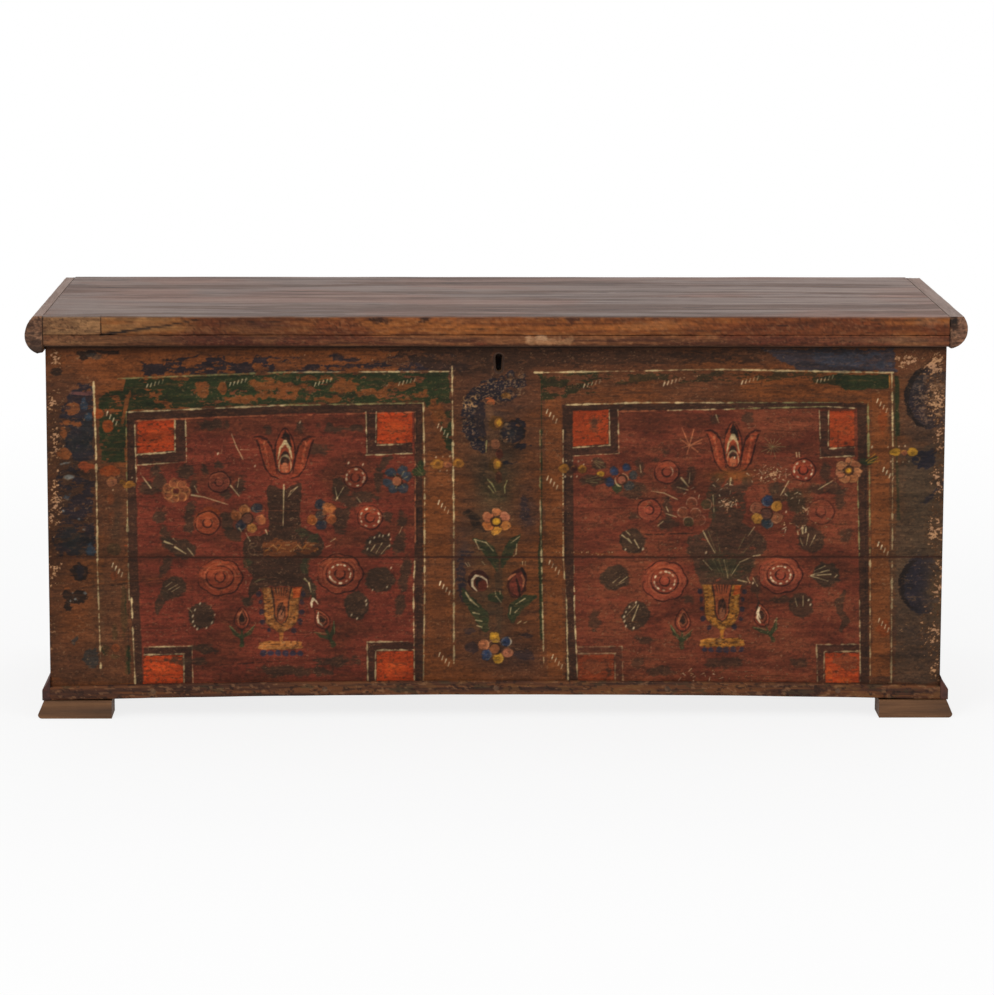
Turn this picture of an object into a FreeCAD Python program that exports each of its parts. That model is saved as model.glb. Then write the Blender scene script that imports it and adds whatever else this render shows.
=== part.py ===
import FreeCAD, Part
import math
import os

# A painted storage trunk: a dovetailed box of boards in two courses on block feet,
# with a hinged lid between two end cleats, and a chest lock behind a cut keyhole.
# Millimetres. X runs to the right along the front, the front looks to -Y, Z is up.
# The origin lies on the floor under the middle of the whole trunk's outline.

os.makedirs("parts", exist_ok=True)
V = FreeCAD.Vector

# Whole trunk
trunk_height = 611.0
lid_width = 1400.0
lid_depth = 560.0

# Carcass boards
wall = 26.0
foot_height = 27.0
course_height = 217.5
lower_tail_count = 3
upper_tail_count = 5
tail_width_share = 0.62
dovetail_slope_share = 0.14
joint_ease = 0.1
overrun = 2.0
same_place = 1e-6

# Gaps between the lid and the carcass
lip_gap = 1.5
cleat_gap = 1.5
back_overhang = 1.0

# Lid
lid_thickness = 28.0
lid_front_board_depth = 262.0
lip_height = 18.0
lip_depth = 22.0
lip_round = 7.0
cleat_width = 27.0
left_cleat_height = 56.0
right_cleat_height = 48.0
patch_length = 86.0
patch_depth = 14.0

# Plinth and feet
bow_rise = 8.0
strip_height = 21.0
strip_thickness = 8.0
side_strip_height = 37.0
side_strip_thickness = 12.0
side_strip_nose_share = 0.44
cove_out_share = 0.42
cove_up_share = 0.48
foot_length = 111.0
foot_depth = 60.0
foot_side_reach = 18.5
foot_front_reach = 4.0
foot_bevel = 9.0
foot_round = 6.0

# Floor
floor_thickness = 20.0
floor_board_count = 3
floor_gap = 1.0
ledger_depth = 22.0
ledger_height = 24.0
ledger_rise = 10.0
ledger_gap = 0.2

# Pegs and dowels
peg_radius = 4.0
peg_ease = 0.05
dowel_radius = 5.0
dowel_length = 60.0
peg_bite_share = 0.7
cleat_peg_length = 75.0
long_dowel_count = 3
side_dowel_count = 2
lid_dowel_count = 4
long_ledger_peg_count = 4
side_ledger_peg_count = 2
long_strip_peg_count = 5
side_strip_peg_count = 3
lip_peg_count = 6
cleat_peg_count = 2
foot_peg_shift_share = 1.1

# Forged nails
shank_radius = 1.8
shank_ease = 0.05
nail_head_radius = 5.0
nail_head_height = 1.6
nail_crown_share = 0.45
nail_bite_share = 0.75
floor_nail_count = 2
strap_nail_count = 4
leaf_nail_count = 3
staple_nail_row_count = 2
flange_nail_count = 2

# Hinges
hinge_place = 430.0
pin_radius = 3.0
pin_ease = 0.05
strap_thickness = 3.0
strap_width = 32.0
strap_reach_share = 0.59
strap_tip_length = 46.0
strap_waist_share = 0.66
strap_belly_share = 0.5
leaf_length = 150.0
knuckle_share = 0.4
knuckle_gap = 0.4
hinge_stand_off = 0.4
pin_head_radius = 4.5
pin_head_height = 2.0
rim_notch_ease = 0.6

# Keyhole
keyhole_x = 3.0
keyhole_drop = 44.5
keyhole_height = 26.0
keyhole_top_radius = 5.2
keyhole_foot_radius = 4.0
keyhole_rim = 3.4
keyhole_chamfer_depth = 5.0

# Lock
plate_thickness = 2.0
plate_width = 128.0
plate_height = 70.0
plate_shift_x = 4.0
plate_top_drop = 5.0
case_wall = 1.5
case_depth = 20.0
case_width = 72.0
case_height = 54.0
case_shift_x = -4.0
flange_height = 11.0
bolt_above_key = 20.0
bolt_height = 10.0
bolt_thickness = 5.0
bolt_stand_off = 6.5
bolt_length = 66.0
bolt_tip_play = 1.0
bolt_ease = 0.4
talon_width = 11.0
talon_depth = 3.5
guide_thickness = 4.0
guide_rim = 3.0
lock_pin_radius = 2.0
spring_thickness = 1.0
spring_width = 5.0
spring_lift = 0.4
spring_span_share = 0.62

# Lid staple of the lock
staple_side_gap = 2.0
staple_thickness = 5.0
staple_rim = 2.5
staple_slack = 2.0
staple_plate_thickness = 2.5
staple_plate_width = 46.0
staple_plate_depth = 26.0
staple_wall_gap = 2.0

# Main planes
overall_depth = lid_depth + back_overhang + hinge_stand_off + 2 * (pin_radius + strap_thickness)
half_lid = lid_width / 2
lid_front = -overall_depth / 2
lid_back = lid_front + lid_depth
rim_z = trunk_height - lid_thickness
half_panel = half_lid - cleat_width
half_body = half_panel - cleat_gap
half_inside = half_body - wall
body_front = lid_front + lip_depth + lip_gap
body_back = lid_back + back_overhang
inside_front = body_front + wall
inside_back = body_back - wall
body_foot = foot_height
course_z = body_foot + course_height
barrel_radius = pin_radius + strap_thickness
keyhole_z = rim_z - keyhole_drop
strap_length = lid_depth * strap_reach_share
pivot_y = body_back + hinge_stand_off + barrel_radius
pivot_z = rim_z - barrel_radius


def box(x_low, x_high, y_low, y_high, z_low, z_high):
    return Part.makeBox(x_high - x_low, y_high - y_low, z_high - z_low, V(x_low, y_low, z_low))


def rod(start, direction, length, radius):
    return Part.makeCylinder(radius, length, start, direction)


def wire(points):
    """A closed wire through 3-D points; a pair in place of a point is an arc: (through, to)."""
    edges = []
    here = points[0]
    for step in points[1:]:
        if isinstance(step, tuple):
            edges.append(Part.Arc(here, *step).toShape())
            here = step[1]
        else:
            edges.append(Part.makeLine(here, step))
            here = step
    if not here.isEqual(points[0], same_place):
        edges.append(Part.makeLine(here, points[0]))
    return Part.Wire(edges)


def slab(points, along):
    """The outline of points, filled and drawn out along a vector."""
    return Part.Face(wire(points)).extrude(along)


def cut_all(shape, tools):
    return shape.cut(Part.makeCompound(tools)) if tools else shape


def save(name, solids):
    """Write one node: a single solid, or a group of separate ones."""
    shape = Part.makeCompound(solids) if isinstance(solids, list) else solids
    shape.exportStep(f"parts/{name}.step")


def shares(low, high, count):
    """The middles of count equal stretches between low and high."""
    return [low + (high - low) * (i + 0.5) / count for i in range(count)]


def nail(head_under, into, length):
    """A forged nail: its shank, and a low crowned head standing against the way it is driven."""
    shank = rod(head_under, into, length, shank_radius)
    crown = nail_head_radius * nail_crown_share
    head = Part.makeCone(nail_head_radius, crown, nail_head_height, head_under, -into)
    return shank.fuse(head)


def nail_hole(head_under, into, length):
    start = head_under - into * overrun
    return rod(start, into, length + overrun + joint_ease, shank_radius + shank_ease)


def peg(start, into, length, radius=peg_radius):
    return rod(start, into, length, radius)


def peg_hole(start, into, length, radius=peg_radius):
    return rod(start - into * overrun, into, length + overrun + joint_ease, radius + peg_ease)


# Corner dovetails: the tails are on the front and back boards, seen as wedges from the front.

def tails(z_low, z_high, count):
    """Each tail's middle height, and half its width at the side board's inner face."""
    half = (z_high - z_low) / count * tail_width_share / 2
    return [(z, half) for z in shares(z_low, z_high, count)]


def long_board(y_front, z_low, z_high, count, low_edge=None):
    """A front or back board, with its tails at both ends; low_edge shapes the lower edge."""
    spread = wall * dovetail_slope_share
    right = []
    for z, half in tails(z_low, z_high, count):
        right.append((half_inside, z - half))
        right.append((half_body, z - half - spread))
        right.append((half_body, z + half + spread))
        right.append((half_inside, z + half))
    up = [V(x, y_front, z) for x, z in right]
    down = [V(-x, y_front, z) for x, z in reversed(right)]
    corner_z = low_edge(half_inside) if low_edge else z_low
    start = V(half_inside, y_front, corner_z)
    end = V(-half_inside, y_front, corner_z)
    top = [V(half_inside, y_front, z_high), V(-half_inside, y_front, z_high)]
    points = [start] + up + top + down + [end]
    if low_edge:
        points.append((V(0, y_front, low_edge(0)), start))
    return slab(points, V(0, wall, 0))


def socket(side, y_start, y_end, z, half):
    """The room that one tail takes in a side board."""
    slope = dovetail_slope_share
    x_in = half_inside - overrun
    x_out = half_body + overrun
    half_in = half + joint_ease - overrun * slope
    half_out = half + joint_ease + (wall + overrun) * slope
    points = [V(side * x_in, y_start, z - half_in), V(side * x_out, y_start, z - half_out),
              V(side * x_out, y_start, z + half_out), V(side * x_in, y_start, z + half_in)]
    return slab(points, V(0, y_end - y_start, 0))


def side_board(side, z_low, z_high, count):
    """A side board over the trunk's whole depth, with pins between the sockets."""
    x_low, x_high = sorted((side * half_inside, side * half_body))
    board = box(x_low, x_high, body_front, body_back, z_low, z_high)
    rooms = []
    for z, half in tails(z_low, z_high, count):
        rooms.append(socket(side, body_front - overrun, inside_front + joint_ease, z, half))
        rooms.append(socket(side, inside_back - joint_ease, body_back + overrun, z, half))
    return cut_all(board, rooms)


def bow_z(x):
    """Height of the bowed lower edge of the front, a flat arc between the body's corners."""
    radius = (half_body ** 2 + bow_rise ** 2) / (2 * bow_rise)
    return body_foot + math.sqrt(radius ** 2 - x ** 2) - (radius - bow_rise)


# Holes and fixings are gathered per node while the pieces are laid out.
holes = {}
fixings = {}


def fasten(group, kind, start, into, length, *nodes):
    """Put a peg or a nail into its group, and its hole into each node that it goes through."""
    make, bore = {"peg": (peg, peg_hole), "nail": (nail, nail_hole)}[kind]
    fixings.setdefault(group, []).append(make(start, into, length))
    for node in nodes:
        holes.setdefault(node, []).append(bore(start, into, length))


# Edge dowels between the two courses, hidden in the thickness of the boards

def lay_dowels():
    bottom = course_z - dowel_length / 2
    middle_front = body_front + wall / 2
    middle_back = body_back - wall / 2
    middle_side = half_body - wall / 2
    places = []
    for x in shares(-half_inside, half_inside, long_dowel_count):
        places.append((x, middle_front, "front"))
        places.append((x, middle_back, "back"))
    for y in shares(inside_front, inside_back, side_dowel_count):
        places.append((-middle_side, y, "left_side"))
        places.append((middle_side, y, "right_side"))
    for x, y, board in places:
        start = V(x, y, bottom)
        up = V(0, 0, 1)
        fixings.setdefault("course_dowels", []).append(peg(start, up, dowel_length, dowel_radius))
        room = rod(start - up * joint_ease, up, dowel_length + 2 * joint_ease, dowel_radius + peg_ease)
        for course in ("lower", "upper"):
            holes.setdefault(f"{board}_{course}_board", []).append(room)


# Floor on its ledgers

ledger_z = body_foot + ledger_rise
ledger_top = ledger_z + ledger_height


def lay_floor():
    x_end = half_inside - ledger_gap
    front_in = inside_front + ledger_depth
    back_in = inside_back - ledger_depth
    solids = {
        "ledger_front": box(-x_end, x_end, inside_front, front_in, ledger_z, ledger_top),
        "ledger_back": box(-x_end, x_end, back_in, inside_back, ledger_z, ledger_top),
    }
    for side, name in ((-1, "ledger_left"), (1, "ledger_right")):
        x_low, x_high = sorted((side * half_inside, side * (half_inside - ledger_depth)))
        solids[name] = box(x_low, x_high, front_in + ledger_gap, back_in - ledger_gap, ledger_z, ledger_top)
    middle_z = ledger_z + ledger_height / 2
    bite = ledger_depth + wall * peg_bite_share
    for x in shares(-x_end, x_end, long_ledger_peg_count):
        fasten("ledger_pegs", "peg", V(x, front_in, middle_z), V(0, -1, 0), bite,
               "ledger_front", "front_lower_board")
        fasten("ledger_pegs", "peg", V(x, back_in, middle_z), V(0, 1, 0), bite,
               "ledger_back", "back_lower_board")
    for y in shares(front_in, back_in, side_ledger_peg_count):
        for side, name in ((-1, "left"), (1, "right")):
            start = V(side * (half_inside - ledger_depth), y, middle_z)
            fasten("ledger_pegs", "peg", start, V(side, 0, 0), bite,
                   f"ledger_{name}", f"{name}_side_lower_board")
    names = ("floor_board_front", "floor_board_middle", "floor_board_rear")
    step = (inside_back - inside_front) / floor_board_count
    down = V(0, 0, -1)
    length = floor_thickness + ledger_height * nail_bite_share
    for i, name in enumerate(names):
        y_low = inside_front + step * i + floor_gap / 2
        y_high = inside_front + step * (i + 1) - floor_gap / 2
        solids[name] = box(-x_end, x_end, y_low, y_high, ledger_top, ledger_top + floor_thickness)
        for y in shares(y_low, y_high, floor_nail_count):
            for side, ledger in ((-1, "ledger_left"), (1, "ledger_right")):
                over = V(side * (half_inside - ledger_depth / 2), y, ledger_top + floor_thickness)
                fasten("floor_nails", "nail", over, down, length, name, ledger)
    return solids


# Plinth: a thin bowed strip along the front, and a coved strip along each side

def front_strip():
    y = body_front - strip_thickness
    left, right = -half_body, half_body
    foot = body_foot
    top = body_foot + strip_height
    points = [V(left, y, foot), (V(0, y, foot + bow_rise), V(right, y, foot)),
              V(right, y, top), (V(0, y, top + bow_rise), V(left, y, top))]
    return slab(points, V(0, strip_thickness, 0))


def side_strip(side):
    y = body_front - strip_thickness
    wall_x = side * half_body
    nose_x = side * (half_body + side_strip_thickness)
    top = body_foot + side_strip_height
    nose_z = body_foot + side_strip_height * side_strip_nose_share
    cove = V(wall_x + side * side_strip_thickness * cove_out_share, y,
             nose_z + (top - nose_z) * cove_up_share)
    points = [V(wall_x, y, body_foot), V(nose_x, y, body_foot), V(nose_x, y, nose_z),
              (cove, V(wall_x, y, top))]
    return slab(points, V(0, body_back - y, 0))


def lay_plinth():
    solids = {"plinth_front": front_strip()}
    bite = wall * peg_bite_share
    for x in shares(-half_inside, half_inside, long_strip_peg_count):
        start = V(x, body_front - strip_thickness, bow_z(x) + strip_height / 2)
        fasten("plinth_pegs", "peg", start, V(0, 1, 0), strip_thickness + bite,
               "plinth_front", "front_lower_board")
    nose_z = body_foot + side_strip_height * side_strip_nose_share
    for side, name in ((-1, "left"), (1, "right")):
        solids[f"plinth_{name}"] = side_strip(side)
        for y in shares(inside_front, inside_back, side_strip_peg_count):
            start = V(side * (half_body + side_strip_thickness), y, (body_foot + nose_z) / 2)
            fasten("plinth_pegs", "peg", start, V(-side, 0, 0), side_strip_thickness + bite,
                   f"plinth_{name}", f"{name}_side_lower_board")
    return solids


# Feet: a short block under each corner, its outer end sloped and rounded

def foot(side, y_low, y_high):
    outer = half_body + foot_side_reach
    slope_top = outer - foot_bevel
    inner = outer - foot_length
    turn = foot_round * (1 - math.sqrt(0.5))
    points = [V(side * inner, y_low, 0), V(side * (outer - foot_round), y_low, 0),
              (V(side * (outer - turn), y_low, turn), V(side * outer, y_low, foot_round)),
              V(side * slope_top, y_low, foot_height), V(side * inner, y_low, foot_height)]
    return slab(points, V(0, y_high - y_low, 0))


def lay_feet():
    solids = {}
    front = body_front - strip_thickness - foot_front_reach
    ends = {"front": (front, front + foot_depth), "rear": (body_back - foot_depth, body_back)}
    corner_y = {"front": (body_front + wall / 2, 1), "rear": (body_back - wall / 2, -1)}
    board = {"front": "front_lower_board", "rear": "back_lower_board"}
    up = V(0, 0, 1)
    length = foot_height + wall
    for end, (y_low, y_high) in ends.items():
        y_board, inward = corner_y[end]
        for side, name in ((-1, "left"), (1, "right")):
            node = f"foot_{end}_{name}"
            solids[node] = foot(side, y_low, y_high)
            under_long = V(side * (half_inside - wall), y_board, 0)
            under_side = V(side * (half_body - wall / 2), y_board + inward * wall * foot_peg_shift_share, 0)
            fasten("foot_pegs", "peg", under_long, up, length, node, board[end])
            fasten("foot_pegs", "peg", under_side, up, length, node, f"{name}_side_lower_board")
    return solids


# Lid: two boards side by side, a cleat on each end, a lip under the front edge

# Shares of a cleat's width outwards and of its height downwards, along its end section:
# where the flat top ends, where the cleat is widest, and where the round meets the underside
cleat_shares = {
    -1: ((0.50, 0.0), (1.0, 0.54), (0.30, 1.0), (0.0, 0.97)),
    1: ((0.78, 0.0), (1.0, 0.41), (0.10, 1.0), (0.0, 0.98)),
}


def round_from(belly, end):
    """The middle of an arc that leaves the widest point straight up or down and meets end."""
    across = abs(belly.x - end.x)
    along = abs(belly.z - end.z)
    radius = (across ** 2 + along ** 2) / (2 * across)
    half_turn = math.asin(along / radius) / 2
    x_in = math.copysign(radius * (1 - math.cos(half_turn)), end.x - belly.x)
    z_on = math.copysign(radius * math.sin(half_turn), end.z - belly.z)
    return V(belly.x + x_in, belly.y, belly.z + z_on)


def cleat(side, height):
    """A cleat: flat on top, rounded outwards and under."""
    x_joint = side * half_panel
    top_flat, belly, low, root = [
        V(x_joint + side * cleat_width * out, lid_front, trunk_height - height * down)
        for out, down in cleat_shares[side]]
    points = [V(x_joint, lid_front, trunk_height), top_flat,
              (round_from(belly, top_flat), belly), (round_from(belly, low), low), root]
    return slab(points, V(0, lid_depth, 0))


def lay_lid():
    joint_y = lid_front + lid_front_board_depth
    front = box(-half_panel, half_panel, lid_front, joint_y, rim_z, trunk_height)
    rear = box(-half_panel, half_panel, joint_y, lid_back, rim_z, trunk_height)
    patch = box(-half_panel, -half_panel + patch_length, lid_front, lid_front + patch_depth,
                rim_z, trunk_height)
    lip_back = lid_front + lip_depth
    lip_low = rim_z - lip_height
    turn = lip_round * (1 - math.sqrt(0.5))
    lip_points = [V(-half_panel, lip_back, rim_z), V(-half_panel, lid_front, rim_z),
                  V(-half_panel, lid_front, lip_low + lip_round),
                  (V(-half_panel, lid_front + turn, lip_low + turn),
                   V(-half_panel, lid_front + lip_round, lip_low)),
                  V(-half_panel, lip_back, lip_low)]
    solids = {
        "lid_front_board": front.cut(patch),
        "lid_rear_board": rear,
        "lid_edge_patch": patch,
        "lid_lip": slab(lip_points, V(2 * half_panel, 0, 0)),
        "lid_cleat_left": cleat(-1, left_cleat_height),
        "lid_cleat_right": cleat(1, right_cleat_height),
    }
    middle_z = (rim_z + trunk_height) / 2
    for x in shares(-half_panel, half_panel, lid_dowel_count):
        start = V(x, joint_y - dowel_length / 2, middle_z)
        back = V(0, 1, 0)
        fixings.setdefault("lid_dowels", []).append(peg(start, back, dowel_length, dowel_radius))
        room = rod(start - back * joint_ease, back, dowel_length + 2 * joint_ease, dowel_radius + peg_ease)
        holes.setdefault("lid_front_board", []).append(room)
        holes.setdefault("lid_rear_board", []).append(room)
    flat_y = (lid_front + lip_round + lip_back) / 2
    for x in shares(-half_panel, half_panel, lip_peg_count):
        fasten("lip_pegs", "peg", V(x, flat_y, lip_low), V(0, 0, 1),
               lip_height + lid_thickness * peg_bite_share, "lid_lip", "lid_front_board")
    lay_cleat_pegs(solids, middle_z, joint_y)
    return solids


def lay_cleat_pegs(solids, middle_z, joint_y):
    """Pegs driven through each cleat into the boards' ends, cut flush with the round cleat."""
    for side, name in ((-1, "lid_cleat_left"), (1, "lid_cleat_right")):
        for y_low, y_high, board in ((lid_front + patch_depth, joint_y, "lid_front_board"),
                                     (joint_y, lid_back, "lid_rear_board")):
            whole = solids[name].fuse(solids[board])
            for y in shares(y_low, y_high, cleat_peg_count):
                start = V(side * half_lid, y, middle_z)
                into = V(-side, 0, 0)
                trimmed = peg(start, into, cleat_peg_length).common(whole)
                fixings.setdefault("cleat_pegs", []).append(trimmed)
                for node in (name, board):
                    holes.setdefault(node, []).append(peg_hole(start, into, cleat_peg_length))


# Strap hinges: the strap under the lid and the leaf down the back turn on one pin

def barrel_part(x_low, x_high):
    tube = rod(V(x_low, pivot_y, pivot_z), V(1, 0, 0), x_high - x_low, barrel_radius)
    return tube, rod(V(x_low - overrun, pivot_y, pivot_z), V(1, 0, 0),
                     x_high - x_low + 2 * overrun, pin_radius + pin_ease)


def swing_room(x_low, x_high):
    """Round room for the other leaf's knuckle to turn in."""
    return rod(V(x_low, pivot_y, pivot_z), V(1, 0, 0), x_high - x_low, barrel_radius + knuckle_gap)


def lay_hinge(x_middle, name):
    half = strap_width / 2
    knuckle = strap_width * knuckle_share / 2
    outer_low = (x_middle - half, x_middle - knuckle - knuckle_gap / 2)
    outer_high = (x_middle + knuckle + knuckle_gap / 2, x_middle + half)
    inner = (x_middle - knuckle + knuckle_gap / 2, x_middle + knuckle - knuckle_gap / 2)
    strap = strap_plate(x_middle, half).cut(swing_room(outer_low[1], outer_high[0]))
    leaf = leaf_plate(x_middle, half)
    leaf = leaf.cut(swing_room(x_middle - half - overrun, inner[0]))
    leaf = leaf.cut(swing_room(inner[1], x_middle + half + overrun))
    bores = []
    for low, high in (outer_low, outer_high):
        tube, bore = barrel_part(low, high)
        strap = strap.fuse(tube)
        bores.append(bore)
    tube, bore = barrel_part(*inner)
    leaf = leaf.fuse(tube)
    bores.append(bore)
    solids = {f"hinge_strap_{name}": cut_all(strap, bores), f"hinge_leaf_{name}": cut_all(leaf, bores)}
    lay_hinge_nails(x_middle, name)
    pin = rod(V(x_middle - half - hinge_stand_off, pivot_y, pivot_z), V(1, 0, 0),
              strap_width + 2 * hinge_stand_off, pin_radius)
    for side in (-1, 1):
        head = rod(V(x_middle + side * (half + hinge_stand_off), pivot_y, pivot_z), V(side, 0, 0),
                   pin_head_height, pin_head_radius)
        pin = pin.fuse(head)
    fixings.setdefault("hinge_pins", []).append(pin)
    notch = box(x_middle - half - rim_notch_ease, x_middle + half + rim_notch_ease,
                inside_back - overrun, body_back + overrun,
                rim_z - strap_thickness - rim_notch_ease, rim_z + overrun)
    holes.setdefault("back_upper_board", []).append(notch)
    return solids


def strap_plate(x_middle, half):
    """The long strap: straight, then drawn in to a waist and out again to a pointed tip."""
    tip_y = pivot_y - strap_length
    neck_y = tip_y + strap_tip_length
    belly_y = tip_y + strap_tip_length * strap_belly_share
    waist = half * strap_waist_share
    z = rim_z - strap_thickness
    point = V(x_middle, tip_y, z)

    def at(x, y):
        return V(x_middle + x, y, z)

    points = [at(half, pivot_y), at(-half, pivot_y), at(-half, neck_y + strap_tip_length),
              at(-waist, neck_y), (at(-half, belly_y), point), (at(half, belly_y), at(waist, neck_y)),
              at(half, neck_y + strap_tip_length)]
    return slab(points, V(0, 0, strap_thickness))


def leaf_plate(x_middle, half):
    """The back leaf: a short plate down the back, rounded at its foot."""
    y = body_back
    low = pivot_z - leaf_length
    points = [V(x_middle + half, y, pivot_z), V(x_middle - half, y, pivot_z),
              V(x_middle - half, y, low + half),
              (V(x_middle, y, low), V(x_middle + half, y, low + half))]
    return slab(points, V(0, strap_thickness, 0))


def lay_hinge_nails(x_middle, name):
    up = V(0, 0, 1)
    length = strap_thickness + lid_thickness * nail_bite_share
    for y in shares(pivot_y - strap_length + strap_tip_length / 2, inside_back, strap_nail_count):
        start = V(x_middle, y, rim_z - strap_thickness)
        board = "lid_front_board" if y < lid_front + lid_front_board_depth else "lid_rear_board"
        fasten("hinge_strap_nails", "nail", start, up, length, f"hinge_strap_{name}", board)
    inward = V(0, -1, 0)
    length = strap_thickness + wall * nail_bite_share
    for z in shares(pivot_z - leaf_length, pivot_z - barrel_radius - nail_head_radius, leaf_nail_count):
        start = V(x_middle, body_back + strap_thickness, z)
        fasten("hinge_leaf_nails", "nail", start, inward, length,
               f"hinge_leaf_{name}", "back_upper_board")


# Keyhole, wider and rounder at its top

def keyhole_wire(y, grow):
    top_r = keyhole_top_radius + grow
    foot_r = keyhole_foot_radius + grow
    top_z = keyhole_z + keyhole_height / 2 - keyhole_top_radius
    foot_z = keyhole_z - keyhole_height / 2 + keyhole_foot_radius
    x = keyhole_x
    points = [V(x - top_r, y, top_z), (V(x, y, top_z + top_r), V(x + top_r, y, top_z)),
              V(x + foot_r, y, foot_z), (V(x, y, foot_z - foot_r), V(x - foot_r, y, foot_z))]
    return wire(points)


def keyhole_room():
    through = Part.Face(keyhole_wire(body_front - overrun, 0)).extrude(V(0, wall + 2 * overrun, 0))
    rim = Part.makeLoft([keyhole_wire(body_front, keyhole_rim),
                         keyhole_wire(body_front + keyhole_chamfer_depth, 0)], True, True)
    return [through, rim]


# Lock on the inner face of the front

plate_back = inside_front
plate_face = inside_front + plate_thickness
bolt_z = keyhole_z + bolt_above_key
bolt_y = plate_face + bolt_stand_off + bolt_thickness / 2
plate_top = rim_z - plate_top_drop
plate_low = plate_top - plate_height
plate_x = keyhole_x + plate_shift_x
case_low_x = keyhole_x + case_shift_x - case_width / 2
case_high_x = case_low_x + case_width
case_top = plate_top - case_wall
case_low_z = case_top - case_height
case_back = plate_face + case_depth
staple_x = case_high_x + staple_side_gap
guide_depth = bolt_stand_off + bolt_thickness + guide_rim
keeper_x = staple_x + staple_thickness + staple_side_gap
bolt_travel = keeper_x + guide_thickness - bolt_tip_play - case_high_x


def bolt_room(x_low, x_high):
    half_y = bolt_thickness / 2 + bolt_ease
    half_z = bolt_height / 2 + bolt_ease
    return box(x_low - overrun, x_high + overrun, bolt_y - half_y, bolt_y + half_y,
               bolt_z - half_z, bolt_z + half_z)


def bolt_guide(x_low):
    half_z = bolt_height / 2 + guide_rim
    block = box(x_low, x_low + guide_thickness, plate_face, plate_face + guide_depth,
                bolt_z - half_z, bolt_z + half_z)
    return block.cut(bolt_room(x_low, x_low + guide_thickness))


def lock_case():
    shell = box(case_low_x, case_high_x, plate_face, case_back, case_low_z, case_top)
    hollow = box(case_low_x + case_wall, case_high_x - case_wall, plate_face - overrun,
                 case_back - case_wall, case_low_z + case_wall, case_top - case_wall)
    flange = box(case_low_x, case_high_x, plate_face, plate_face + case_wall,
                 case_low_z - flange_height, case_low_z)
    shell = shell.cut(hollow).fuse(flange)
    return shell.cut(bolt_room(case_high_x - case_wall, case_high_x))


def lock_bolt():
    x_high = case_high_x
    half_y = bolt_thickness / 2
    half_z = bolt_height / 2
    bar = box(x_high - bolt_length, x_high, bolt_y - half_y, bolt_y + half_y,
              bolt_z - half_z, bolt_z + half_z)
    talon_x = keyhole_x - talon_width / 2
    talon = box(talon_x, talon_x + talon_width, bolt_y - half_y - overrun, bolt_y + half_y + overrun,
                bolt_z - half_z - overrun, bolt_z - half_z + talon_depth)
    return bar.cut(talon)


def lock_spring():
    """A flat spring over the bolt, rooted on the plate, bowed down to the bolt."""
    low = bolt_z + bolt_height / 2 + spring_lift
    x_root = keyhole_x
    reach = case_width * spring_span_share / 2
    y_low = bolt_y - spring_width / 2
    rise = 2 * spring_thickness
    lower, upper = [
        [V(x_root - reach, y_low, z + rise), V(x_root, y_low, z), V(x_root + reach, y_low, z + rise)]
        for z in (low, low + spring_thickness)]
    points = [lower[0], (lower[1], lower[2]), upper[2], (upper[1], upper[0])]
    blade = slab(points, V(0, spring_width, 0))
    stud = box(x_root - reach, x_root - reach + guide_thickness, plate_face, y_low + spring_width,
               low + rise, low + rise + 2 * spring_thickness)
    return blade.fuse(stud)


def lay_lock():
    plate = box(plate_x - plate_width / 2, plate_x + plate_width / 2, plate_back, plate_face,
                plate_low, plate_top)
    key_cut = Part.Face(keyhole_wire(plate_back - overrun, 0)).extrude(V(0, plate_thickness + 2 * overrun, 0))
    pin_z = keyhole_z + keyhole_height / 2 - keyhole_top_radius
    pin_start = V(keyhole_x, case_back, pin_z)
    pin_length = case_depth - plate_thickness
    solids = {
        "lock_plate": plate.cut(key_cut),
        "lock_case": lock_case(),
        "lock_bolt": lock_bolt(),
        "lock_spring": lock_spring(),
        "lock_pin": rod(pin_start, V(0, -1, 0), pin_length, lock_pin_radius),
    }
    holes.setdefault("lock_case", []).append(
        rod(pin_start + V(0, overrun, 0), V(0, -1, 0), pin_length + overrun, lock_pin_radius + peg_ease))
    inner_guides = shares(case_low_x + case_wall, case_high_x - case_wall, 3)
    fixings["bolt_guides"] = [bolt_guide(inner_guides[0] - guide_thickness),
                              bolt_guide(inner_guides[2] + guide_thickness), bolt_guide(keeper_x)]
    into = V(0, -1, 0)
    bite = wall * nail_bite_share
    inset = nail_head_radius + case_wall
    for x in (plate_x - plate_width / 2 + inset, plate_x + plate_width / 2 - inset):
        for z in (plate_low + inset, plate_top - inset):
            fasten("lock_nails", "nail", V(x, plate_face, z), into, plate_thickness + bite,
                   "lock_plate", "front_upper_board")
    for x in shares(case_low_x, case_high_x, flange_nail_count):
        start = V(x, plate_face + case_wall, case_low_z - flange_height / 2)
        fasten("lock_nails", "nail", start, into, case_wall + plate_thickness + bite,
               "lock_case", "lock_plate", "front_upper_board")
    return solids


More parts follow.
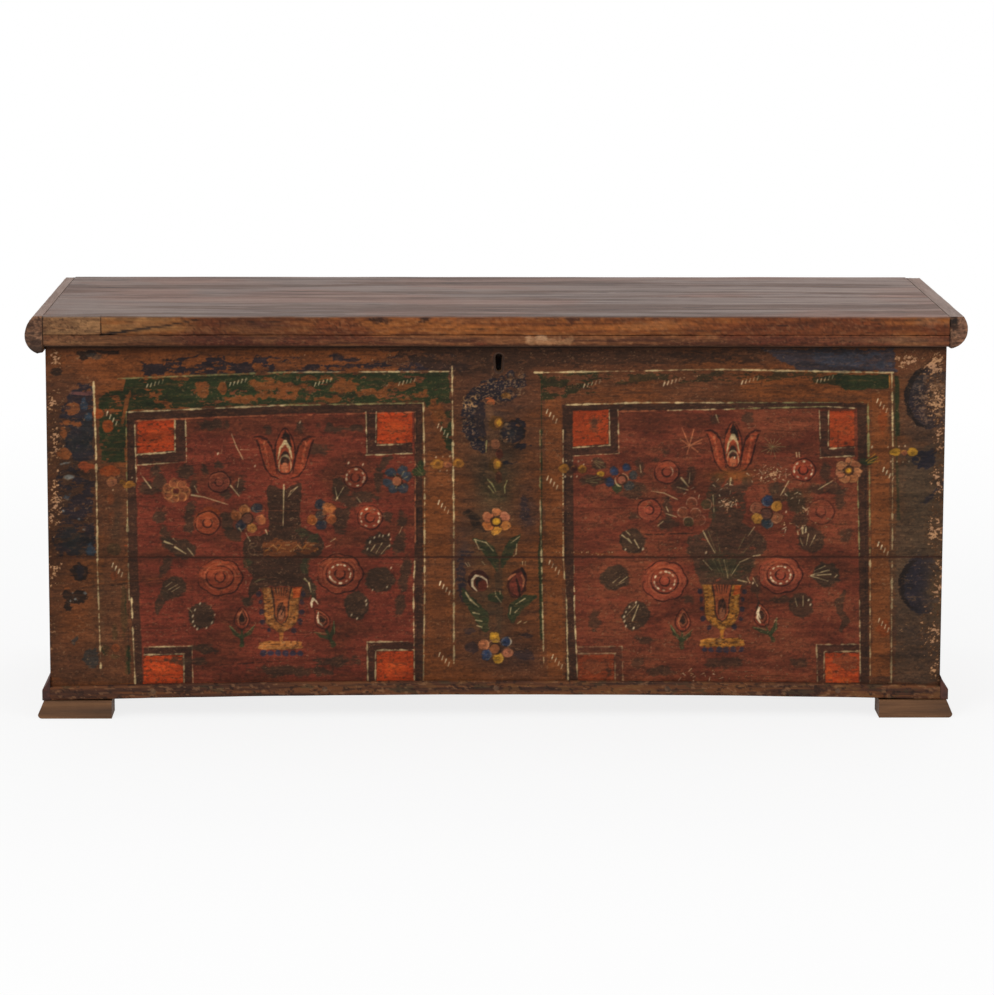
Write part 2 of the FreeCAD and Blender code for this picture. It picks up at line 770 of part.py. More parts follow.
def lay_staple():
    """The eye under the lid that the bolt slides through, with the plate that carries it."""
    eye_half_y = bolt_thickness / 2 + staple_slack
    eye_half_z = bolt_height / 2 + staple_slack
    x_high = staple_x + staple_thickness
    plate_z = rim_z - staple_plate_thickness
    drop = box(staple_x, x_high, bolt_y - eye_half_y - staple_rim, bolt_y + eye_half_y + staple_rim,
               bolt_z - eye_half_z - staple_rim, plate_z)
    eye = box(staple_x - overrun, x_high + overrun, bolt_y - eye_half_y, bolt_y + eye_half_y,
              bolt_z - eye_half_z, bolt_z + eye_half_z)
    middle_x = staple_x + staple_thickness / 2
    y_low = inside_front + staple_wall_gap
    plate = box(middle_x - staple_plate_width / 2, middle_x + staple_plate_width / 2,
                y_low, y_low + staple_plate_depth, plate_z, rim_z)
    length = staple_plate_thickness + lid_thickness * nail_bite_share
    for x in shares(middle_x - staple_plate_width / 2, middle_x + staple_plate_width / 2,
                    staple_nail_row_count):
        for y in shares(y_low, y_low + staple_plate_depth, staple_nail_row_count):
            fasten("staple_nails", "nail", V(x, y, plate_z), V(0, 0, 1), length,
                   "lock_staple", "lid_front_board")
    return {"lock_staple": plate.fuse(drop.cut(eye))}


def carcass_boards():
    solids = {
        "front_lower_board": long_board(body_front, body_foot, course_z, lower_tail_count, bow_z),
        "front_upper_board": long_board(body_front, course_z, rim_z, upper_tail_count),
        "back_lower_board": long_board(inside_back, body_foot, course_z, lower_tail_count),
        "back_upper_board": long_board(inside_back, course_z, rim_z, upper_tail_count),
    }
    for side, name in ((-1, "left"), (1, "right")):
        solids[f"{name}_side_lower_board"] = side_board(side, body_foot, course_z, lower_tail_count)
        solids[f"{name}_side_upper_board"] = side_board(side, course_z, rim_z, upper_tail_count)
    holes.setdefault("front_upper_board", []).extend(keyhole_room())
    return solids


pieces = carcass_boards()
lay_dowels()
pieces.update(lay_floor())
pieces.update(lay_plinth())
pieces.update(lay_feet())
pieces.update(lay_lid())
for hinge_side, hinge_name in ((-1, "left"), (1, "right")):
    pieces.update(lay_hinge(hinge_side * hinge_place, hinge_name))
pieces.update(lay_lock())
pieces.update(lay_staple())

for node, solid in pieces.items():
    save(node, cut_all(solid, holes.get(node, [])))
for group, solids in fixings.items():
    save(group, solids)
print(len(pieces) + len(fixings), "nodes; the lock's bolt travels", bolt_travel, "mm")
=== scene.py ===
import math

import bmesh
import bpy
import numpy as np
from mathutils import Matrix, Vector


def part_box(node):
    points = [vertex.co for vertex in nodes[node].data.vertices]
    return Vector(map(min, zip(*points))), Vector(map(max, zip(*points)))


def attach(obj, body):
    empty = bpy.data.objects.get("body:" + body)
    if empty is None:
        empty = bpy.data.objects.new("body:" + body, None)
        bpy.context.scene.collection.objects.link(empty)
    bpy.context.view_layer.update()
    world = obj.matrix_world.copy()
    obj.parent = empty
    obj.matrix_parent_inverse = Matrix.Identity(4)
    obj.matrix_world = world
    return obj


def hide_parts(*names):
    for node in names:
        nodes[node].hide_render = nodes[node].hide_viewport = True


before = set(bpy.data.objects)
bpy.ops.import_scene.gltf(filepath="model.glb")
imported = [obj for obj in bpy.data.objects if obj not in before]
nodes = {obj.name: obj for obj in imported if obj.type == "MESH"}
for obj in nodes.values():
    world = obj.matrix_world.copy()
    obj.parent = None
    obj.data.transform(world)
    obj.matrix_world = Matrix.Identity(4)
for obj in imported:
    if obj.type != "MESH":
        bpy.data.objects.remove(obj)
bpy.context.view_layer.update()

# Lengths in this script are millimetres, and one millimetre is this many of the scene's metres.
mm = 0.001


def box_of(node):
    """Lowest and highest corner of one piece, in millimetres."""
    low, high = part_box(node)
    return np.array(low) / mm, np.array(high) / mm


def points_of(node):
    """The corners of one piece's mesh, in millimetres."""
    return np.array([v.co for v in nodes[node].data.vertices]) / mm


# The trunk's main sizes, read from the frame.
upper_low, upper_high = box_of("front_upper_board")
lower_low, lower_high = box_of("front_lower_board")
lid_low, lid_high = box_of("lid_front_board")
lip_low = box_of("lid_lip")[0]
patch_high = box_of("lid_edge_patch")[1]
front_y = upper_low[1]
half_width = upper_high[0]
back_y = box_of("back_upper_board")[1][1]
rim_z = upper_high[2]
joint_z = lower_high[2]
foot_z = lower_low[2]

# The camera. It stands a little above the lid and looks down on the front.
camera_place = (-0.1042, -6.1549, 1.2879)
camera_down, camera_aside, camera_roll = 9.182, -1.0208, 0.147
camera_lens = 144.11
sensor_width = 36.0
picture_width, picture_height = 994, 995

# Sizes of the meshes' steps and of the paint film, in millimetres.
paint_step = 1.0
paint_proud = 1.0
paint_back = 0.6
joint_gap = 0.04
rim_ease = 0.5
lid_step, rear_step, edge_step = 2.6, 5.0, 1.4
cleat_step, strip_step = 2.0, 1.6

# How round the long edges of the lid's worn pieces and of the front strip are, and how far ends are eased.
board_round, nose_round = 1.2, 3.0
lip_rounds = (7.0, 0.8, 0.8, 0.8)
patch_rounds = (0.6, 0.6, 0.6, 3.0)
strip_rounds = (1.6, 0.5, 0.5, 1.4)
edge_end_round, cleat_end_round, strip_end_round = 0.6, 1.6, 0.4

# How far the edges of the pieces that keep the frame's mesh are eased.
hidden_ease, board_ease, ledger_ease, plinth_ease, foot_ease, iron_ease = 0.4, 0.6, 0.8, 1.0, 3.0, 0.3
same_corner = 0.00001

# How many dots of the sheets there are to one pixel of the photograph.
canvas_fineness = 2

# A painted line or touch spreads a little when it is seen, so it is drawn this much thinner.
line_share = 0.66
touch_share = 0.72

# How deep from its outer face a front board counts as its painted side, and the same for sides and back.
outer_skin = 9.0
side_skin = 1.0

# The light of the studio, and the part of the floor's shadow that shows near the object and far from it.
world_light = 0.62
shadow_share = 0.18
shadow_near, shadow_far = 1.6, 3.2
floor_reach = 9.0
floor_tone = 0.92

# The lamps: place, aim, size and power, in metres and watts.
lamps = {
    "key": ((-2.6, -4.2, 3.6), (0, 0, 0.3), (2.6, 2.0), 95),
    "fill": ((3.4, -3.6, 2.2), (0, 0, 0.3), (2.4, 2.0), 45),
    "rear": ((0.4, 3.6, 3.4), (0, 0, 0.4), (3.0, 1.6), 40),
}


def camera_matrix():
    """Where the camera stands and how it is turned."""
    turn = Matrix.Rotation(math.radians(camera_aside), 4, "Z")
    turn = turn @ Matrix.Rotation(math.radians(90 - camera_down), 4, "X")
    turn = turn @ Matrix.Rotation(math.radians(camera_roll), 4, "Z")
    return Matrix.Translation(camera_place) @ turn


def seen_pixels(x, y, z):
    """Where points, in millimetres, lie in the picture."""
    to_camera = np.array(camera_matrix().inverted())
    spots = np.stack([x * mm, y * mm, z * mm, np.ones(x.shape)])
    across, up, back, _ = to_camera @ spots
    reach = camera_lens / sensor_width * max(picture_width, picture_height)
    return picture_width / 2 - reach * across / back, picture_height / 2 + reach * up / back


def front_pixels(x, z):
    """Where points of the painted front lie in the picture."""
    return seen_pixels(x, np.full(x.shape, front_y - paint_proud / 2), z)


def seam_pixel(x):
    """The row of the joint between the two front boards, for pixels across."""
    px, py = front_pixels(np.array([-half_width, half_width]), np.full(2, joint_z))
    return np.interp(x, px, py)


def to_linear(colour):
    """Colour shares as seen on a screen, turned into light."""
    colour = np.clip(colour, 0, 1)
    return np.where(colour <= 0.04045, colour / 12.92, ((colour + 0.055) / 1.055) ** 2.4)


def tone(red, green, blue):
    """A colour named by the three numbers from 0 to 255 that a screen shows it with."""
    return np.array([red, green, blue]) / 255


def shader_tone(colour):
    """A colour for a shader's socket."""
    return (*[float(c) for c in to_linear(colour)], 1.0)


# The old paint's colours, and the shares of red, green and blue that its yellowed varnish lets through.
old_varnish = np.array([0.99, 0.92, 0.79])
ochre_ground = tone(114, 66, 36)
brown_ground = tone(88, 54, 37)
grey_ground = tone(74, 60, 48)
dark_brown = tone(60, 40, 30)
dark_purple = tone(62, 46, 46)
field_red = tone(101, 46, 36)
field_brown = tone(92, 50, 36)
square_red = tone(168, 62, 28)
red_line = tone(46, 23, 20)
field_tan = tone(104, 60, 43)
frame_dark = tone(54, 36, 30)
cream = tone(190, 176, 146)
sage = tone(132, 132, 96)
green = tone(34, 45, 27)
leaf_green = tone(46, 54, 36)
leaf_dark = tone(55, 43, 35)
navy = tone(36, 34, 48)
blue = tone(42, 58, 98)
slate = tone(50, 54, 60)
ochre = tone(172, 116, 50)
yellow = tone(206, 158, 52)
pink = tone(176, 112, 84)
rose_red = tone(122, 56, 41)
rose_light = tone(166, 100, 74)
tulip_fire = tone(120, 55, 37)
orange = tone(196, 92, 42)
white = tone(214, 202, 184)
black = tone(26, 20, 18)
bare_tan = tone(176, 142, 118)
bare_pink = tone(188, 152, 136)
bare_grey = tone(128, 104, 84)
faded_tan = tone(126, 76, 54)
old_brown = tone(104, 68, 44)


# Noise, the same each time for the same seed.
noise_cells = 256


def noise(u, v, seed):
    """Smooth noise from 0 to 1, with one cell per unit."""
    table = np.random.default_rng(seed).random((noise_cells, noise_cells))
    column, row = np.floor(u).astype(int), np.floor(v).astype(int)
    s, t = u - column, v - row
    s, t = s * s * (3 - 2 * s), t * t * (3 - 2 * t)
    left, right = column % noise_cells, (column + 1) % noise_cells
    near, far = row % noise_cells, (row + 1) % noise_cells
    low = table[near, left] * (1 - s) + table[near, right] * s
    high = table[far, left] * (1 - s) + table[far, right] * s
    return low * (1 - t) + high * t


def layers(u, v, seed, count=4, keep=0.55):
    """Noise in several sizes, each half as large as the last, spread over 0 to 1."""
    total, weight, strength = 0, 0, 1
    for k in range(count):
        total = total + strength * noise(u * 2 ** k + 17.3 * k, v * 2 ** k + 9.1 * k, seed + k)
        weight += strength
        strength *= keep
    return np.clip((total / weight - 0.5) * 1.7 + 0.5, 0, 1)


def ramp(value, low, high):
    """0 below low, 1 above high, and smooth between them."""
    t = np.clip((value - low) / (high - low), 0, 1)
    return t * t * (3 - 2 * t)


def mix(first, second, share):
    """Two colours mixed, point by point."""
    share = np.asarray(share)[..., None]
    return first * (1 - share) + second * share


# Distances from the edge of a shape, in pixels, and below zero inside it.
def oval(x, y, cx, cy, rx, ry, turn=0):
    c, s = math.cos(math.radians(turn)), math.sin(math.radians(turn))
    u, v = (x - cx) * c + (y - cy) * s, (y - cy) * c - (x - cx) * s
    return (np.hypot(u / rx, v / ry) - 1) * min(rx, ry)


def path_distance(x, y, points, widths):
    best = np.full(x.shape, 1e9)
    for (x0, y0), (x1, y1), w0, w1 in zip(points, points[1:], widths, widths[1:]):
        dx, dy = x1 - x0, y1 - y0
        t = np.clip(((x - x0) * dx + (y - y0) * dy) / (dx * dx + dy * dy + 1e-9), 0, 1)
        gap = np.hypot(x - x0 - t * dx, y - y0 - t * dy) - (w0 + (w1 - w0) * t) / 2
        best = np.minimum(best, gap)
    return best


def outline_distance(x, y, points):
    inside = np.zeros(x.shape, bool)
    best = np.full(x.shape, 1e9)
    for (x0, y0), (x1, y1) in zip(points, points[1:] + points[:1]):
        crosses = (y0 > y) != (y1 > y)
        inside ^= crosses & (x < (x1 - x0) * (y - y0) / (y1 - y0 + 1e-9) + x0)
        dx, dy = x1 - x0, y1 - y0
        t = np.clip(((x - x0) * dx + (y - y0) * dy) / (dx * dx + dy * dy + 1e-9), 0, 1)
        best = np.minimum(best, np.hypot(x - x0 - t * dx, y - y0 - t * dy))
    return np.where(inside, -best, best)


def arc_points(start, end, sag, count=8):
    """Points on a bent line from start to end, which bulges to its left by sag."""
    (x0, y0), (x1, y1) = start, end
    length = math.hypot(x1 - x0, y1 - y0) + 1e-9
    nx, ny = (y1 - y0) / length, -(x1 - x0) / length
    places = [k / (count - 1) for k in range(count)]
    return [(x0 + (x1 - x0) * t + 4 * sag * t * (1 - t) * nx,
             y0 + (y1 - y0) * t + 4 * sag * t * (1 - t) * ny) for t in places]


def curved(points, count=5):
    """A smooth closed outline through a few corners."""
    smooth_points = []
    total = len(points)
    for k in range(total):
        before, start, end, after = (np.array(points[(k + j) % total], float) for j in (-1, 0, 1, 2))
        for step in range(count):
            t = step / count
            spot = 0.5 * (2 * start + (end - before) * t + (2 * before - 5 * start + 4 * end - after) * t ** 2
                          + (3 * start - before - 3 * end + after) * t ** 3)
            smooth_points.append((float(spot[0]), float(spot[1])))
    return smooth_points


def turned(points, cx, cy, turn):
    """Points turned about the origin and then set at a place."""
    c, s = math.cos(math.radians(turn)), math.sin(math.radians(turn))
    return [(cx + x * c - y * s, cy + x * s + y * c) for x, y in points]


class Canvas:
    """A flat sheet of paint in the photograph's pixels, from which vertices take their colour."""

    def __init__(self, left, top, right, bottom, seed):
        self.left, self.top = left, top
        columns = int((right - left) * canvas_fineness)
        rows = int((bottom - top) * canvas_fineness)
        self.x, self.y = np.meshgrid(left + np.arange(columns) / canvas_fineness,
                                     top + np.arange(rows) / canvas_fineness)
        self.fade = 1.0
        self.colour = np.zeros((rows, columns, 3))
        self.height = np.zeros((rows, columns))
        self.worn = np.zeros((rows, columns))
        self.wobble = layers(self.x / 6, self.y / 6, seed, 3) - 0.5
        self.long = layers(self.x / 34, self.y / 1.9, seed + 10, 4)
        self.short = layers(self.x / 7, self.y / 1.5, seed + 20, 4)
        self.fleck = layers(self.x / 2.2, self.y / 1.3, seed + 30, 3)
        self.cloud = layers(self.x / 70, self.y / 30, seed + 40, 4)
        self.blotch = layers(self.x / 13, self.y / 6, seed + 50, 5)

    def view(self, x0, y0, x1, y1):
        """The part of the sheet that holds these pixels."""
        rows, columns = self.x.shape
        c0 = max(0, int((min(x0, x1) - self.left - 4) * canvas_fineness))
        c1 = min(columns, int((max(x0, x1) - self.left + 4) * canvas_fineness))
        r0 = max(0, int((min(y0, y1) - self.top - 4) * canvas_fineness))
        r1 = min(rows, int((max(y0, y1) - self.top + 4) * canvas_fineness))
        return slice(r0, r1), slice(c0, c1)

    def lay(self, at, distance, colour, cover=0.95, rough=1.0, soft=0.9, dry=0.25, lost=0.0, body=0.0):
        """One coat over a shape. Its edge wobbles, a dry brush leaves it open, and parts flaked off."""
        ragged = 1.6 * self.wobble[at] + 0.9 * (self.short[at] - 0.5)
        mask = np.clip(0.5 - (distance + rough * ragged) / soft, 0, 1) * cover * self.fade
        if dry:
            mask = mask * (1 - dry * ramp(0.5 * self.long[at] + 0.5 * self.short[at], 0.56, 0.72))
        if lost:
            flaked = self.blotch[at] + 0.35 * (self.short[at] - 0.5) + 0.2 * (self.fleck[at] - 0.5)
            mask = mask * (1 - ramp(flaked, 0.97 - lost, 1.03 - lost))
        self.wash(colour, mask, at)
        self.height[at] += body * mask

    def patch(self, points, colour, **coat):
        """A filled outline."""
        xs, ys = [p[0] for p in points], [p[1] for p in points]
        at = self.view(min(xs), min(ys), max(xs), max(ys))
        self.lay(at, outline_distance(self.x[at], self.y[at], points), colour, **coat)

    def blob(self, cx, cy, rx, ry, colour, turn=0, **coat):
        """A filled oval."""
        reach = max(rx, ry)
        at = self.view(cx - reach, cy - reach, cx + reach, cy + reach)
        self.lay(at, oval(self.x[at], self.y[at], cx, cy, rx, ry, turn), colour, **coat)

    def near(self, cx, cy, rx, ry):
        """The part of the sheet round a place, and a share that falls off softly from 1 there."""
        at = self.view(cx - 2 * rx, cy - 2 * ry, cx + 2 * rx, cy + 2 * ry)
        return at, np.exp(-((self.x[at] - cx) / rx) ** 2 - ((self.y[at] - cy) / ry) ** 2)

    def wash(self, colour, share, at=...):
        """Another colour mixed in, by a share for each place."""
        self.colour[at] = mix(self.colour[at], colour, share)

    def glow(self, cx, cy, rx, ry, colour, cover=0.5):
        """A soft cloud of colour with no edge."""
        at, near = self.near(cx, cy, rx, ry)
        self.wash(colour, np.clip(near * (0.55 + 0.9 * self.blotch[at]) * cover * self.fade, 0, 1), at)

    def stroke(self, points, widths, colour, **coat):
        """One pull of the brush along the points, with a width at each."""
        if len(widths) == 2:
            widths = np.linspace(widths[0], widths[1], len(points))
        xs, ys = [p[0] for p in points], [p[1] for p in points]
        reach = max(widths)
        at = self.view(min(xs) - reach, min(ys) - reach, max(xs) + reach, max(ys) + reach)
        self.lay(at, path_distance(self.x[at], self.y[at], points, widths), colour, **coat)

    def touches(self, lines, colour, **coat):
        """Many single strokes. Each is its two ends and its widths there."""
        for x0, y0, x1, y1, w0, w1 in lines:
            self.stroke([(x0, y0), (x1, y1)], (w0 * touch_share, w1 * touch_share), colour,
                        **{"rough": 0.25, "soft": 0.8, "dry": 0, **coat})

    def spots(self, places, colour, **coat):
        """Many ovals. Each is its centre and its two half widths, and its turn if it has one."""
        for place in places:
            cx, cy, rx, ry = place[:4]
            turn = place[4] if len(place) > 4 else 0
            self.blob(cx, cy, rx, ry, colour, turn=turn, **coat)

    def ring(self, cx, cy, r, width, colour, start=0, sweep=360, lobes=0, depth=0, flat=1, **coat):
        """A round line, all the way or part of it, with lobes if it is a petal edge."""
        reach = r * (1 + depth) + width
        at = self.view(cx - reach, cy - reach, cx + reach, cy + reach)
        dx, dy = self.x[at] - cx, (self.y[at] - cy) / flat
        angle = np.degrees(np.arctan2(dy, dx)) % 360
        wave = 1 + depth * np.abs(np.cos(np.radians(angle * lobes / 2))) if lobes else 1
        past = np.minimum((angle - start) % 360, sweep) / sweep
        thin = width * (1 if sweep >= 360 else np.sin(np.pi * past) ** 0.5)
        distance = np.abs(np.hypot(dx, dy) - r * wave) - thin / 2
        outside = (angle - start) % 360 > sweep
        self.lay(at, np.where(outside, 9, distance), colour, **{"rough": 0.4, "dry": 0.1, **coat})

    def rule(self, start, end, width, colour, gaps=0.5, sag=0.0, **coat):
        """A line drawn by hand, thick and thin, which has partly worn off."""
        points = arc_points(start, end, sag, 9)
        reach = width + abs(sag)
        at = self.view(min(start[0], end[0]) - reach, min(start[1], end[1]) - reach,
                       max(start[0], end[0]) + reach, max(start[1], end[1]) + reach)
        gap = path_distance(self.x[at], self.y[at], points, [width * line_share] * len(points))
        gap = gap + 0.8 * self.wobble[at] + gaps * 2.2 * ramp(self.blotch[at], 0.58, 0.85)
        gap = gap + gaps * 0.8 * ramp(self.fleck[at], 0.5, 0.9)
        self.lay(at, gap, colour, **{"rough": 0.3, "soft": 0.9, "dry": 0, **coat})

    def sample(self, values, px, py):
        """A sheet's values at any pixel place, evenly between its points."""
        rows, columns = self.x.shape
        u = np.clip((px - self.left) * canvas_fineness, 0, columns - 1.001)
        v = np.clip((py - self.top) * canvas_fineness, 0, rows - 1.001)
        c, r = u.astype(int), v.astype(int)
        s, t = u - c, v - r
        if values.ndim == 3:
            s, t = s[:, None], t[:, None]
        near = values[r, c] * (1 - s) + values[r, c + 1] * s
        far = values[r + 1, c] * (1 - s) + values[r + 1, c + 1] * s
        return near * (1 - t) + far * t


# The ways to lay paint, as the lists below name them.
patch, blob, spots, glow = Canvas.patch, Canvas.blob, Canvas.spots, Canvas.glow
stroke, touches, ring, rule = Canvas.stroke, Canvas.touches, Canvas.ring, Canvas.rule


def coat(cover, rough=None, lost=None, **more):
    """How a coat is laid: how well it covers, how ragged its edge is and how much has flaked off."""
    look = {"cover": cover, "rough": rough, "lost": lost, **more}
    return {name: value for name, value in look.items() if value is not None}


def draw(sheet, rows):
    """Draw each row in its order: a way to paint or a motif, its places and colours, and its look."""
    for paint, *values in rows:
        look = dict(values.pop()) if isinstance(values[-1], dict) else {}
        sheet.fade = look.pop("fade", 1.0)
        paint(sheet, *values, **look)
    sheet.fade = 1.0


# The decoration's motifs. Each is drawn at a place in the photograph's pixels.
fine = {"rough": 0.3, "soft": 0.8, "dry": 0, "body": 0.12}
big_rose = 16


def rose(sheet, cx, cy, r, dots=0, body=rose_red, lit=150, flat=0.93):
    """A round rose: a dull warm disc, a thin wavy dark edge, inner rings and a small heart."""
    big = r > big_rose
    wavy = {"lobes": 7 if big else 5, "depth": 0.09 if big else 0.06, "flat": flat}
    sheet.blob(cx, cy, r * 1.02, r * flat, body, cover=0.66, rough=1.7, soft=1.6, dry=0)
    sheet.glow(cx - 0.2 * r, cy - 0.5 * r, 0.6 * r, 0.3 * r, orange, 0.16)
    sheet.ring(cx, cy, r * 0.93, 1.7, red_line, lit + 60, 330, cover=0.92, **wavy)
    sheet.ring(cx, cy, r * 0.8, 0.9, rose_light, lit, 230, cover=0.42, **wavy)
    if big:
        sheet.ring(cx, cy, r * 0.7, 1.1, rose_light, lit - 80, 320, flat=flat, cover=0.62)
        sheet.ring(cx, cy, r * 0.6, 1.6, red_line, lit + 90, 335, flat=flat, cover=0.92)
    spread = r * (0.46 if big else 0.74)
    for k in range(dots):
        turn = 360 * (k + 0.3 * math.sin(5 * k)) / dots
        a = math.radians(turn)
        sheet.blob(cx + spread * math.cos(a), cy + flat * spread * math.sin(a), 0.9, 1.6, white, turn,
                   cover=0.75 + 0.25 * math.sin(2.3 * k + cx), **fine)
    if not dots:
        sheet.ring(cx, cy, r * 0.4, 1.0, rose_light, lit + 30, 250, flat=flat, cover=0.5)
    heart = r * (0.19 if big else 0.3)
    sheet.blob(cx, cy, heart, heart, body * 1.08, cover=0.8, rough=0.4)
    sheet.ring(cx, cy, heart + 0.7, 1.7, red_line, lit + 150, 300, cover=0.9)
    sheet.ring(cx, cy, heart * 0.5, 0.9, rose_light, lit, 180, cover=0.4)


def posy(sheet, cx, cy, petals, heart, r=4.6, ringed=True):
    """A flower of separate round petals. Each is its place from the centre and its colour."""
    for number, (dx, dy, colour) in enumerate(petals):
        x, y = cx + dx, cy + dy
        sheet.blob(x, y, r + 0.9, r + 0.6, dark_brown, cover=0.55, rough=1.2)
        sheet.blob(x, y, r + 0.2, r - 0.1, colour * 0.84, cover=0.88, rough=1.3, dry=0.2, body=0.06)
        sheet.glow(x - 1, y - 1, 0.5 * r, 0.45 * r, colour * 1.05, 0.6)
        if ringed:
            pale = mix(colour, cream, 0.4)
            sheet.ring(x, y, r - 0.6, 1.0, pale, (37 * dx + 60 * number) % 360, 170, cover=0.6)
            sheet.ring(x, y, 1.5, 1.1, colour * 0.45, 50 * number, 250, cover=0.6)
    sheet.blob(cx, cy, r, r * 0.95, heart * 0.85, cover=0.92, rough=0.9)
    sheet.ring(cx, cy, r * 1.05, 1.8, dark_brown * 0.8, 190, 290, cover=0.88)


def blue_flower(sheet, cx, cy, places):
    """A posy of blue petals, each with a pale stroke from the heart."""
    posy(sheet, cx, cy, [(dx, dy, tone(50, 62, 82)) for dx, dy in places], pink * 0.9, r=5, ringed=False)
    sheet.touches([(cx + 0.5 * dx + 2, cy + 0.5 * dy, cx + 0.9 * dx + 2, cy + 0.9 * dy, 0.8, 1.2)
                   for dx, dy in places], tone(140, 132, 96), cover=0.6)


def curled_flower(sheet, cx, cy):
    """A tan flower of seven curled petals."""
    for k in range(7):
        x, y = cx + 9 * math.cos(0.9 * k), cy + 7.5 * math.sin(0.9 * k)
        sheet.blob(x, y, 5.8, 4.8, tone(132, 80, 54), cover=0.75, rough=1.6)
        sheet.ring(x, y, 4.6, 1.2, tone(184, 126, 84), 200 + 40 * k, 190, cover=0.75)
        sheet.ring(x, y, 2.4, 0.9, dark_brown, 40 * k, 200, cover=0.6)
    sheet.ring(cx, cy, 4, 1.3, tone(196, 142, 84), cover=0.6)


def daisy(sheet, cx, cy, r, petals, heart, core):
    """A flower of joined petals, each with its own colour, with a dark ring round its heart."""
    for k, petal in enumerate(petals):
        a = math.radians(360 * k / len(petals) - 90)
        px, py = cx + 0.66 * r * math.cos(a), cy + 0.62 * r * math.sin(a)
        sheet.blob(px, py, 0.46 * r, 0.4 * r, dark_brown, cover=0.5, rough=1.6)
        sheet.blob(px, py, 0.4 * r, 0.34 * r, petal, cover=0.9, rough=1.6, dry=0.3, body=0.06)
        sheet.ring(px, py, 0.3 * r, 1.0, mix(petal, cream, 0.4), 60 * k - 190, 170, cover=0.55)
        sheet.ring(px, py, 0.42 * r, 1.0, dark_brown, 60 * k - 30, 200, cover=0.5)
    sheet.blob(cx, cy, 0.42 * r, 0.4 * r, dark_brown * 0.9, cover=0.9, rough=0.8)
    sheet.blob(cx, cy, 0.27 * r, 0.25 * r, heart, cover=0.9, rough=0.5)
    sheet.blob(cx, cy, 0.17 * r, 0.16 * r, core, cover=0.95, rough=0.3, dry=0)


def petal_lines(sheet, cx, cy, count):
    """Pale strokes from a daisy's heart."""
    sheet.touches([(cx + 5 * math.cos(k), cy + 5 * math.sin(k), cx + 11 * math.cos(k), cy + 10 * math.sin(k),
                    0.8, 1.0) for k in range(count)], tone(206, 160, 126), cover=0.55)


def worn_petal(sheet, cx, cy, colour):
    """One petal of a flower that has almost gone."""
    sheet.blob(cx, cy, 5.4, 5, colour, cover=0.66, rough=1.4)
    sheet.ring(cx, cy, 5.2, 1.2, bare_pink, cx * 7, 230, cover=0.55)
    sheet.ring(cx, cy, 2.2, 0.9, dark_brown, cx * 5, 230, cover=0.5)


def leaf(sheet, cx, cy, rx, ry, turn=0, veins=0, pale=cream):
    """A dark leaf, on which a few pale veins fan out."""
    sheet.blob(cx, cy, rx, ry, leaf_dark, turn, cover=0.9, rough=2.0, soft=1.6, dry=0)
    sheet.ring(cx, cy, min(rx, ry) * 0.9, 1.2, leaf_dark * 0.72, 20, 200, cover=0.5)
    for k in range(veins):
        spread = (k + 0.5) / veins - 0.5
        ends = [(-0.6 * rx, 0.5 * spread * ry), ((0.75 - abs(spread)) * rx, 1.7 * spread * ry)]
        (x0, y0), (x1, y1) = turned(ends, cx, cy, turn)
        sheet.touches([(x0, y0, x1, y1, 0.6, 1.4)], pale, cover=0.62)


# A bud's outline and its lit edge, and half outlines of the tulip and the urn, as shares of a half width and
# as pixels down.
bud_shape = ((0, -1.05), (0.6, -0.5), (0.95, 0.1), (0.75, 0.65), (0, 1.0), (-0.75, 0.65), (-0.95, 0.1),
             (-0.6, -0.5))
bud_edge = ((0.1, -1.05), (-0.55, -0.5), (-0.85, 0.15), (-0.5, 0.85))
bud_layers = ((1.0, red_line, 0.75), (0.84, rose_red, 0.92), (0.66, red_line, 0.7),
              (0.52, rose_light * 0.75, 0.75), (0.36, black, 0.8))
tulip_petal_top = ((1.0, 9), (0.8, 8.5), (0.6, 11.5), (0.45, 18), (0.36, 27), (0.31, 36), (0.26, 45))
tulip_petal_side = ((0.2, 50.5), (0.45, 48), (0.65, 40), (0.76, 29), (0.84, 19), (0.93, 12.5))
tulip_petal_shine = ((0.84, 12), (0.66, 18), (0.58, 29), (0.5, 42))
tulip_drop = ((0.17, 6), (0.3, 16), (0.33, 26), (0.27, 37), (0.14, 45))
tulip_core = ((0, 1), (0.14, 7), (0.24, 19), (0.1, 20), (0, 14), (-0.12, 10))
tulip_flame = ((0, 14), (0.15, 20), (0.23, 31))
urn_half = 20
urn_side = ((1.0, 0), (0.9, 7), (0.87, 17), (0.86, 28), (0.76, 35), (0.5, 40.5), (0.14, 44.5))
urn_bar = ((-1.08, 58), (-0.95, 54.5), (0, 53.6), (0.95, 53.8), (1.06, 57.5), (0.95, 61.4), (-0.95, 62))
urn_throat = ((0.5, 0), (0.41, 9), (0.35, 19), (0.34, 28), (0.22, 34), (0.0, 37))
urn_fire_corner = ((0.6, 0), (1, 0), (0.9, 9), (0.6, 10))
urn_dots = ((6.5, 1.12), (15, 1.03), (24.5, 1.0), (34, 0.93), (42.5, 0.62))


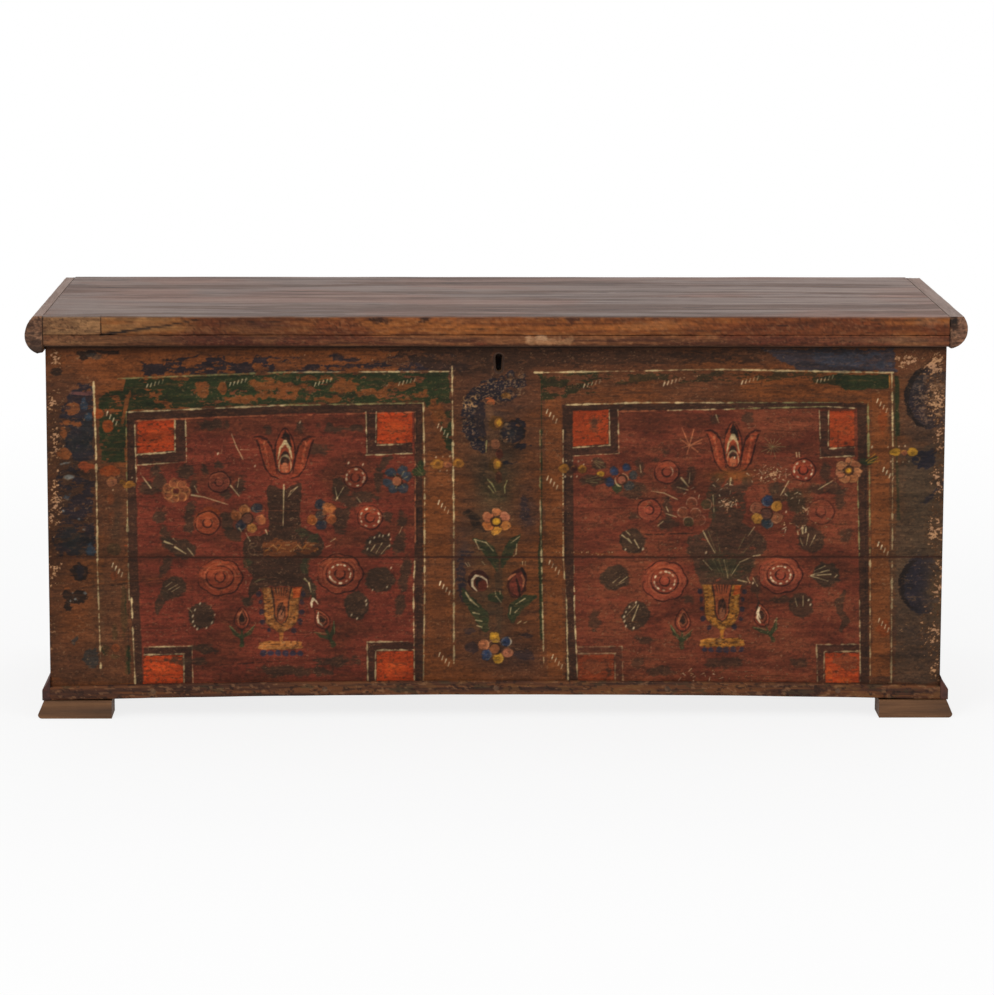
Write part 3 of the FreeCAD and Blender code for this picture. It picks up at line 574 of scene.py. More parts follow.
def bud(sheet, cx, cy, rx, ry, turn=0, foot=(0, 27), tips=((-12, 8), (13, 7)), pale=rose_light):
    """A pointed bud in a pair of leaves that meet at its foot."""
    base = (cx + foot[0], cy + foot[1])
    sheet.stroke([(cx + 0.4 * foot[0], cy + ry), base], (2.4, 4.6), leaf_green, cover=0.9, rough=0.9)
    knee = (cx + 0.75 * foot[0], cy + 0.72 * foot[1])
    for dx, dy in tips:
        tip = (cx + dx, cy + dy)
        sheet.stroke([knee, ((knee[0] + tip[0]) / 2 + 0.12 * dx, (knee[1] + tip[1]) / 2 + 1), tip],
                     (4.4, 3.8, 1.2), leaf_green, cover=0.9, rough=0.8)
        sheet.touches([(knee[0] + 0.35 * dx, knee[1] - 4, *tip, 0.6, 1.1)], sage, cover=0.7)
    for share, colour, cover in bud_layers:
        lens = [(x * rx * share, y * ry * share) for x, y in bud_shape]
        sheet.patch(curved(turned(lens, cx, cy, turn)), colour, cover=cover, rough=0.5)
    edge = turned([(x * rx * 0.62, y * ry * 0.66) for x, y in bud_edge], cx, cy, turn)
    sheet.stroke(edge, (0.8, 1.9, 2.2, 1.0), pale, cover=0.85, rough=0.3, dry=0)
    other = turned([(-x * rx * 0.86, y * ry * 0.9) for x, y in bud_edge], cx, cy, turn)
    sheet.stroke(other, (0.6, 1.0, 0.9, 0.5), rose_light, cover=0.6, rough=0.3)


def set_out(cx, top, half, shape, way=1):
    """A shape's shares of a half width and pixels down, as places."""
    return [(cx + way * half * share, top + down) for share, down in shape]


def mirrored(cx, top, half, side):
    """A closed outline from one half of it."""
    return set_out(cx, top, half, side) + set_out(cx, top, half, side[::-1], -1)


def tulip(sheet, cx, top, half, fire=rose_red):
    """A tulip of two side petals and a flaming drop with a dark core."""
    sheet.glow(cx, top + 30, half * 0.9, 24, fire, 0.3)
    for way in (-1, 1):
        upper, lower = (set_out(cx, top, half, shape, way) for shape in (tulip_petal_top, tulip_petal_side))
        sheet.patch(upper + lower, fire, cover=0.85, rough=0.7)
        sheet.stroke(lower[::-1], (1.8, 1.5, 1.4, 1.5, 1.5, 1.0), red_line, cover=0.95, rough=0.4)
        sheet.stroke(upper, (1.2, 2.6, 2.4, 1.8, 1.4, 1.2, 0.9), red_line, cover=0.95, rough=0.4)
        sheet.stroke(set_out(cx, top, half, tulip_petal_shine, way), (1.6, 2.2, 1.8, 0.8), fire * 1.22,
                     cover=0.8, rough=0.6)
        for k in range(5):
            sheet.blob(cx + way * half * (0.68 - 0.03 * k), top + 15 + 6 * k, 0.8, 1.8, rose_light, -12 * way,
                       cover=0.85 - 0.1 * k, rough=0.4, dry=0)
    drop = curved([(cx, top), *mirrored(cx, top, half, tulip_drop)], 3)
    sheet.patch(drop, fire * 1.08, cover=0.92, rough=0.4)
    sheet.patch(set_out(cx, top, half, tulip_core), black, cover=0.92, rough=0.6)
    sheet.stroke([*drop, (cx, top)], (1.5, 1.4), red_line, cover=0.92, rough=0.4)
    for way in (-1, 1):
        sheet.stroke(set_out(cx, top, half, tulip_flame, way), (4.6, 2.6, 1.0), cream, cover=0.88, rough=0.5,
                     body=0.12)
    sheet.blob(cx, top + 31, half * 0.15, 8, black * 1.3, cover=0.9, rough=0.4)
    sheet.ring(cx, top + 38, half * 0.2, 1.4, cream * 0.92, 150, 240, flat=1.7, cover=0.75)
    sheet.blob(cx, top + 39.5, half * 0.12, 5, rose_light * 0.95, cover=0.85, rough=0.3, dry=0)


def urn(sheet, cx, top, gold, fire):
    """A scratched ochre urn on a thin stem, with a dark-edged throat and blue dots round it."""
    half = urn_half
    bowl, bar = mirrored(cx, top, half, urn_side), curved(set_out(cx, top, half, urn_bar))
    sheet.patch(bowl, gold, cover=0.94, rough=0.8, dry=0.15, body=0.06)
    sheet.stroke([(cx, top + 43), (cx, top + 54)], (4.6, 3.6), gold * 0.9, cover=0.93, rough=0.6)
    sheet.patch(bar, gold * 1.04, cover=0.94, rough=0.8, dry=0.15, body=0.06)
    at = sheet.view(cx - half * 1.1, top, cx + half * 1.1, top + 64)
    x, y = sheet.x[at], sheet.y[at]
    inside = np.minimum(outline_distance(x, y, bowl), outline_distance(x, y, bar)) < 0
    scratched = layers(x / 3.2, y / 1.7, int(cx), 3)
    patches = layers(x / 7, y / 6, int(cx) + 7, 3)
    sheet.wash(gold * 0.72, 0.6 * ramp(patches, 0.4, 0.7) * inside, at)
    sheet.wash(dark_brown, 0.6 * ramp(scratched, 0.6, 0.78) * inside, at)
    sheet.wash(mix(gold, cream, 0.35), 0.55 * ramp(1 - scratched, 0.64, 0.8) * inside, at)
    sheet.stroke([*bowl, bowl[0]], (1.0, 1.0), dark_brown, cover=0.5, rough=0.5)
    sheet.patch(set_out(cx, top, half, urn_fire_corner), square_red * 1.05, cover=0.6, rough=1.2)
    sheet.patch(mirrored(cx, top, half, urn_throat), fire, cover=0.85, rough=0.6)
    for way in (-1, 1):
        sheet.stroke(set_out(cx, top, half, urn_throat, way), (1.7, 1.3), frame_dark, cover=0.92, rough=0.4)
    for k in range(-2, 3):
        sheet.touches([(cx + 3.0 * k, top + 0.5, cx + 2.0 * k, top + 8.5, 1.8, 0.7)], frame_dark, cover=0.9)
    sheet.blob(cx, top + 24, 4.6, 9.5, frame_dark, cover=0.85, rough=0.5)
    sheet.blob(cx, top + 28, 3.0, 5.5, pink * 0.85, cover=0.8, rough=0.5)
    sheet.touches([(cx - 2.6, top + 24, cx + 1.4, top + 15, 1.0, 1.6),
                   (cx, top + 27, cx + 3, top + 20, 1.0, 1.2)],
                  black, cover=0.85)
    for way in (-1, 1):
        for down, share in urn_dots:
            sheet.blob(cx + way * half * share, top + down, 2.3, 2.6, navy * 1.05, cover=0.85, rough=1.0)
    for k in range(6):
        sheet.blob(cx + half * (0.37 * k - 0.9), top + 65.2, 2.8, 2.8, mix(navy, blue, 0.45), cover=0.8,
                   rough=1.2)


def dashes(sheet, x, y, count=4, dx=3.1, dy=3.2, long=1.9):
    """A row of short white touches, each leaning to the left."""
    for k in range(count):
        cx, cy = x + dx * k, y + dy * k
        sheet.touches([(cx + 0.7, cy - long, cx - 0.5, cy + long, 1.7, 1.3)], white, cover=0.95 - 0.1 * k,
                      body=0.12)


def white_dots(sheet, places, width):
    """Small white dots with the brush's lean."""
    sheet.spots([(x, y, width, 1.3, 25) for x, y in places], white, cover=0.78, rough=0.3, dry=0, body=0.12)


def corners_of(left, top, right, foot):
    """The four corners of a box."""
    return [(left, top), (right, top), (right, foot), (left, foot)]


def corner_square(sheet, box, sides, band, slant):
    """An orange square, with a dark band on two sides that pale lines edge."""
    x0, y0, x1, y1 = box
    across, up = sides
    near_x, near_y = (x1 if across > 0 else x0), (y1 if up > 0 else y0)
    far_x, far_y = near_x + across * band, near_y + up * band
    left, right, top, foot = min(x0, far_x), max(x1, far_x), min(y0, far_y), max(y1, far_y)
    rise, fall = slant
    sheet.patch([(left, top), (right, top + rise), (right, foot + fall), (left, foot)], frame_dark,
                cover=0.92, rough=0.7, dry=0.15)
    sheet.patch([(x0, y0), (x1, y0 + rise), (x1, y1 + fall), (x0, y1)], square_red, cover=0.96, rough=0.7,
                dry=0.3)
    at = sheet.view(x0 + 4, y0 + 4, x1 - 4, y1 - 4)
    cracks = ramp(layers(sheet.x[at] / 3.6, sheet.y[at] / 2.2, int(x0), 3), 0.76, 0.84)
    sheet.wash(dark_brown, 0.6 * sheet.fade * cracks, at)
    sheet.glow((x0 + x1) / 2, (y0 + y1) / 2, 12, 8, orange, 0.3)
    line_y = near_y + up * 1.2
    lines = (((near_x + across * 0.8, y0 + rise), (near_x + across * 1.2, y1 + fall), 2.0),
             ((x0, line_y), (x1 + (1.5 if across > 0 else 0), line_y + (fall if up > 0 else rise)), 2.0),
             ((far_x, top + rise), (far_x + 1.0, foot + fall), 1.7),
             ((left, far_y), (right, far_y + fall), 1.7))
    for start, end, width in lines:
        sheet.rule(start, end, width, cream, gaps=0.35, cover=0.88, body=0.1)


def knot(sheet, beads, dots):
    """The small ochre buds that tie the border, with white dots above and below."""
    for cx, cy, rx, ry, colour in beads:
        sheet.blob(cx, cy, rx + 0.7, ry + 0.6, dark_brown, cover=0.5, rough=0.8)
        sheet.blob(cx, cy, rx, ry, colour * 0.82, cover=0.88, rough=0.9, dry=0.2, body=0.06)
        sheet.blob(cx + 0.5, cy + 0.4, rx * 0.35, ry * 0.35, colour * 0.5, cover=0.6, rough=0.4)
        sheet.ring(cx, cy, ry * 0.75, 0.9, yellow, 160, 160, cover=0.4)
    sheet.spots([(x, y, 0.7, 0.9, 20) for x, y in dots], white, cover=0.62, rough=0.3, dry=0, body=0.12)


def ochre_bud(sheet, cx, cy, rx, ry, colour):
    """A bead of ochre with a bright middle and a dark side."""
    sheet.blob(cx - 1.6, cy, rx + 2.2, ry + 1.6, ochre * 0.5, cover=0.75, rough=1.4)
    sheet.blob(cx, cy, rx * 0.86, ry * 0.9, colour * 0.9, cover=0.92, rough=1.0, body=0.06)
    sheet.blob(cx + 1.0, cy - 0.6, rx * 0.45, ry * 0.5, yellow * 1.04, cover=0.8, rough=0.6)
    sheet.ring(cx, cy, rx * 0.9, 1.1, dark_brown, 20, 200, flat=1.3, cover=0.7)


def red_bud(sheet, cx, cy, rx, ry):
    """A dull red bead with a lit side."""
    sheet.blob(cx, cy, rx, ry, rose_red * 0.62, cover=0.85, rough=0.6)
    sheet.ring(cx, cy, rx, 0.9, rose_light * 0.8, 120, 200, flat=1.4, cover=0.5)


def zigzag(sheet, x, y, count):
    """Pale ochre touches that go up and down over the urn's mouth."""
    for k in range(count):
        sheet.touches([(x + 4.1 * k, y - 3 * (k % 3), x + 4 + 4.1 * k, y - 2 - 4 * (k % 2), 0.8, 1.2)],
                      mix(ochre, cream, 0.3 * (k % 3)), cover=0.6)


def small_rings(sheet, cx, cy, count):
    """Little grey rings crowded round a place."""
    for k in range(count):
        sheet.ring(cx + 7 * math.cos(2.4 * k), cy + 6 * math.sin(1.9 * k), 1.6, 0.6, bare_grey, 50 * k, 180,
                   cover=0.5)


def star(sheet, cx, cy, rays):
    """Pink strokes from one place."""
    sheet.touches([(cx, cy, cx + dx, cy + dy, 1.8, 1.2) for dx, dy in rays], pink, cover=0.85)


def starburst(sheet, cx, cy, count):
    """Thin pale rays all round, every third one longer."""
    for k in range(count):
        a = 2 * math.pi * k / count
        far = 9 + 3.5 * (k % 3 == 0)
        sheet.touches([(cx, cy, cx + far * math.cos(a), cy + 0.9 * far * math.sin(a), 0.9, 0.7)], sage * 1.2,
                      cover=0.6)


def specks(sheet, outline):
    """Bare specks inside an outline."""
    found = ramp(layers(sheet.x / 1.7, sheet.y / 1.2, 460, 2), 0.72, 0.84)
    inside = np.clip(0.5 - outline_distance(sheet.x, sheet.y, outline) / 4, 0, 1)
    sheet.wash(bare_grey * 1.05, 0.6 * found * inside)


def scroll_crumbs(sheet, count):
    """Bare crumbs in the dark flower and at both ends of the scroll."""
    for k in range(count):
        a = 2.4 * k
        sheet.blob(508 + 9 * math.cos(a) * math.sin(1.3 * k), 433 + 9 * math.sin(a), 1.0, 1.5, bare_grey,
                   40 * k, cover=0.45, rough=0.6)
        sheet.blob(470 + 6 * math.cos(1.7 * k), 398 + 1.9 * k, 1.0, 1.4, bare_grey * 1.05, 25 * k, cover=0.4,
                   rough=0.6)
        sheet.blob(516 + 8 * math.cos(1.1 * k), 385 + 10 * math.sin(1.9 * k), 0.9, 1.1, bare_grey * 1.2,
                   cover=0.4, rough=0.6)


def curls(sheet, places):
    """Small pale curls. Each is its place and its turn."""
    for cx, cy, turn in places:
        sheet.ring(cx, cy, 2.6, 1.1, tone(178, 142, 104), turn * 3, 200, cover=0.7)


# Soft clouds of tone in the ground: centre, half widths, colour and strength.
ground_clouds = (
    (924, 480, 26, 80, grey_ground, 1.2), (922, 590, 30, 70, grey_ground, 1.1),
    (920, 640, 30, 50, dark_purple, 0.8), (925, 440, 26, 30, dark_purple, 0.5),
    (78, 500, 24, 60, dark_brown, 0.9), (495, 415, 34, 40, dark_purple, 0.75),
    (495, 470, 24, 40, grey_ground * 0.9, 0.9), (528, 512, 9, 26, dark_purple, 0.8),
    (463, 560, 12, 44, dark_purple, 0.8), (510, 665, 34, 24, dark_purple, 0.7),
    (490, 610, 26, 30, grey_ground * 0.85, 0.6), (470, 365, 40, 10, dark_purple, 0.7),
    (70, 450, 20, 50, dark_brown, 0.5), (505, 640, 46, 40, dark_brown, 0.35),
    (480, 440, 40, 50, dark_brown, 0.45), (500, 362, 60, 14, dark_brown, 1.0),
    (490, 540, 22, 90, grey_ground, 0.55), (640, 356, 150, 8, dark_brown, 0.8),
    (300, 690, 260, 6, dark_brown, 0.5), (700, 690, 260, 6, dark_brown, 0.6),
    (120, 365, 60, 14, ochre_ground * 1.04, 1.0), (75, 620, 30, 34, ochre_ground * 0.92, 0.7),
    (70, 670, 60, 26, dark_brown, 0.55), (52, 560, 12, 150, dark_brown, 0.5),
    (110, 640, 26, 40, dark_brown, 0.4), (940, 560, 14, 150, dark_brown, 0.4),
    (555, 640, 20, 40, ochre_ground * 0.9, 0.6), (110, 600, 16, 60, grey_ground * 1.1, 0.45),
    (440, 480, 12, 60, ochre_ground, 0.5), (480, 675, 60, 10, ochre_ground * 0.9, 0.5),
)


def paint_ground(sheet):
    """The brown ground, warmer on the left and greyer on the right, over bare boards."""
    sheet.wash(mix(ochre_ground, brown_ground, ramp(sheet.cloud, 0.2, 0.8)), 1.0)
    sheet.wash(dark_brown, 0.5 * ramp(sheet.long, 0.5, 0.85))
    for cloud in ground_clouds:
        sheet.glow(*cloud)


def rim_gap(sheet, left, right, top, foot):
    """A strip where the rim's dark paint is lost."""
    sheet.patch([(left, top), (right, top), (right - 6, foot), (left + 4, foot)], ochre_ground * 1.1,
                cover=0.85, rough=2.2, lost=0.3)


# The strip under the rim: dark blue and brown remains, and bright blue at the right.
rim_coats = (
    (patch, [(142, 358), (470, 354), (470, 371), (300, 373), (142, 375)], navy * 0.9,
     coat(0.85, 2.6, 0.42)),
    (patch, [(380, 349), (492, 349), (490, 372), (440, 374)], dark_brown * 0.8, coat(0.75, 2.4, 0.3)),
    (patch, [(505, 350), (775, 349), (775, 362), (505, 368)], dark_brown * 0.85, coat(0.7, 2, 0.35)),
    (patch, [(762, 349), (893, 349), (897, 371), (800, 371)], tone(50, 48, 62), coat(0.93, 2.2)),
    (patch, [(806, 353), (890, 352), (893, 368), (820, 366)], tone(60, 70, 96), coat(0.5, 2.6, 0.3)),
    (spots, ((88, 353.5, 9, 3), (84, 358, 4, 3), (101, 352, 14, 1.5), (57, 372, 6, 4)), black,
     coat(0.8, 1.8)),
    (blob, 95, 356, 7, 2.5, slate, coat(0.5, 1.5)),
    (rim_gap, 270, 330, 353, 357),
    (rim_gap, 340, 398, 352, 358),
    (rim_gap, 300, 372, 361, 364),
    (rim_gap, 330, 400, 368, 371),
)


def scratches(sheet, cx, cy, rx, ry):
    """Fine pale and dark scratches over an oval."""
    marks = layers(sheet.x / 2.2, sheet.y / 1.6, 470, 3)
    share = np.exp(-((sheet.x - cx) / rx) ** 2 - ((sheet.y - cy) / ry) ** 2)
    sheet.wash(bare_tan * 0.9, 0.7 * ramp(marks, 0.64, 0.76) * share)
    sheet.wash(black, 0.5 * ramp(1 - marks, 0.6, 0.74) * share)


# Dark blue half ovals and patches at both sides.
edge_coats = (
    (patch, [(896, 470), (946, 430), (944, 684), (895, 684)], tone(72, 60, 52), coat(0.6, 3)),
    (glow, 60, 480, 20, 110, tone(52, 40, 36), 0.4),
    (spots, ((931, 398, 26, 31), (924, 460, 12, 9, 20), (922, 585, 22, 29)), navy * 0.9,
     coat(0.9, 1.6, 0.1, dry=0.1)),
    (glow, 938, 396, 15, 24, tone(98, 74, 60), 0.85),
    (glow, 918, 384, 8, 12, slate, 0.35),
    (glow, 940, 588, 16, 34, grey_ground, 1.0),
    (glow, 917, 577, 6, 20, navy, 0.6),
    (scratches, 932, 398, 20, 26),
    (stroke, [(918, 468), (925, 458), (933, 451)], (5, 8, 4), navy * 0.9, coat(0.85, 2)),
    (stroke, [(923, 505), (932, 495), (942, 484)], (4, 6, 4), navy, coat(0.7, 2.4)),
    (ring, 931, 398, 24, 5, black, coat(0.75, 1.5, start=100, sweep=160, flat=1.25)),
    (ring, 921, 585, 20, 5, black, coat(0.75, 1.5, start=100, sweep=160, flat=1.25)),
    (patch, [(78, 384), (87, 385), (93, 388), (94, 460), (77, 461), (65, 449), (63, 438), (69, 429),
     (60, 423), (63, 410), (64, 403), (73, 391)], navy * 0.9, coat(0.88, 2.8, 0.14)),
    (patch, [(57, 474), (70, 466), (93, 470), (95, 556), (84, 557), (58, 554), (52, 540), (60, 520),
     (58, 500)], navy * 0.84, coat(0.8, 3.2, 0.36)),
    (glow, 79, 443, 16, 18, slate * 0.7, 0.7),
    (spots, ((87, 428, 6, 18), (80, 545, 12, 10)), slate * 0.62, coat(0.55, 3)),
    (spots, ((84, 405, 4, 6), (88, 417, 4, 5), (91, 550, 4, 6), (68, 497, 4, 3)), tone(48, 66, 92),
     coat(0.7, 2.4)),
    (spots, ((79.7, 572.5, 9, 9), (75, 597, 12, 7), (69, 607, 4, 4)), black * 1.15, coat(0.9, 2.4)),
    (blob, 80, 572, 4, 6, navy, coat(0.6, 2)),
    (spots, ((92, 657, 8, 9), (74, 641, 4, 3)), slate * 0.86, coat(0.75, 2.6)),
    (spots, ((72, 408.5, 7.6, 7.6, -10), (66, 422, 5, 2.6), (75, 423.8, 9, 2.6, 5), (64, 433.8, 4, 5.5),
     (64, 454, 7.5, 5)), ochre_ground * 1.08, coat(0.85, 2.2)),
    (blob, 86, 466, 8, 4.6, tone(140, 66, 38), coat(0.85, 2.2)),
    (blob, 82, 393, 9, 1.8, tone(116, 76, 78), coat(0.75, 1.4)),
    (blob, 69, 477.5, 5, 2.2, bare_grey, coat(0.5, 1.4)),
    (blob, 70, 537, 9, 11, slate * 0.82, coat(0.45, 3)),
    (spots, ((67.5, 408, 3.5, 2.4), (79, 446, 3, 1.2)), navy, coat(0.8)),
    (spots, ((61.5, 464.5, 1.6, 1.0), (66, 463, 4, 0.8, -12), (70, 477, 5, 2.2), (72.6, 593, 1.3, 1.2),
     (85, 593, 1.4, 1.0), (75.4, 599, 1.3, 1), (70.5, 601, 1, 1), (63, 511, 1.8, 1.5),
     (83.5, 529.5, 1.6, 1.2), (79, 519, 1, 1)), slate * 2.2, coat(0.8, 0.7)),
)


# The green and brown border bands round the two red panels.
band_coats = (
    (patch, [(99, 397), (109, 391), (123, 391), (126, 379), (200, 376), (285, 373.5), (448, 372.5),
     (450, 394), (452, 450), (446, 449), (440, 420), (424, 402), (285, 404), (150, 409), (127, 411),
     (125, 462), (103, 463), (99, 440)], green, coat(0.94, 1.6, 0.2, dry=0.35)),
    (spots, ((203, 390, 8, 8), (223, 388, 5, 5), (268, 385, 16, 6), (279, 396, 20, 3), (292, 387, 22, 4),
     (345, 387, 14, 7), (372, 393, 18, 4), (398, 386, 14, 4), (420, 395, 9, 4), (180, 379, 8, 2),
     (317, 379, 12, 2), (155, 394, 5, 3), (240, 399, 14, 2.4), (330, 399, 20, 2), (438, 412, 8, 10),
     (437, 398, 5, 3), (408, 399, 9, 2)), ochre_ground * 0.95, coat(0.88, 3.2, dry=0.1)),
    (stroke, [(130.5, 391), (127, 400), (122, 423)], (1.2, 4.2, 3.2), ochre_ground * 1.05, coat(0.92, 0.8)),
    (spots, ((97.8, 413.8, 5.5, 5), (107.8, 426, 5.5, 6.5), (110, 471, 10, 6), (111, 499, 4, 5.5),
     (114, 575.7, 3.5, 4), (116, 648, 4, 4), (112, 518, 3, 8)), orange * 0.7, coat(0.9, 0.8)),
    (spots, ((114, 548.6, 7, 6), (114.7, 630.7, 2.6, 8), (105.4, 650.7, 3.6, 6.5), (114, 656.4, 5.5, 2.2),
     (124, 610, 3, 26), (128, 660, 3, 14)), green, coat(0.82, 1.2)),
    (touches, ((125, 545.5, 134, 546, 1.6, 1.2),), square_red, coat(0.6)),
    (patch, [(832, 374.5), (889, 374.5), (889, 389), (846, 390), (838, 384)], green, coat(0.95, 1.2)),
    (patch, [(806, 376), (834, 375.5), (836, 384), (812, 384)], green, coat(0.75, 1.6, 0.25)),
    (patch, [(540, 376), (600, 373), (600, 392), (560, 396), (545, 402)], green * 0.85,
     coat(0.75, 3, 0.42)),
    (patch, [(590, 374), (830, 371), (830, 379), (600, 383)], green * 0.8, coat(0.55, 2.4, 0.5)),
    (patch, [(895, 376), (899, 376), (899.5, 436), (896, 436)], green, coat(0.85, 0.8)),
    (patch, [(893, 386), (896, 386), (900, 520), (897, 520)], green, coat(0.45, 0.8)),
    (patch, [(536.6, 374), (541, 374), (541, 500), (538, 560), (540, 640), (543, 640), (542.5, 560),
     (542, 374)], green, coat(0.9, 0.7)),
    (patch, [(871.5, 392), (889, 391), (890, 676), (872, 676)], ochre_ground * 1.04, coat(0.7, 1.2)),
    (patch, [(545, 400), (561, 400), (563, 676), (547, 676)], ochre_ground, coat(0.6, 1.2)),
    (patch, [(428, 452), (450, 452), (451, 676), (428, 676)], ochre_ground, coat(0.5, 1.2)),
    (patch, [(103, 476), (124, 476), (127, 676), (104, 676)], brown_ground, coat(0.6, 2)),
    (glow, 117, 520, 8, 30, leaf_dark, 0.6),
    (glow, 439, 620, 9, 40, brown_ground * 0.8, 0.5),
    (spots, ((884, 628, 7, 8), (883, 420, 5, 14)), orange * 0.62, coat(0.6, 2)),
)


left_outer = [(127, 411), (285, 404.5), (422, 402.5), (423, 684), (135, 687), (128, 560)]
left_inner = [(135, 420.5), (235, 416), (290, 413.5), (414.5, 412), (414.5, 683), (143, 686), (138, 560)]
right_outer = [(562, 404.8), (730, 402), (867, 402.5), (869.5, 684), (567, 684)]
right_inner = [(573, 411.5), (730, 409.3), (857, 408.5), (860, 683), (578, 683), (574, 590)]

panel_view = (128, 405, 868, 688)
frame_shadows = (422, 127.6, 865, 565, 416.6)

# Pale lines: start, end, width, colour and how much of it is lost.
panel_lines = (
    ((126.5, 412), (285, 405.3), 1.9, cream, 0.2), ((285, 405.3), (422.5, 403), 1.7, sage, 0.3),
    ((134.5, 421), (235, 416.4), 1.9, rose_light, 0.3), ((235, 416.4), (415, 412.2), 1.6, rose_light, 0.5),
    ((126, 412), (127.4, 540), 1.2, sage, 0.4), ((127.4, 500), (129, 600), 1.5, cream, 0.6),
    ((131.5, 598), (135.2, 684), 1.8, cream, 0.3), ((134.6, 421), (136.4, 482), 1.4, cream, 0.3),
    ((415.3, 412), (415.2, 556), 1.3, rose_light, 0.35), ((415.2, 556), (413.4, 590), 2.6, cream, 0.3),
    ((413.4, 590), (414.4, 680), 1.7, cream, 0.4), ((423.2, 403), (424.5, 466), 2.2, cream, 0.15),
    ((424.6, 478), (424.6, 590), 2.2, cream, 0.3), ((424.6, 590), (423.2, 684), 1.7, cream, 0.45),
    ((566, 404.9), (648, 402.6), 2.0, cream, 0.15), ((648, 402.6), (730, 402.8), 1.7, cream, 0.2),
    ((730, 402.8), (866, 402.4), 1.4, sage, 0.5), ((618, 411.5), (668, 410.4), 1.8, rose_light, 0.3),
    ((668, 410.4), (730, 409.2), 1.6, cream, 0.25), ((730, 409), (828, 406.4), 1.5, sage, 0.4),
    ((828, 406.6), (858, 408.4), 1.7, cream, 0.2), ((563, 430), (563.2, 560), 1.2, cream, 0.6),
    ((563.4, 560), (566.3, 600), 1.5, cream, 0.35), ((566.3, 600), (568, 682), 2.2, cream, 0.25),
    ((574, 560), (574.4, 610), 1.4, cream, 0.5), ((574.4, 610), (577.6, 681), 1.8, cream, 0.3),
    ((868, 402), (868.6, 456), 4.0, sage * 0.95, 0.25), ((869.4, 466), (870, 560), 1.5, sage, 0.5),
    ((870, 560), (870.2, 681), 2.0, cream, 0.3), ((857.6, 480), (859.4, 560), 1.7, sage, 0.5),
    ((859.6, 600), (860.3, 681), 1.4, cream, 0.4),
)
border_lines = (
    ((93.6, 382), (96, 450), 3.0, cream * 1.06, 0.12), ((96, 450), (97.6, 560), 2.6, cream, 0.32),
    ((97.2, 560), (100.8, 668), 2.1, cream, 0.45), ((118, 378.6), (285, 372.2), 2.1, sage, 0.15),
    ((285, 372.2), (449, 371.4), 1.6, cream, 0.4), ((452, 366), (453.8, 520), 2.5, cream, 0.3),
    ((453.8, 520), (453.9, 664), 2.3, cream * 0.9, 0.45), ((534.5, 372.6), (720, 369.4), 1.7, cream, 0.25),
    ((720, 369.4), (893, 372.8), 2.1, cream, 0.15), ((540, 430), (540, 500), 1.2, sage, 0.5),
    ((540.2, 500), (543.8, 664), 2.3, cream * 0.92, 0.45), ((891.8, 373), (892.8, 446), 2.2, cream, 0.2),
    ((892.8, 456), (891.2, 683), 2.1, cream * 0.86, 0.5), ((889.4, 376), (889.8, 392), 1.8, ochre, 0.2),
)


def paint_fields(sheet):
    """The red fields in their dark frames, browner low down and tan at the right."""
    for outer, inner in ((left_outer, left_inner), (right_outer, right_inner)):
        sheet.patch(outer, frame_dark, cover=0.94, rough=0.7, dry=0.2)
        sheet.patch(inner, field_red, cover=0.97, rough=0.7, dry=0)
    at = sheet.view(*panel_view)
    x, y = sheet.x[at], sheet.y[at]
    inside = np.minimum(outline_distance(x, y, left_inner), outline_distance(x, y, right_inner)) < 0
    cloud, blotch = sheet.cloud[at], sheet.blotch[at]
    for colour, share in ((field_tan, 0.7 * ramp(x, 540, 600) * ramp(cloud, 0.2, 0.8)),
                          (field_red * 1.1, 0.3 * ramp(blotch, 0.5, 0.8)),
                          (field_brown, 0.7 * ramp(1 - cloud, 0.45, 0.85)),
                          (field_brown * 0.86, 0.16 * ramp(sheet.long[at], 0.5, 0.8)),
                          (field_brown * 0.8, 0.45 * ramp(y, 625, 688) * ramp(blotch, 0.4, 0.65))):
        sheet.wash(colour, share * inside, at)


# The corner squares, what is left of the worn ones, and stains on them.
corner_coats = (
    (corner_square, (137.5, 420.5, 174, 453.5), (1, 1), 11.5, (-1.5, -3)),
    (corner_square, (377, 412.6, 412.5, 444), (-1, 1), 11, (-0.5, -1.5)),
    (corner_square, (143.5, 656, 183, 684), (1, -1), 9, (-1, -1)),
    (corner_square, (376.5, 651.5, 413.5, 681), (-1, -1), 9.5, (-0.7, -0.7), dict(fade=0.95)),
    (corner_square, (573, 411, 608.5, 446.5), (1, 1), 9.5, (-1, -2.5)),
    (corner_square, (829.5, 411, 854.5, 447.5), (-1, 1), 10, (-0.5, -1.5), dict(fade=0.95)),
    (corner_square, (578, 655, 614, 681), (1, -1), 8, (-0.6, -0.6), dict(fade=0.55)),
    (corner_square, (825, 653, 859, 683), (-1, -1), 8.5, (-0.5, -0.5), dict(fade=0.8)),
    (spots, ((846, 662, 11, 8), (594, 667, 12, 7), (594, 422, 5, 8)), field_tan * 0.95, coat(0.7, 3)),
    (patch, corners_of(573, 411, 609, 445), field_tan, coat(0.16, 1.5)),
    (patch, corners_of(829, 411, 855, 447), field_tan, coat(0.24, 1.5)),
    (patch, corners_of(578, 655, 614, 681), field_tan, coat(0.28, 1.5)),
    (spots, ((594, 422, 3, 5), (637, 663, 7, 5), (609, 672, 3, 4)), leaf_dark, coat(0.6, 2)),
    (spots, ((829, 673, 4, 6), (846, 681, 8, 3)), orange * 0.9, coat(0.6, 1.5)),
)


def paint_lines(sheet):
    """The pale lines round the panels and borders, and the shadow lines beside the frames."""
    for start, end, width, colour, gaps in (*panel_lines, *border_lines):
        sheet.rule(start, end, width, colour, gaps=gaps, cover=0.9, body=0.1)
    for x in frame_shadows:
        sheet.rule((x, 410), (x + 1.2, 683), 1.4, black, gaps=0.5, cover=0.45)


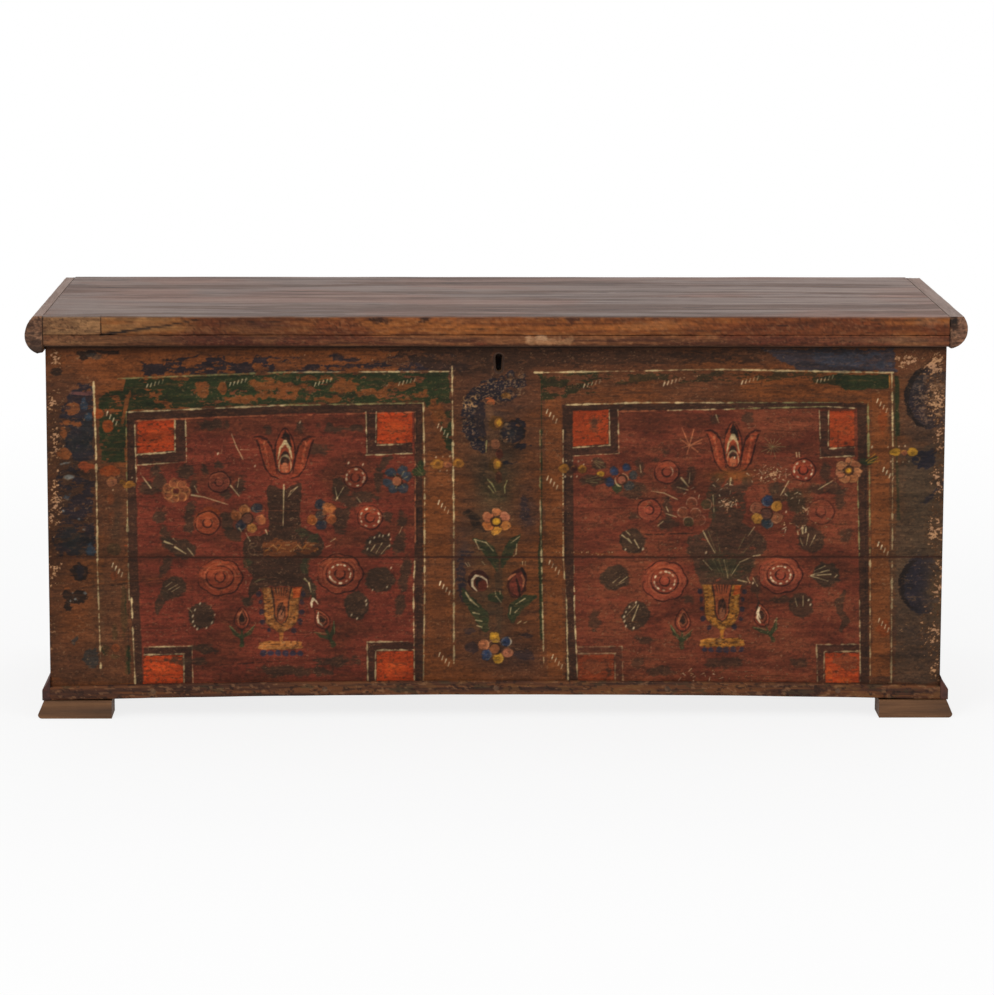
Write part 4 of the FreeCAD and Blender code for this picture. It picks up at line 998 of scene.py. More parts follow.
left_foliage = (
    (267.5, 487), (275.5, 485.5), (282, 490), (288, 488.5), (294, 484.5), (302, 483.5), (301, 500),
    (300.5, 526), (306, 529), (313, 533), (320.5, 536), (323.6, 543), (321.8, 552), (318, 556.5),
    (308, 559), (307.4, 566), (308, 573), (312, 580), (315.5, 588), (316, 599), (312, 598), (309, 590),
    (300.5, 587), (271.8, 587), (260.5, 588.5), (254, 595), (249, 598), (248, 590), (251.8, 578),
    (249, 571), (247.4, 562), (243.6, 556), (243, 545), (245.5, 538), (253, 536), (263, 535), (269, 530),
    (268, 515), (267.4, 500),
)
right_foliage = (
    (712, 479), (716, 483), (722, 487), (730, 479), (736, 486), (745, 480), (748, 486), (744, 497),
    (746, 508), (743, 520), (750, 527), (760, 533), (767, 543), (764, 554), (756, 558), (752, 570),
    (744, 585), (704, 586), (697, 577), (692, 562), (688, 552), (688, 538), (698, 534), (706, 527),
    (712, 520), (713, 508), (711, 495),
)
left_leaves = (
    (157, 471, 5, 6, 30), (160, 481, 7, 9, -10), (150, 489, 9, 6, 10), (186, 471, 7, 8, 30),
    (204, 471.5, 4, 4.5), (219, 464, 4, 4), (194, 484, 4, 9, 5), (240, 487, 5, 9, 10), (226, 494, 5, 6),
    (160, 516, 6, 7, 20), (166, 534, 5, 10, -10), (191, 506, 5, 5), (189, 524, 5, 10), (227, 521, 8, 9),
    (232, 534, 9, 6, 20), (166, 566, 5, 11, 30), (340, 487, 9, 9), (378, 483, 4.5, 13),
    (385, 463, 9, 4, -40), (347, 500, 12, 6, 10), (340, 520, 8, 13, 10), (366, 497, 14, 5),
    (387, 516, 6, 5), (402, 520, 5, 8), (399, 543, 6, 12, 10), (405, 575, 5, 20, 8), (401, 602, 5, 12, 14),
    (298.7, 427.7, 4.5, 5.5), (268, 429, 4, 5), (318, 449, 14, 5, 5), (331, 428, 12, 4, 10),
    (213, 425, 13, 4), (248, 601, 5, 6), (246, 601, 4, 5), (307, 590, 6, 10, 30), (188, 661, 20, 4),
    (204, 649, 16, 4, 5), (335, 661, 22, 5), (290, 671, 40, 5), (352, 429, 8, 3),
)
left_strokes = (
    (231.5, 434, 236.5, 447, 0.9, 1.0), (236.5, 447, 243.2, 459.5, 1.0, 0.8),
    (240.5, 449.5, 249.5, 449.9, 0.7, 0.6), (191.5, 495, 204, 497, 2.2, 1.4),
    (204, 497, 228, 504.5, 1.4, 0.7), (230.5, 485.5, 239.5, 496.5, 2.2, 0.7),
    (283.9, 485, 283.5, 507, 2.2, 1.5), (283.5, 507, 283, 526, 1.5, 0.7),
    (297.5, 486.5, 288, 497, 0.9, 0.7), (335, 487.5, 337.5, 499, 0.8, 1.1),
    (343.5, 487.5, 336, 500, 1.1, 0.6), (304.5, 578, 309, 583, 0.8, 1.6), (309, 583, 311, 592, 1.6, 1.2),
    (164.5, 541.5, 172.5, 544.5, 2.4, 1.2), (175, 547, 186, 553.8, 2.4, 0.8),
    (187.5, 548, 195, 557.5, 1.2, 0.6), (173, 538.5, 176.5, 541.5, 1.2, 0.6),
    (166, 586.5, 172, 582, 0.9, 0.5), (168, 590, 177.5, 584.5, 0.9, 0.5),
    (172, 591.5, 180, 586.5, 0.8, 0.5), (265.6, 530, 267.5, 534.5, 2.2, 0.8),
    (239, 528, 241.5, 531.5, 1.7, 0.8), (330.5, 541.5, 335.5, 538.5, 1.1, 0.7),
    (326, 547, 331, 545, 0.8, 0.6), (357, 497.5, 361, 503, 0.8, 0.5), (371, 551, 375, 545, 0.7, 1),
    (376, 553, 382, 543, 0.7, 1), (381, 554, 388, 546, 0.7, 0.9), (142, 476, 151, 488, 0.7, 1.2),
    (194.5, 486, 198, 493, 0.9, 0.7), (239, 478, 237.5, 487, 0.8, 0.8), (246, 533, 250, 541, 0.7, 0.9),
    (399, 534, 402, 527, 0.7, 1.1), (188, 608, 192, 612, 0.6, 0.6),
)
left_dots = (
    (200, 603.5), (195, 609.8), (192.9, 616), (193.1, 621.5), (194.6, 626), (197.3, 628.8), (206.5, 628),
    (211.9, 622.5), (214.8, 614.8), (367.5, 548.8), (370, 541.9), (374.4, 537.5), (379.4, 535.6),
    (383, 535.6), (388.8, 534.4), (390.6, 539.4), (389.4, 545.6), (351.5, 615), (357, 618.5),
    (366.5, 604.5), (366, 600.5), (372.5, 590), (391, 568), (387, 587), (348.5, 463), (363, 464.5),
    (217.8, 453.8), (300, 422), (255, 466),
)


# The left panel's tulip, foliage, roses and urn.
left_flowers = (
    (patch, curved(left_foliage, 3), tone(51, 37, 30), coat(0.96, 0.9, dry=0.1)),
    (spots, ((302, 533, 5, 4), (314, 540, 6, 5), (305, 566, 5, 8), (312, 590, 3, 8), (247, 562, 4, 5)),
     tone(48, 54, 38), coat(0.6, 2.4)),
    (patch, [(263, 541), (276, 538), (300, 541), (318, 543), (316, 553), (290, 557), (264, 556)],
     tone(106, 60, 34), coat(0.78, 2.6, 0.24)),
    (ring, 253.5, 541, 6.5, 0.8, bare_grey, coat(0.45, start=150, sweep=220)),
    (ring, 253.5, 543, 4, 0.8, bare_grey, coat(0.45, start=300, sweep=220)),
    (ring, 254, 549, 6, 0.8, bare_grey, coat(0.45, start=60, sweep=220)),
    (ring, 251, 552, 4, 0.8, bare_grey, coat(0.45, start=200, sweep=220)),
    (stroke, [(297.5, 487), (291, 491), (287.5, 498)], (1.6, 1.2, 0.5), mix(cream, bare_grey,
     0.4), coat(0.75, 0.4)),
    (stroke, [(304, 579), (309, 583), (311, 590)], (1.2, 1.6, 0.8), sage, coat(0.7, 0.4)),
    (stroke, [(255, 582), (260, 579.5), (265, 579)], (1.0, 1.0, 0.5), sage, coat(0.5, 0.4)),
    (zigzag, 265, 551, 13),
    (spots, left_leaves, leaf_dark, coat(0.8, 2.6, soft=2.0, dry=0)),
    (leaf, 173.5, 588, 14, 11, -25),
    (stroke, [(164, 594), (159, 604), (157, 614)], (9, 9, 3), leaf_dark, coat(0.85, 1)),
    (leaf, 180, 548, 17, 9, 18),
    (leaf, 377.5, 545, 15, 11, -30),
    (leaf, 379.4, 580, 15, 12.5, -5),
    (leaf, 201.9, 615.5, 13, 13.5),
    (leaf, 356.9, 605.6, 12.5, 13.8),
    (rose, 219.2, 482, 11.6, dict(body=tone(108, 56, 46))),
    (blob, 209, 511.5, 10.5, 4.5, orange * 0.68, coat(0.6, 1.4)),
    (rose, 207.5, 523, 13, dict(body=tone(126, 62, 40))),
    (rose, 355.3, 477.6, 12, dict(dots=9, fade=0.92)),
    (rose, 370, 517.5, 13, dict(dots=10, lit=200)),
    (rose, 220, 577.2, 22.5, dict(body=tone(132, 62, 42), flat=0.82)),
    (rose, 340, 573.8, 23, dict(dots=13, body=tone(124, 60, 44), flat=0.87)),
    (curled_flower, 176, 491),
    (blue_flower, 396.9, 481, ((-5.6, -8), (5.6, -10.5), (9.5, -5), (-8.5, 2), (-3.5, 8), (5.8, 7))),
    (posy, 247.5, 518.5, ((-3.5, -8.5, tone(156, 98, 60)), (10, -10.5, tone(44, 48, 62)), (12.5, 1,
     tone(160, 94, 72)), (4.5, 9.5, tone(176, 122, 66)), (-6.5, 6.5, tone(42, 46, 64)), (-11.5, -3,
     tone(150, 88, 52))), tone(112, 72, 60), dict(r=5.2)),
    (posy, 320.6, 515, ((-0.5, -10, tone(42, 46, 60)), (9.5, -7, tone(170, 100, 56)), (10.5, 4,
     tone(158, 88, 52)), (0.7, 9.5, tone(42, 46, 64)), (-8.5, 5, tone(160, 90, 44))), tone(70, 62, 62),
     dict(r=5)),
    (spots, ((329, 512, 6, 9), (262, 519, 4, 5)), tone(166, 102, 62), coat(0.55, 2.4, 0.3)),
    (tulip, 285, 428, 30.5, dict(fire=tulip_fire)),
    (touches, left_strokes, cream, coat(0.8)),
    (touches, ((257, 510.5, 306, 510.9, 0.9, 0.8),), rose_light * 0.85, coat(0.7)),
    (white_dots, left_dots, 0.7),
    (urn, 281.3, 587.5, dict(gold=tone(150, 98, 52), fire=tone(126, 66, 42))),
    (bud, 241.9, 618, 8.6, 12),
    (bud, 321.8, 619.2, 8.4, 11.5, dict(turn=-30, foot=(11.5, 26), tips=((-7.5, 13), (12, 2)), pale=white)),
    (stroke, [(311.8, 607), (311.5, 603), (313, 599), (316, 601), (318, 604)], (1.2, 2.6, 2.8, 1.4, 0.6),
     white, coat(0.92, 0.3, soft=0.8, dry=0, body=0.12)),
)


right_leaves = (
    (640, 466, 4, 9), (655, 460, 4, 3), (665, 452, 3.5, 4), (679, 485, 7, 7), (690, 478, 5, 10, 15),
    (632, 493, 9, 6, -15), (641, 488, 12, 4, 15), (667.5, 510, 5, 12, -10), (668, 524, 9, 7),
    (635, 516, 5, 4), (718, 480, 7, 7), (748, 481, 5, 5), (780, 493, 9, 10), (795, 502, 9, 12),
    (826, 473, 5, 9), (833, 487, 11, 5, 10), (840, 500, 4, 9), (816, 489, 7, 5), (800, 520, 8, 8),
    (716, 419, 4, 5), (748, 419, 4.5, 5.5), (847, 536, 5, 7), (594, 620, 5, 9), (688, 600, 7, 4),
    (742, 583, 6, 7), (756, 585, 6, 8), (785, 600, 12, 3), (646, 640, 10, 4), (727, 663, 20, 5),
    (660, 672, 12, 5), (800, 662, 10, 5), (774, 488, 5, 6),
)
right_strokes = (
    (681.3, 478, 688.8, 487, 2.6, 0.7), (640, 465, 641, 472, 1.2, 0.8), (651, 491, 664, 493, 1.0, 1.1),
    (664, 493, 677.5, 499.5, 1.1, 1.4), (666.3, 507, 668.5, 512, 1.4, 0.8),
    (666, 513.5, 676.5, 517, 1.0, 1.2), (658, 525.5, 663, 521.5, 1.4, 0.6), (677, 487, 688, 490, 0.8, 0.8),
    (690, 473, 689, 483, 0.7, 0.8), (716, 415, 719, 423, 1.7, 0.8), (788.7, 481, 780.5, 495.5, 2.0, 0.8),
    (833, 480.5, 818, 489.5, 1.2, 0.9), (796.3, 452.5, 796.8, 457, 1.4, 1.1),
    (799, 452.5, 799.4, 457, 1.4, 1.1), (703, 531, 708, 541, 2.2, 1.2), (708, 541, 715, 553, 1.2, 0.7),
    (754.5, 527, 748, 536, 1.0, 0.7), (731, 576, 740, 562, 0.8, 0.8), (740, 562, 754, 556, 0.8, 1.4),
    (754, 556, 760, 555, 1.8, 2.0), (728, 578, 724, 560, 0.6, 0.6), (738, 580, 747, 582, 2.0, 0.9),
    (747, 577, 750, 583, 1.0, 1.0), (753, 578, 757.5, 586, 1.1, 0.6), (730.8, 478, 730, 485, 1.9, 1.3),
    (797.5, 531, 798.2, 534.5, 1.7, 1.4), (802.3, 527.5, 802.7, 533.5, 2.6, 2.0),
    (806, 527.5, 806, 532, 1.5, 1.2), (808.5, 534, 806.3, 545, 1.0, 0.7), (815.5, 535, 810, 546, 1.2, 0.7),
    (800, 538, 803, 546, 0.8, 0.7), (628, 539, 631.5, 543, 2.4, 1.6), (634.5, 540, 639, 548, 1.8, 0.8),
    (622, 535, 627, 539, 1.6, 0.8), (626, 531, 630, 535, 1.0, 0.8), (613, 582.5, 620, 577, 1.4, 0.7),
    (619, 583, 627, 577, 1.0, 0.7), (616, 585.5, 624, 582, 0.8, 0.6), (632.5, 620.6, 638.5, 605, 2.0, 0.9),
    (627, 615, 636, 605, 0.6, 0.8), (811, 575, 829, 570, 0.7, 1.8), (811, 575.3, 831, 574.3, 0.7, 1.7),
    (811, 576, 828, 581, 0.7, 1.4), (835, 577, 837, 575, 1.6, 1.8), (814, 571, 825, 566, 0.6, 1.0),
    (795, 598, 797, 606, 0.7, 0.7), (803, 596, 803, 606, 0.7, 0.7), (774, 622, 777, 618, 1.0, 1.6),
    (703, 560, 712, 570, 0.5, 0.6), (713, 495, 714, 512, 0.7, 0.6),
)
right_dots = (
    (635.9, 602.5), (629.4, 606.8), (625.9, 611.9), (624, 616.9), (624.4, 621.3), (626, 626), (633.7, 628),
    (706, 552.7), (625.5, 549.5), (643, 549), (808.5, 600), (810.5, 604.5), (734.6, 457.5), (753, 583),
    (872, 447), (786, 512),
)


# The right panel's tulip, foliage, roses and urn, more worn than the left.
right_flowers = (
    (patch, curved(right_foliage, 3), tone(62, 46, 38), coat(0.9, 1.8, 0.12, soft=1.6, dry=0.15)),
    (spots, ((725, 566, 16, 10), (712, 505, 4, 14)), tone(56, 56, 42), coat(0.5, 3)),
    (touches, ((722, 576, 712, 558, 0.8, 0.5), (724, 576, 718, 558, 0.8, 0.5),
     (728, 576, 727, 558, 0.8, 0.5), (730, 576, 736, 560, 0.8, 0.5), (716, 552, 708, 531, 0.8, 0.5),
     (720, 552, 716, 530, 0.8, 0.5), (738, 550, 746, 534, 0.8, 0.5), (744, 552, 754, 540, 0.8, 0.5)), sage,
     coat(0.5)),
    (small_rings, 756, 540, 16),
    (spots, right_leaves, leaf_dark, coat(0.68, 2.6, soft=2.2, dry=0)),
    (spots, ((727, 566, 26, 14), (800, 500, 14, 12)), leaf_green * 0.8, coat(0.3, 3)),
    (leaf, 615, 577.5, 14.5, 12.5, -15),
    (leaf, 635.6, 615.6, 14, 14),
    (leaf, 826, 575, 14, 12),
    (leaf, 800.7, 605, 12.5, 12.5, dict(fade=0.85)),
    (leaf, 632.5, 541, 13, 12.5, 20),
    (leaf, 811, 540, 13, 13, -30, dict(fade=0.9)),
    (stroke, [(844, 592), (839, 602), (840, 612), (846, 620), (841, 630)], (3, 9, 6, 8, 3), leaf_dark,
     coat(0.75, 1)),
    (rose, 666.7, 472, 12.8, dict(body=tone(134, 64, 50), lit=180)),
    (ring, 666.7, 472, 6.2, 1.6, white, coat(0.7, start=300, sweep=100)),
    (rose, 649.2, 510, 12.4, dict(body=tone(128, 60, 48), lit=60)),
    (rose, 803.3, 470, 12.5, dict(dots=9, body=tone(140, 58, 44))),
    (rose, 820.8, 511.7, 14, dict(fade=0.66, body=tone(116, 58, 46))),
    (rose, 664.6, 581, 22.5, dict(dots=12, body=tone(130, 61, 47), flat=0.9)),
    (rose, 780.4, 574.8, 22, dict(dots=13, lit=180, body=tone(126, 60, 48), flat=0.86)),
    (posy, 622, 479.8, ((-8, -8.7, blue), (4.5, -11.8, blue), (11.3, -4.8, slate * 1.15),
     (6.8, 6.2, slate * 1.1), (-5, 8.2, leaf_green * 1.15), (-12, 1.8, blue * 0.9)), tone(150, 92, 76),
     dict(r=4.4, ringed=False)),
    (ring, 622, 479.8, 6.8, 1.4, cream, coat(0.8, start=95, sweep=110)),
    (ring, 622, 479.8, 6.4, 1.0, cream, coat(0.6, start=270, sweep=90)),
    (daisy, 848.7, 470.7, 13, (tone(172, 112, 80), tone(160, 98, 70), tone(178, 120, 86),
     tone(156, 100, 66), tone(174, 112, 78), tone(164, 104, 80), tone(170, 116, 84)), ochre * 0.8, yellow),
    (petal_lines, 848.7, 470.7, 6),
    (worn_petal, 691.7, 503, field_tan),
    (worn_petal, 706.5, 504.5, leaf_green * 1.1),
    (worn_petal, 683, 512.5, faded_tan),
    (worn_petal, 695.5, 513.5, faded_tan * 0.9),
    (worn_petal, 688.5, 522, leaf_green * 1.15),
    (worn_petal, 700, 520, field_tan),
    (posy, 766.3, 514, ((1.5, -13, tone(38, 54, 92)), (10.7, -7.5, tone(200, 142, 60)), (-10.5, -6,
     tone(140, 84, 66)), (-9, 4.5, tone(198, 146, 66)), (1.0, 9.2, tone(48, 62, 80)), (10.5, 3.5,
     tone(164, 104, 76))), tone(96, 66, 60), dict(r=5.6)),
    (tulip, 733, 422, 27.5, dict(fire=tulip_fire * 1.06)),
    (glow, 733, 475, 20, 6, ochre * 0.9, 0.55),
    (star, 689.4, 445.6, ((-7.5, -18), (4.4, -16.2), (12.5, -6.2), (11.9, -2.6), (8.6, 6.3), (-2.5, 8.8),
     (-9.4, -6.8), (-7.5, 2.4))),
    (starburst, 772.7, 446.7, 14),
    (touches, right_strokes, cream, coat(0.78)),
    (white_dots, right_dots, 0.8),
    (urn, 722, 584.6, dict(gold=tone(166, 112, 46), fire=tone(132, 64, 46))),
    (bud, 682.7, 620.3, 8.6, 12, dict(foot=(-1.5, 27), tips=((-12, 5), (10, 9)))),
    (bud, 761.6, 615.4, 8.8, 12.5, dict(turn=-12, foot=(12, 25), tips=((-8, 12), (15, 3)), pale=white)),
    (stroke, [(757, 595), (759, 602), (757, 609)], (0.8, 1.4, 2.4), leaf_dark, coat(0.8, 0.5)),
    (stroke, [(759, 607), (757.5, 613), (760.5, 618)], (1.4, 3.0, 1.2), white,
     coat(0.88, 0.3, dry=0, body=0.12)),
)


# The ochre buds on the border and the spiky leaves beside them.
knot_coats = (
    (knot, ((437.5, 464, 7, 4.5, ochre), (448, 464.4, 4.6, 3.4, rose_light), (458.5, 463.3, 6, 4.4, ochre)),
     ((436, 457), (443, 456.6), (450, 456.2), (440, 471), (447, 470.6), (453.5, 470.4))),
    (knot, ((111.8, 481.8, 5.6, 5, pink * 0.95), (129, 484.5, 7, 3.6, ochre * 0.95),
     (122, 482, 4, 2.6, ochre * 0.7)), ((113, 490), (132, 477.5), (137, 478.5))),
    (knot, ((563.8, 468.4, 5.4, 4.4, ochre * 0.95), (573.8, 468.6, 3.6, 3.4, red_line * 1.5),
     (582.5, 468.8, 4.6, 4, ochre * 0.9), (600.6, 473.8, 4, 3.2, yellow * 0.95)), ((566.3, 460.9),
     (572.5, 460.6), (578.5, 461.3), (583.8, 464.4), (591.9, 460.6), (565, 476.5), (571.3, 476.5),
     (576.9, 476.3))),
    (knot, ((895.2, 452.2, 6, 4, yellow), (904, 452.7, 3.6, 3, rose_light), (912.6, 451.8, 5.4, 4, yellow)),
     ((888, 447), (893, 446), (899, 446.4), (905, 446), (891, 461.5), (897, 461.8), (903, 462),
     (909, 461.6))),
    (leaf, 598.8, 463.8, 9, 5.5, 30, dict(veins=3, pale=sage, fade=0.85)),
    (leaf, 592.5, 480, 11, 5.5, -5, dict(veins=3, pale=sage, fade=0.85)),
    (stroke, [(862, 461), (868, 462), (876, 458)], (5, 8, 3), leaf_green * 0.9, coat(0.9, 1)),
    (touches, ((866, 461, 875, 454, 1.2, 0.9), (868, 462, 878, 457, 1.2, 0.9),
     (868, 463, 879, 461, 1.2, 0.9)), yellow * 0.85, coat(0.8)),
    (spots, ((419, 472, 7, 5), (421, 466, 3, 6)), green * 1.05, coat(0.9, 0.9)),
    (touches, ((415, 468, 423, 475, 0.7, 0.9), (416, 464, 421, 471, 0.6, 0.7)), sage, coat(0.6)),
)


# The dark scroll below the keyhole.
scroll = ((524, 372), (512, 371), (500, 377), (485, 379), (474, 388), (466, 396), (461, 412), (462, 430),
          (471, 446), (484, 455), (488, 449), (484, 440), (476, 428), (473, 411), (478, 402), (488, 398),
          (501, 402), (512, 399), (520, 394), (526, 385))

# The strip below the keyhole: dark scrolls, buds, leaves and two small flowers.
centre_coats = (
    (patch, scroll, navy * 0.8, coat(0.9, 2.2, 0.24, dry=0.3)),
    (patch, [(476, 403), (486, 400), (489, 440), (484, 452), (474, 440), (466, 420)], navy * 0.75,
     coat(0.75, 2.6, 0.15)),
    (specks, scroll),
    (spots, ((512, 432.5, 12, 11), (519.5, 424, 5.5, 5.5), (522, 446, 6, 2), (508, 463, 7, 1.6)),
     navy * 0.7, coat(0.9, 2.0, 0.1)),
    (glow, 511, 433, 5, 4, slate * 1.1, 0.5),
    (ring, 512, 433, 11, 1.6, black, coat(0.8, 0.8, lobes=5, depth=0.12)),
    (scroll_crumbs, 26),
    (curls, ((466, 398, 20), (469, 403, -30), (473, 399, 60), (475, 404, 10), (468, 407, -50),
     (478, 397, 30), (463, 406, 80))),
    (spots, ((490, 402.5, 5, 3), (487, 398.5, 3.4, 1.8)), tone(176, 96, 56), coat(0.85, 1.4)),
    (touches, ((483, 397, 489, 394.5, 1.2, 0.9), (486, 406, 492, 405, 0.9, 1.1),
     (495, 401, 499, 404, 1.0, 0.8), (484, 401, 487, 405, 0.8, 1.0)), tone(210, 166, 126), coat(0.7)),
    (blob, 505, 395.5, 4.4, 3, ochre * 0.72, coat(0.75, 1.8)),
    (stroke, [(489, 406), (490, 440), (494, 500)], (9, 10, 13), tone(92, 66, 50), coat(0.62, 1.8)),
    (ochre_bud, 498, 423, 4.6, 6, ochre),
    (ochre_bud, 496.9, 464.6, 4.8, 6.2, ochre * 1.05),
    (blob, 495.6, 443.8, 4.5, 5, pink * 0.86, coat(0.85, 0.9)),
    (red_bud, 499.4, 454, 3.6, 5),
    (red_bud, 498.8, 477.8, 3.2, 6.2),
    (glow, 495, 488, 12, 16, leaf_green, 0.6),
    (touches, ((487.5, 479.4, 492, 484, 1.2, 1.5), (492, 484, 495.8, 491.5, 1.5, 0.8),
     (488.5, 486, 493.5, 492.5, 1.3, 0.8), (507, 480.5, 504.6, 487, 1.3, 1.3),
     (504.6, 487, 505, 493, 1.3, 0.8), (486, 452, 486.5, 441, 1.0, 2.2)), sage * 1.25, coat(0.8)),
    (stroke, [(464, 513), (471, 515), (478, 518), (473, 530)], (4, 8, 5, 3), leaf_dark * 0.8,
     coat(0.85, 1.2)),
    (spots, ((524.5, 511, 5, 14), (461, 574, 4, 18), (463, 590, 4, 10), (466, 553, 8, 4)), navy * 0.95,
     coat(0.6, 2.4, 0.3)),
    (stroke, [(468, 512), (476, 524), (486, 532)], (5, 8, 4), black * 1.1, coat(0.6, 2)),
    (daisy, 496.3, 521.3, 14.4, [tone(176, 110, 74), tone(178, 110, 88), tone(184, 118, 62),
     tone(196, 140, 58), tone(184, 108, 58), tone(180, 108, 78)], yellow * 0.9, yellow),
    (stroke, [(474, 539), (482, 543), (489, 551), (495, 562), (497, 570)], (2, 8, 12, 9, 4), leaf_green,
     coat(0.93, 0.9)),
    (stroke, [(520.6, 534), (513, 542), (508.8, 551), (504, 560), (502, 567)], (2, 9, 11, 7, 4), leaf_green,
     coat(0.93, 0.9)),
    (touches, ((474.5, 539.5, 486, 542.5, 1.5, 1.4), (486, 542.5, 493.5, 551, 1.4, 0.7),
     (475.5, 541, 479, 549, 1.3, 0.9), (479, 549, 484.5, 550, 0.9, 0.5), (519.5, 536.5, 511, 543, 1.5, 0.8),
     (516.8, 544, 516, 554, 1.0, 1.5), (516, 554, 512.5, 557, 1.5, 0.7)), cream, coat(0.85)),
    (stroke, [(499, 566), (499, 640)], (8, 4), grey_ground * 0.85, coat(0.55, 1.6)),
    (ring, 478.4, 580.8, 11, 0.9, tone(128, 96, 78), coat(0.5, start=120, sweep=220)),
    (blob, 478.2, 580.6, 10.2, 11.2, red_line * 1.05, coat(0.92, 0.8)),
    (blob, 479.5, 583, 8.2, 8.8, tone(96, 54, 44), coat(0.85, 0.6)),
    (stroke, [(487.5, 587), (486.5, 580), (481.5, 576.5), (475.6, 575.8), (472.3, 580), (472.4, 586),
     (477, 591)], (0.7, 1.2, 1.7, 2.3, 2.8, 2.2, 0.8), white, coat(0.94, 0.3, soft=0.8, dry=0, body=0.15)),
    (blob, 478.5, 582, 3, 5.4, black, coat(0.8, 0.6)),
    (blob, 482.5, 585.5, 4.6, 5.4, rose_red * 0.75, coat(0.9, 0.4)),
    (patch, [(523, 567), (527, 576), (526, 590), (519, 599), (511, 597), (506.5, 586), (508.5, 577),
     (515, 570)], red_line * 1.15, coat(0.88, 0.6)),
    (patch, [(523, 571), (524.5, 580), (523, 589), (518, 596), (511, 592), (509, 583), (514, 575)],
     tone(118, 56, 46), coat(0.85, 0.6)),
    (stroke, [(508.5, 579), (511.5, 576), (515.5, 574)], (2.2, 2.6, 1.4), pink, coat(0.92, 0.3, dry=0)),
    (stroke, [(521.5, 574.5), (524, 580), (523, 587)], (1.2, 2.4, 1.2), pink * 0.95, coat(0.9, 0.3, dry=0)),
    (stroke, [(516.5, 579), (519, 588), (520, 596)], (1.6, 2.6, 1.6), black, coat(0.8, 0.4)),
    (stroke, [(521.5, 568), (524.5, 574)], (2.0, 3.0), black, coat(0.85, 0.4)),
    (stroke, [(463, 589), (468, 600), (476, 609), (482, 618), (485, 628)], (3, 9, 13, 14, 7), leaf_green,
     coat(0.93, 1.0)),
    (stroke, [(535, 597), (525, 600), (516, 607), (513, 615), (513, 621)], (4, 11, 13, 10, 5), leaf_green,
     coat(0.93, 1.0)),
    (stroke, [(493, 597), (499, 597)], (9, 9), leaf_green, coat(0.93, 1.0)),
    (touches, ((465.6, 592.5, 470.5, 600, 2.2, 2.8), (470.5, 600, 478.8, 607, 2.8, 0.8),
     (473, 612.5, 479.5, 614, 1.7, 1), (475.6, 620, 482, 621.3, 1.7, 1), (477, 625.6, 482, 627, 1.6, 1),
     (516, 604, 525, 598.6, 1.2, 1.6), (511, 607.5, 510, 614, 1, 1), (515, 612.5, 519.4, 608, 1.4, 0.8),
     (517.5, 623.5, 521, 621, 1.6, 1.4), (524, 623, 527, 621.5, 1, 1.2), (495, 591, 495.6, 594, 1, 0.8),
     (500, 591, 500.3, 594, 1, 0.8), (496, 596, 501, 602.5, 0.9, 0.9), (465.5, 563, 468, 566.5, 1, 1),
     (468, 562.5, 470, 566, 1, 1), (482, 561.5, 485, 565, 1, 0.8), (522.5, 561.5, 522.5, 565, 1.1, 0.8),
     (525.5, 561.5, 525, 566, 1.1, 0.8)), cream, coat(0.82, body=0.12)),
    (spots, ((471, 647.5, 6.5, 5), (525, 655, 10, 6), (469, 631, 6, 3), (523, 636, 8, 3)), navy * 0.95,
     coat(0.55, 2, 0.15)),
    (posy, 495, 648.8, ((0, -11, yellow), (11.5, -6.9, blue * 1.1), (12, 3.5, tone(186, 118, 94)),
     (3, 9.6, yellow), (-8.5, 5.8, blue * 1.1), (-11, -4.6, tone(196, 124, 90))), tone(158, 98, 66),
     dict(r=5.2)),
    (ring, 506.5, 641.6, 4.6, 1.5, white, coat(0.75, start=290, sweep=150)),
    (ring, 495, 647.4, 7.4, 1.2, tone(206, 160, 130), coat(0.6, start=195, sweep=130)),
)


# Where white paint is spattered over the right panel: centre, half widths and how many spots.
white_spatter = (
    (775, 473, 17, 8, 26), (728, 503, 11, 5, 20), (756, 476, 10, 5, 7), (724, 488, 13, 8, 8),
    (806, 510, 2, 3.6, 5), (783, 529, 2.4, 2.4, 4), (802, 528, 5, 4, 5), (794, 497, 9, 7, 6),
    (700, 676, 24, 6, 10), (690, 492, 14, 6, 4),
)


# The rows of white touches between the border lines.
flat_rows = ((147, 386), (230, 384.5), (315, 384.5), (399, 384), (584, 386), (664, 384), (742, 382.5),
             (817, 381.5))
steep_rows = ((438, 426), (438.6, 502.4), (440, 583.4), (439.3, 654.6), (546.9, 411.3), (547.5, 478),
              (549.4, 562.5), (552.4, 656.9), (877.3, 400.8), (878.2, 543.9), (878.8, 620.3), (883.4, 469.5),
              (107, 413.5), (112.5, 565))
dash_rows = (*[(dashes, x, y, dict(count=5, dx=3.9, dy=-1.1, long=1.7, fade=0.8)) for x, y in flat_rows],
             *[(dashes, x, y) for x, y in steep_rows])


def spatter(sheet):
    """White spots and short strokes of paint thrown over the right panel."""
    for cx, cy, rx, ry, count in white_spatter:
        for k in range(count):
            turn, out = 2.4 * k, math.sqrt((k + 0.5) / count)
            x = cx + rx * out * math.cos(turn) + 1.4 * math.sin(7.1 * k)
            y = cy + ry * out * math.sin(turn) + 1.1 * math.sin(4.3 * k)
            reach, lean = 0.5 + 1.4 * abs(math.sin(3.7 * k)), 1.2 * math.sin(5.3 * k)
            dx, dy = reach * math.sin(lean), reach * math.cos(lean)
            sheet.touches([(x - dx, y - dy, x + dx, y + dy, 0.9, 0.5)], white,
                          cover=0.5 + 0.35 * abs(math.sin(9.1 * k)))


def reveal(sheet, at, mask, colour, depth):
    """Paint lost down to what lies under it."""
    sheet.wash(colour, mask, at)
    sheet.height[at] -= depth * mask
    sheet.worn[at] = np.maximum(sheet.worn[at], mask)


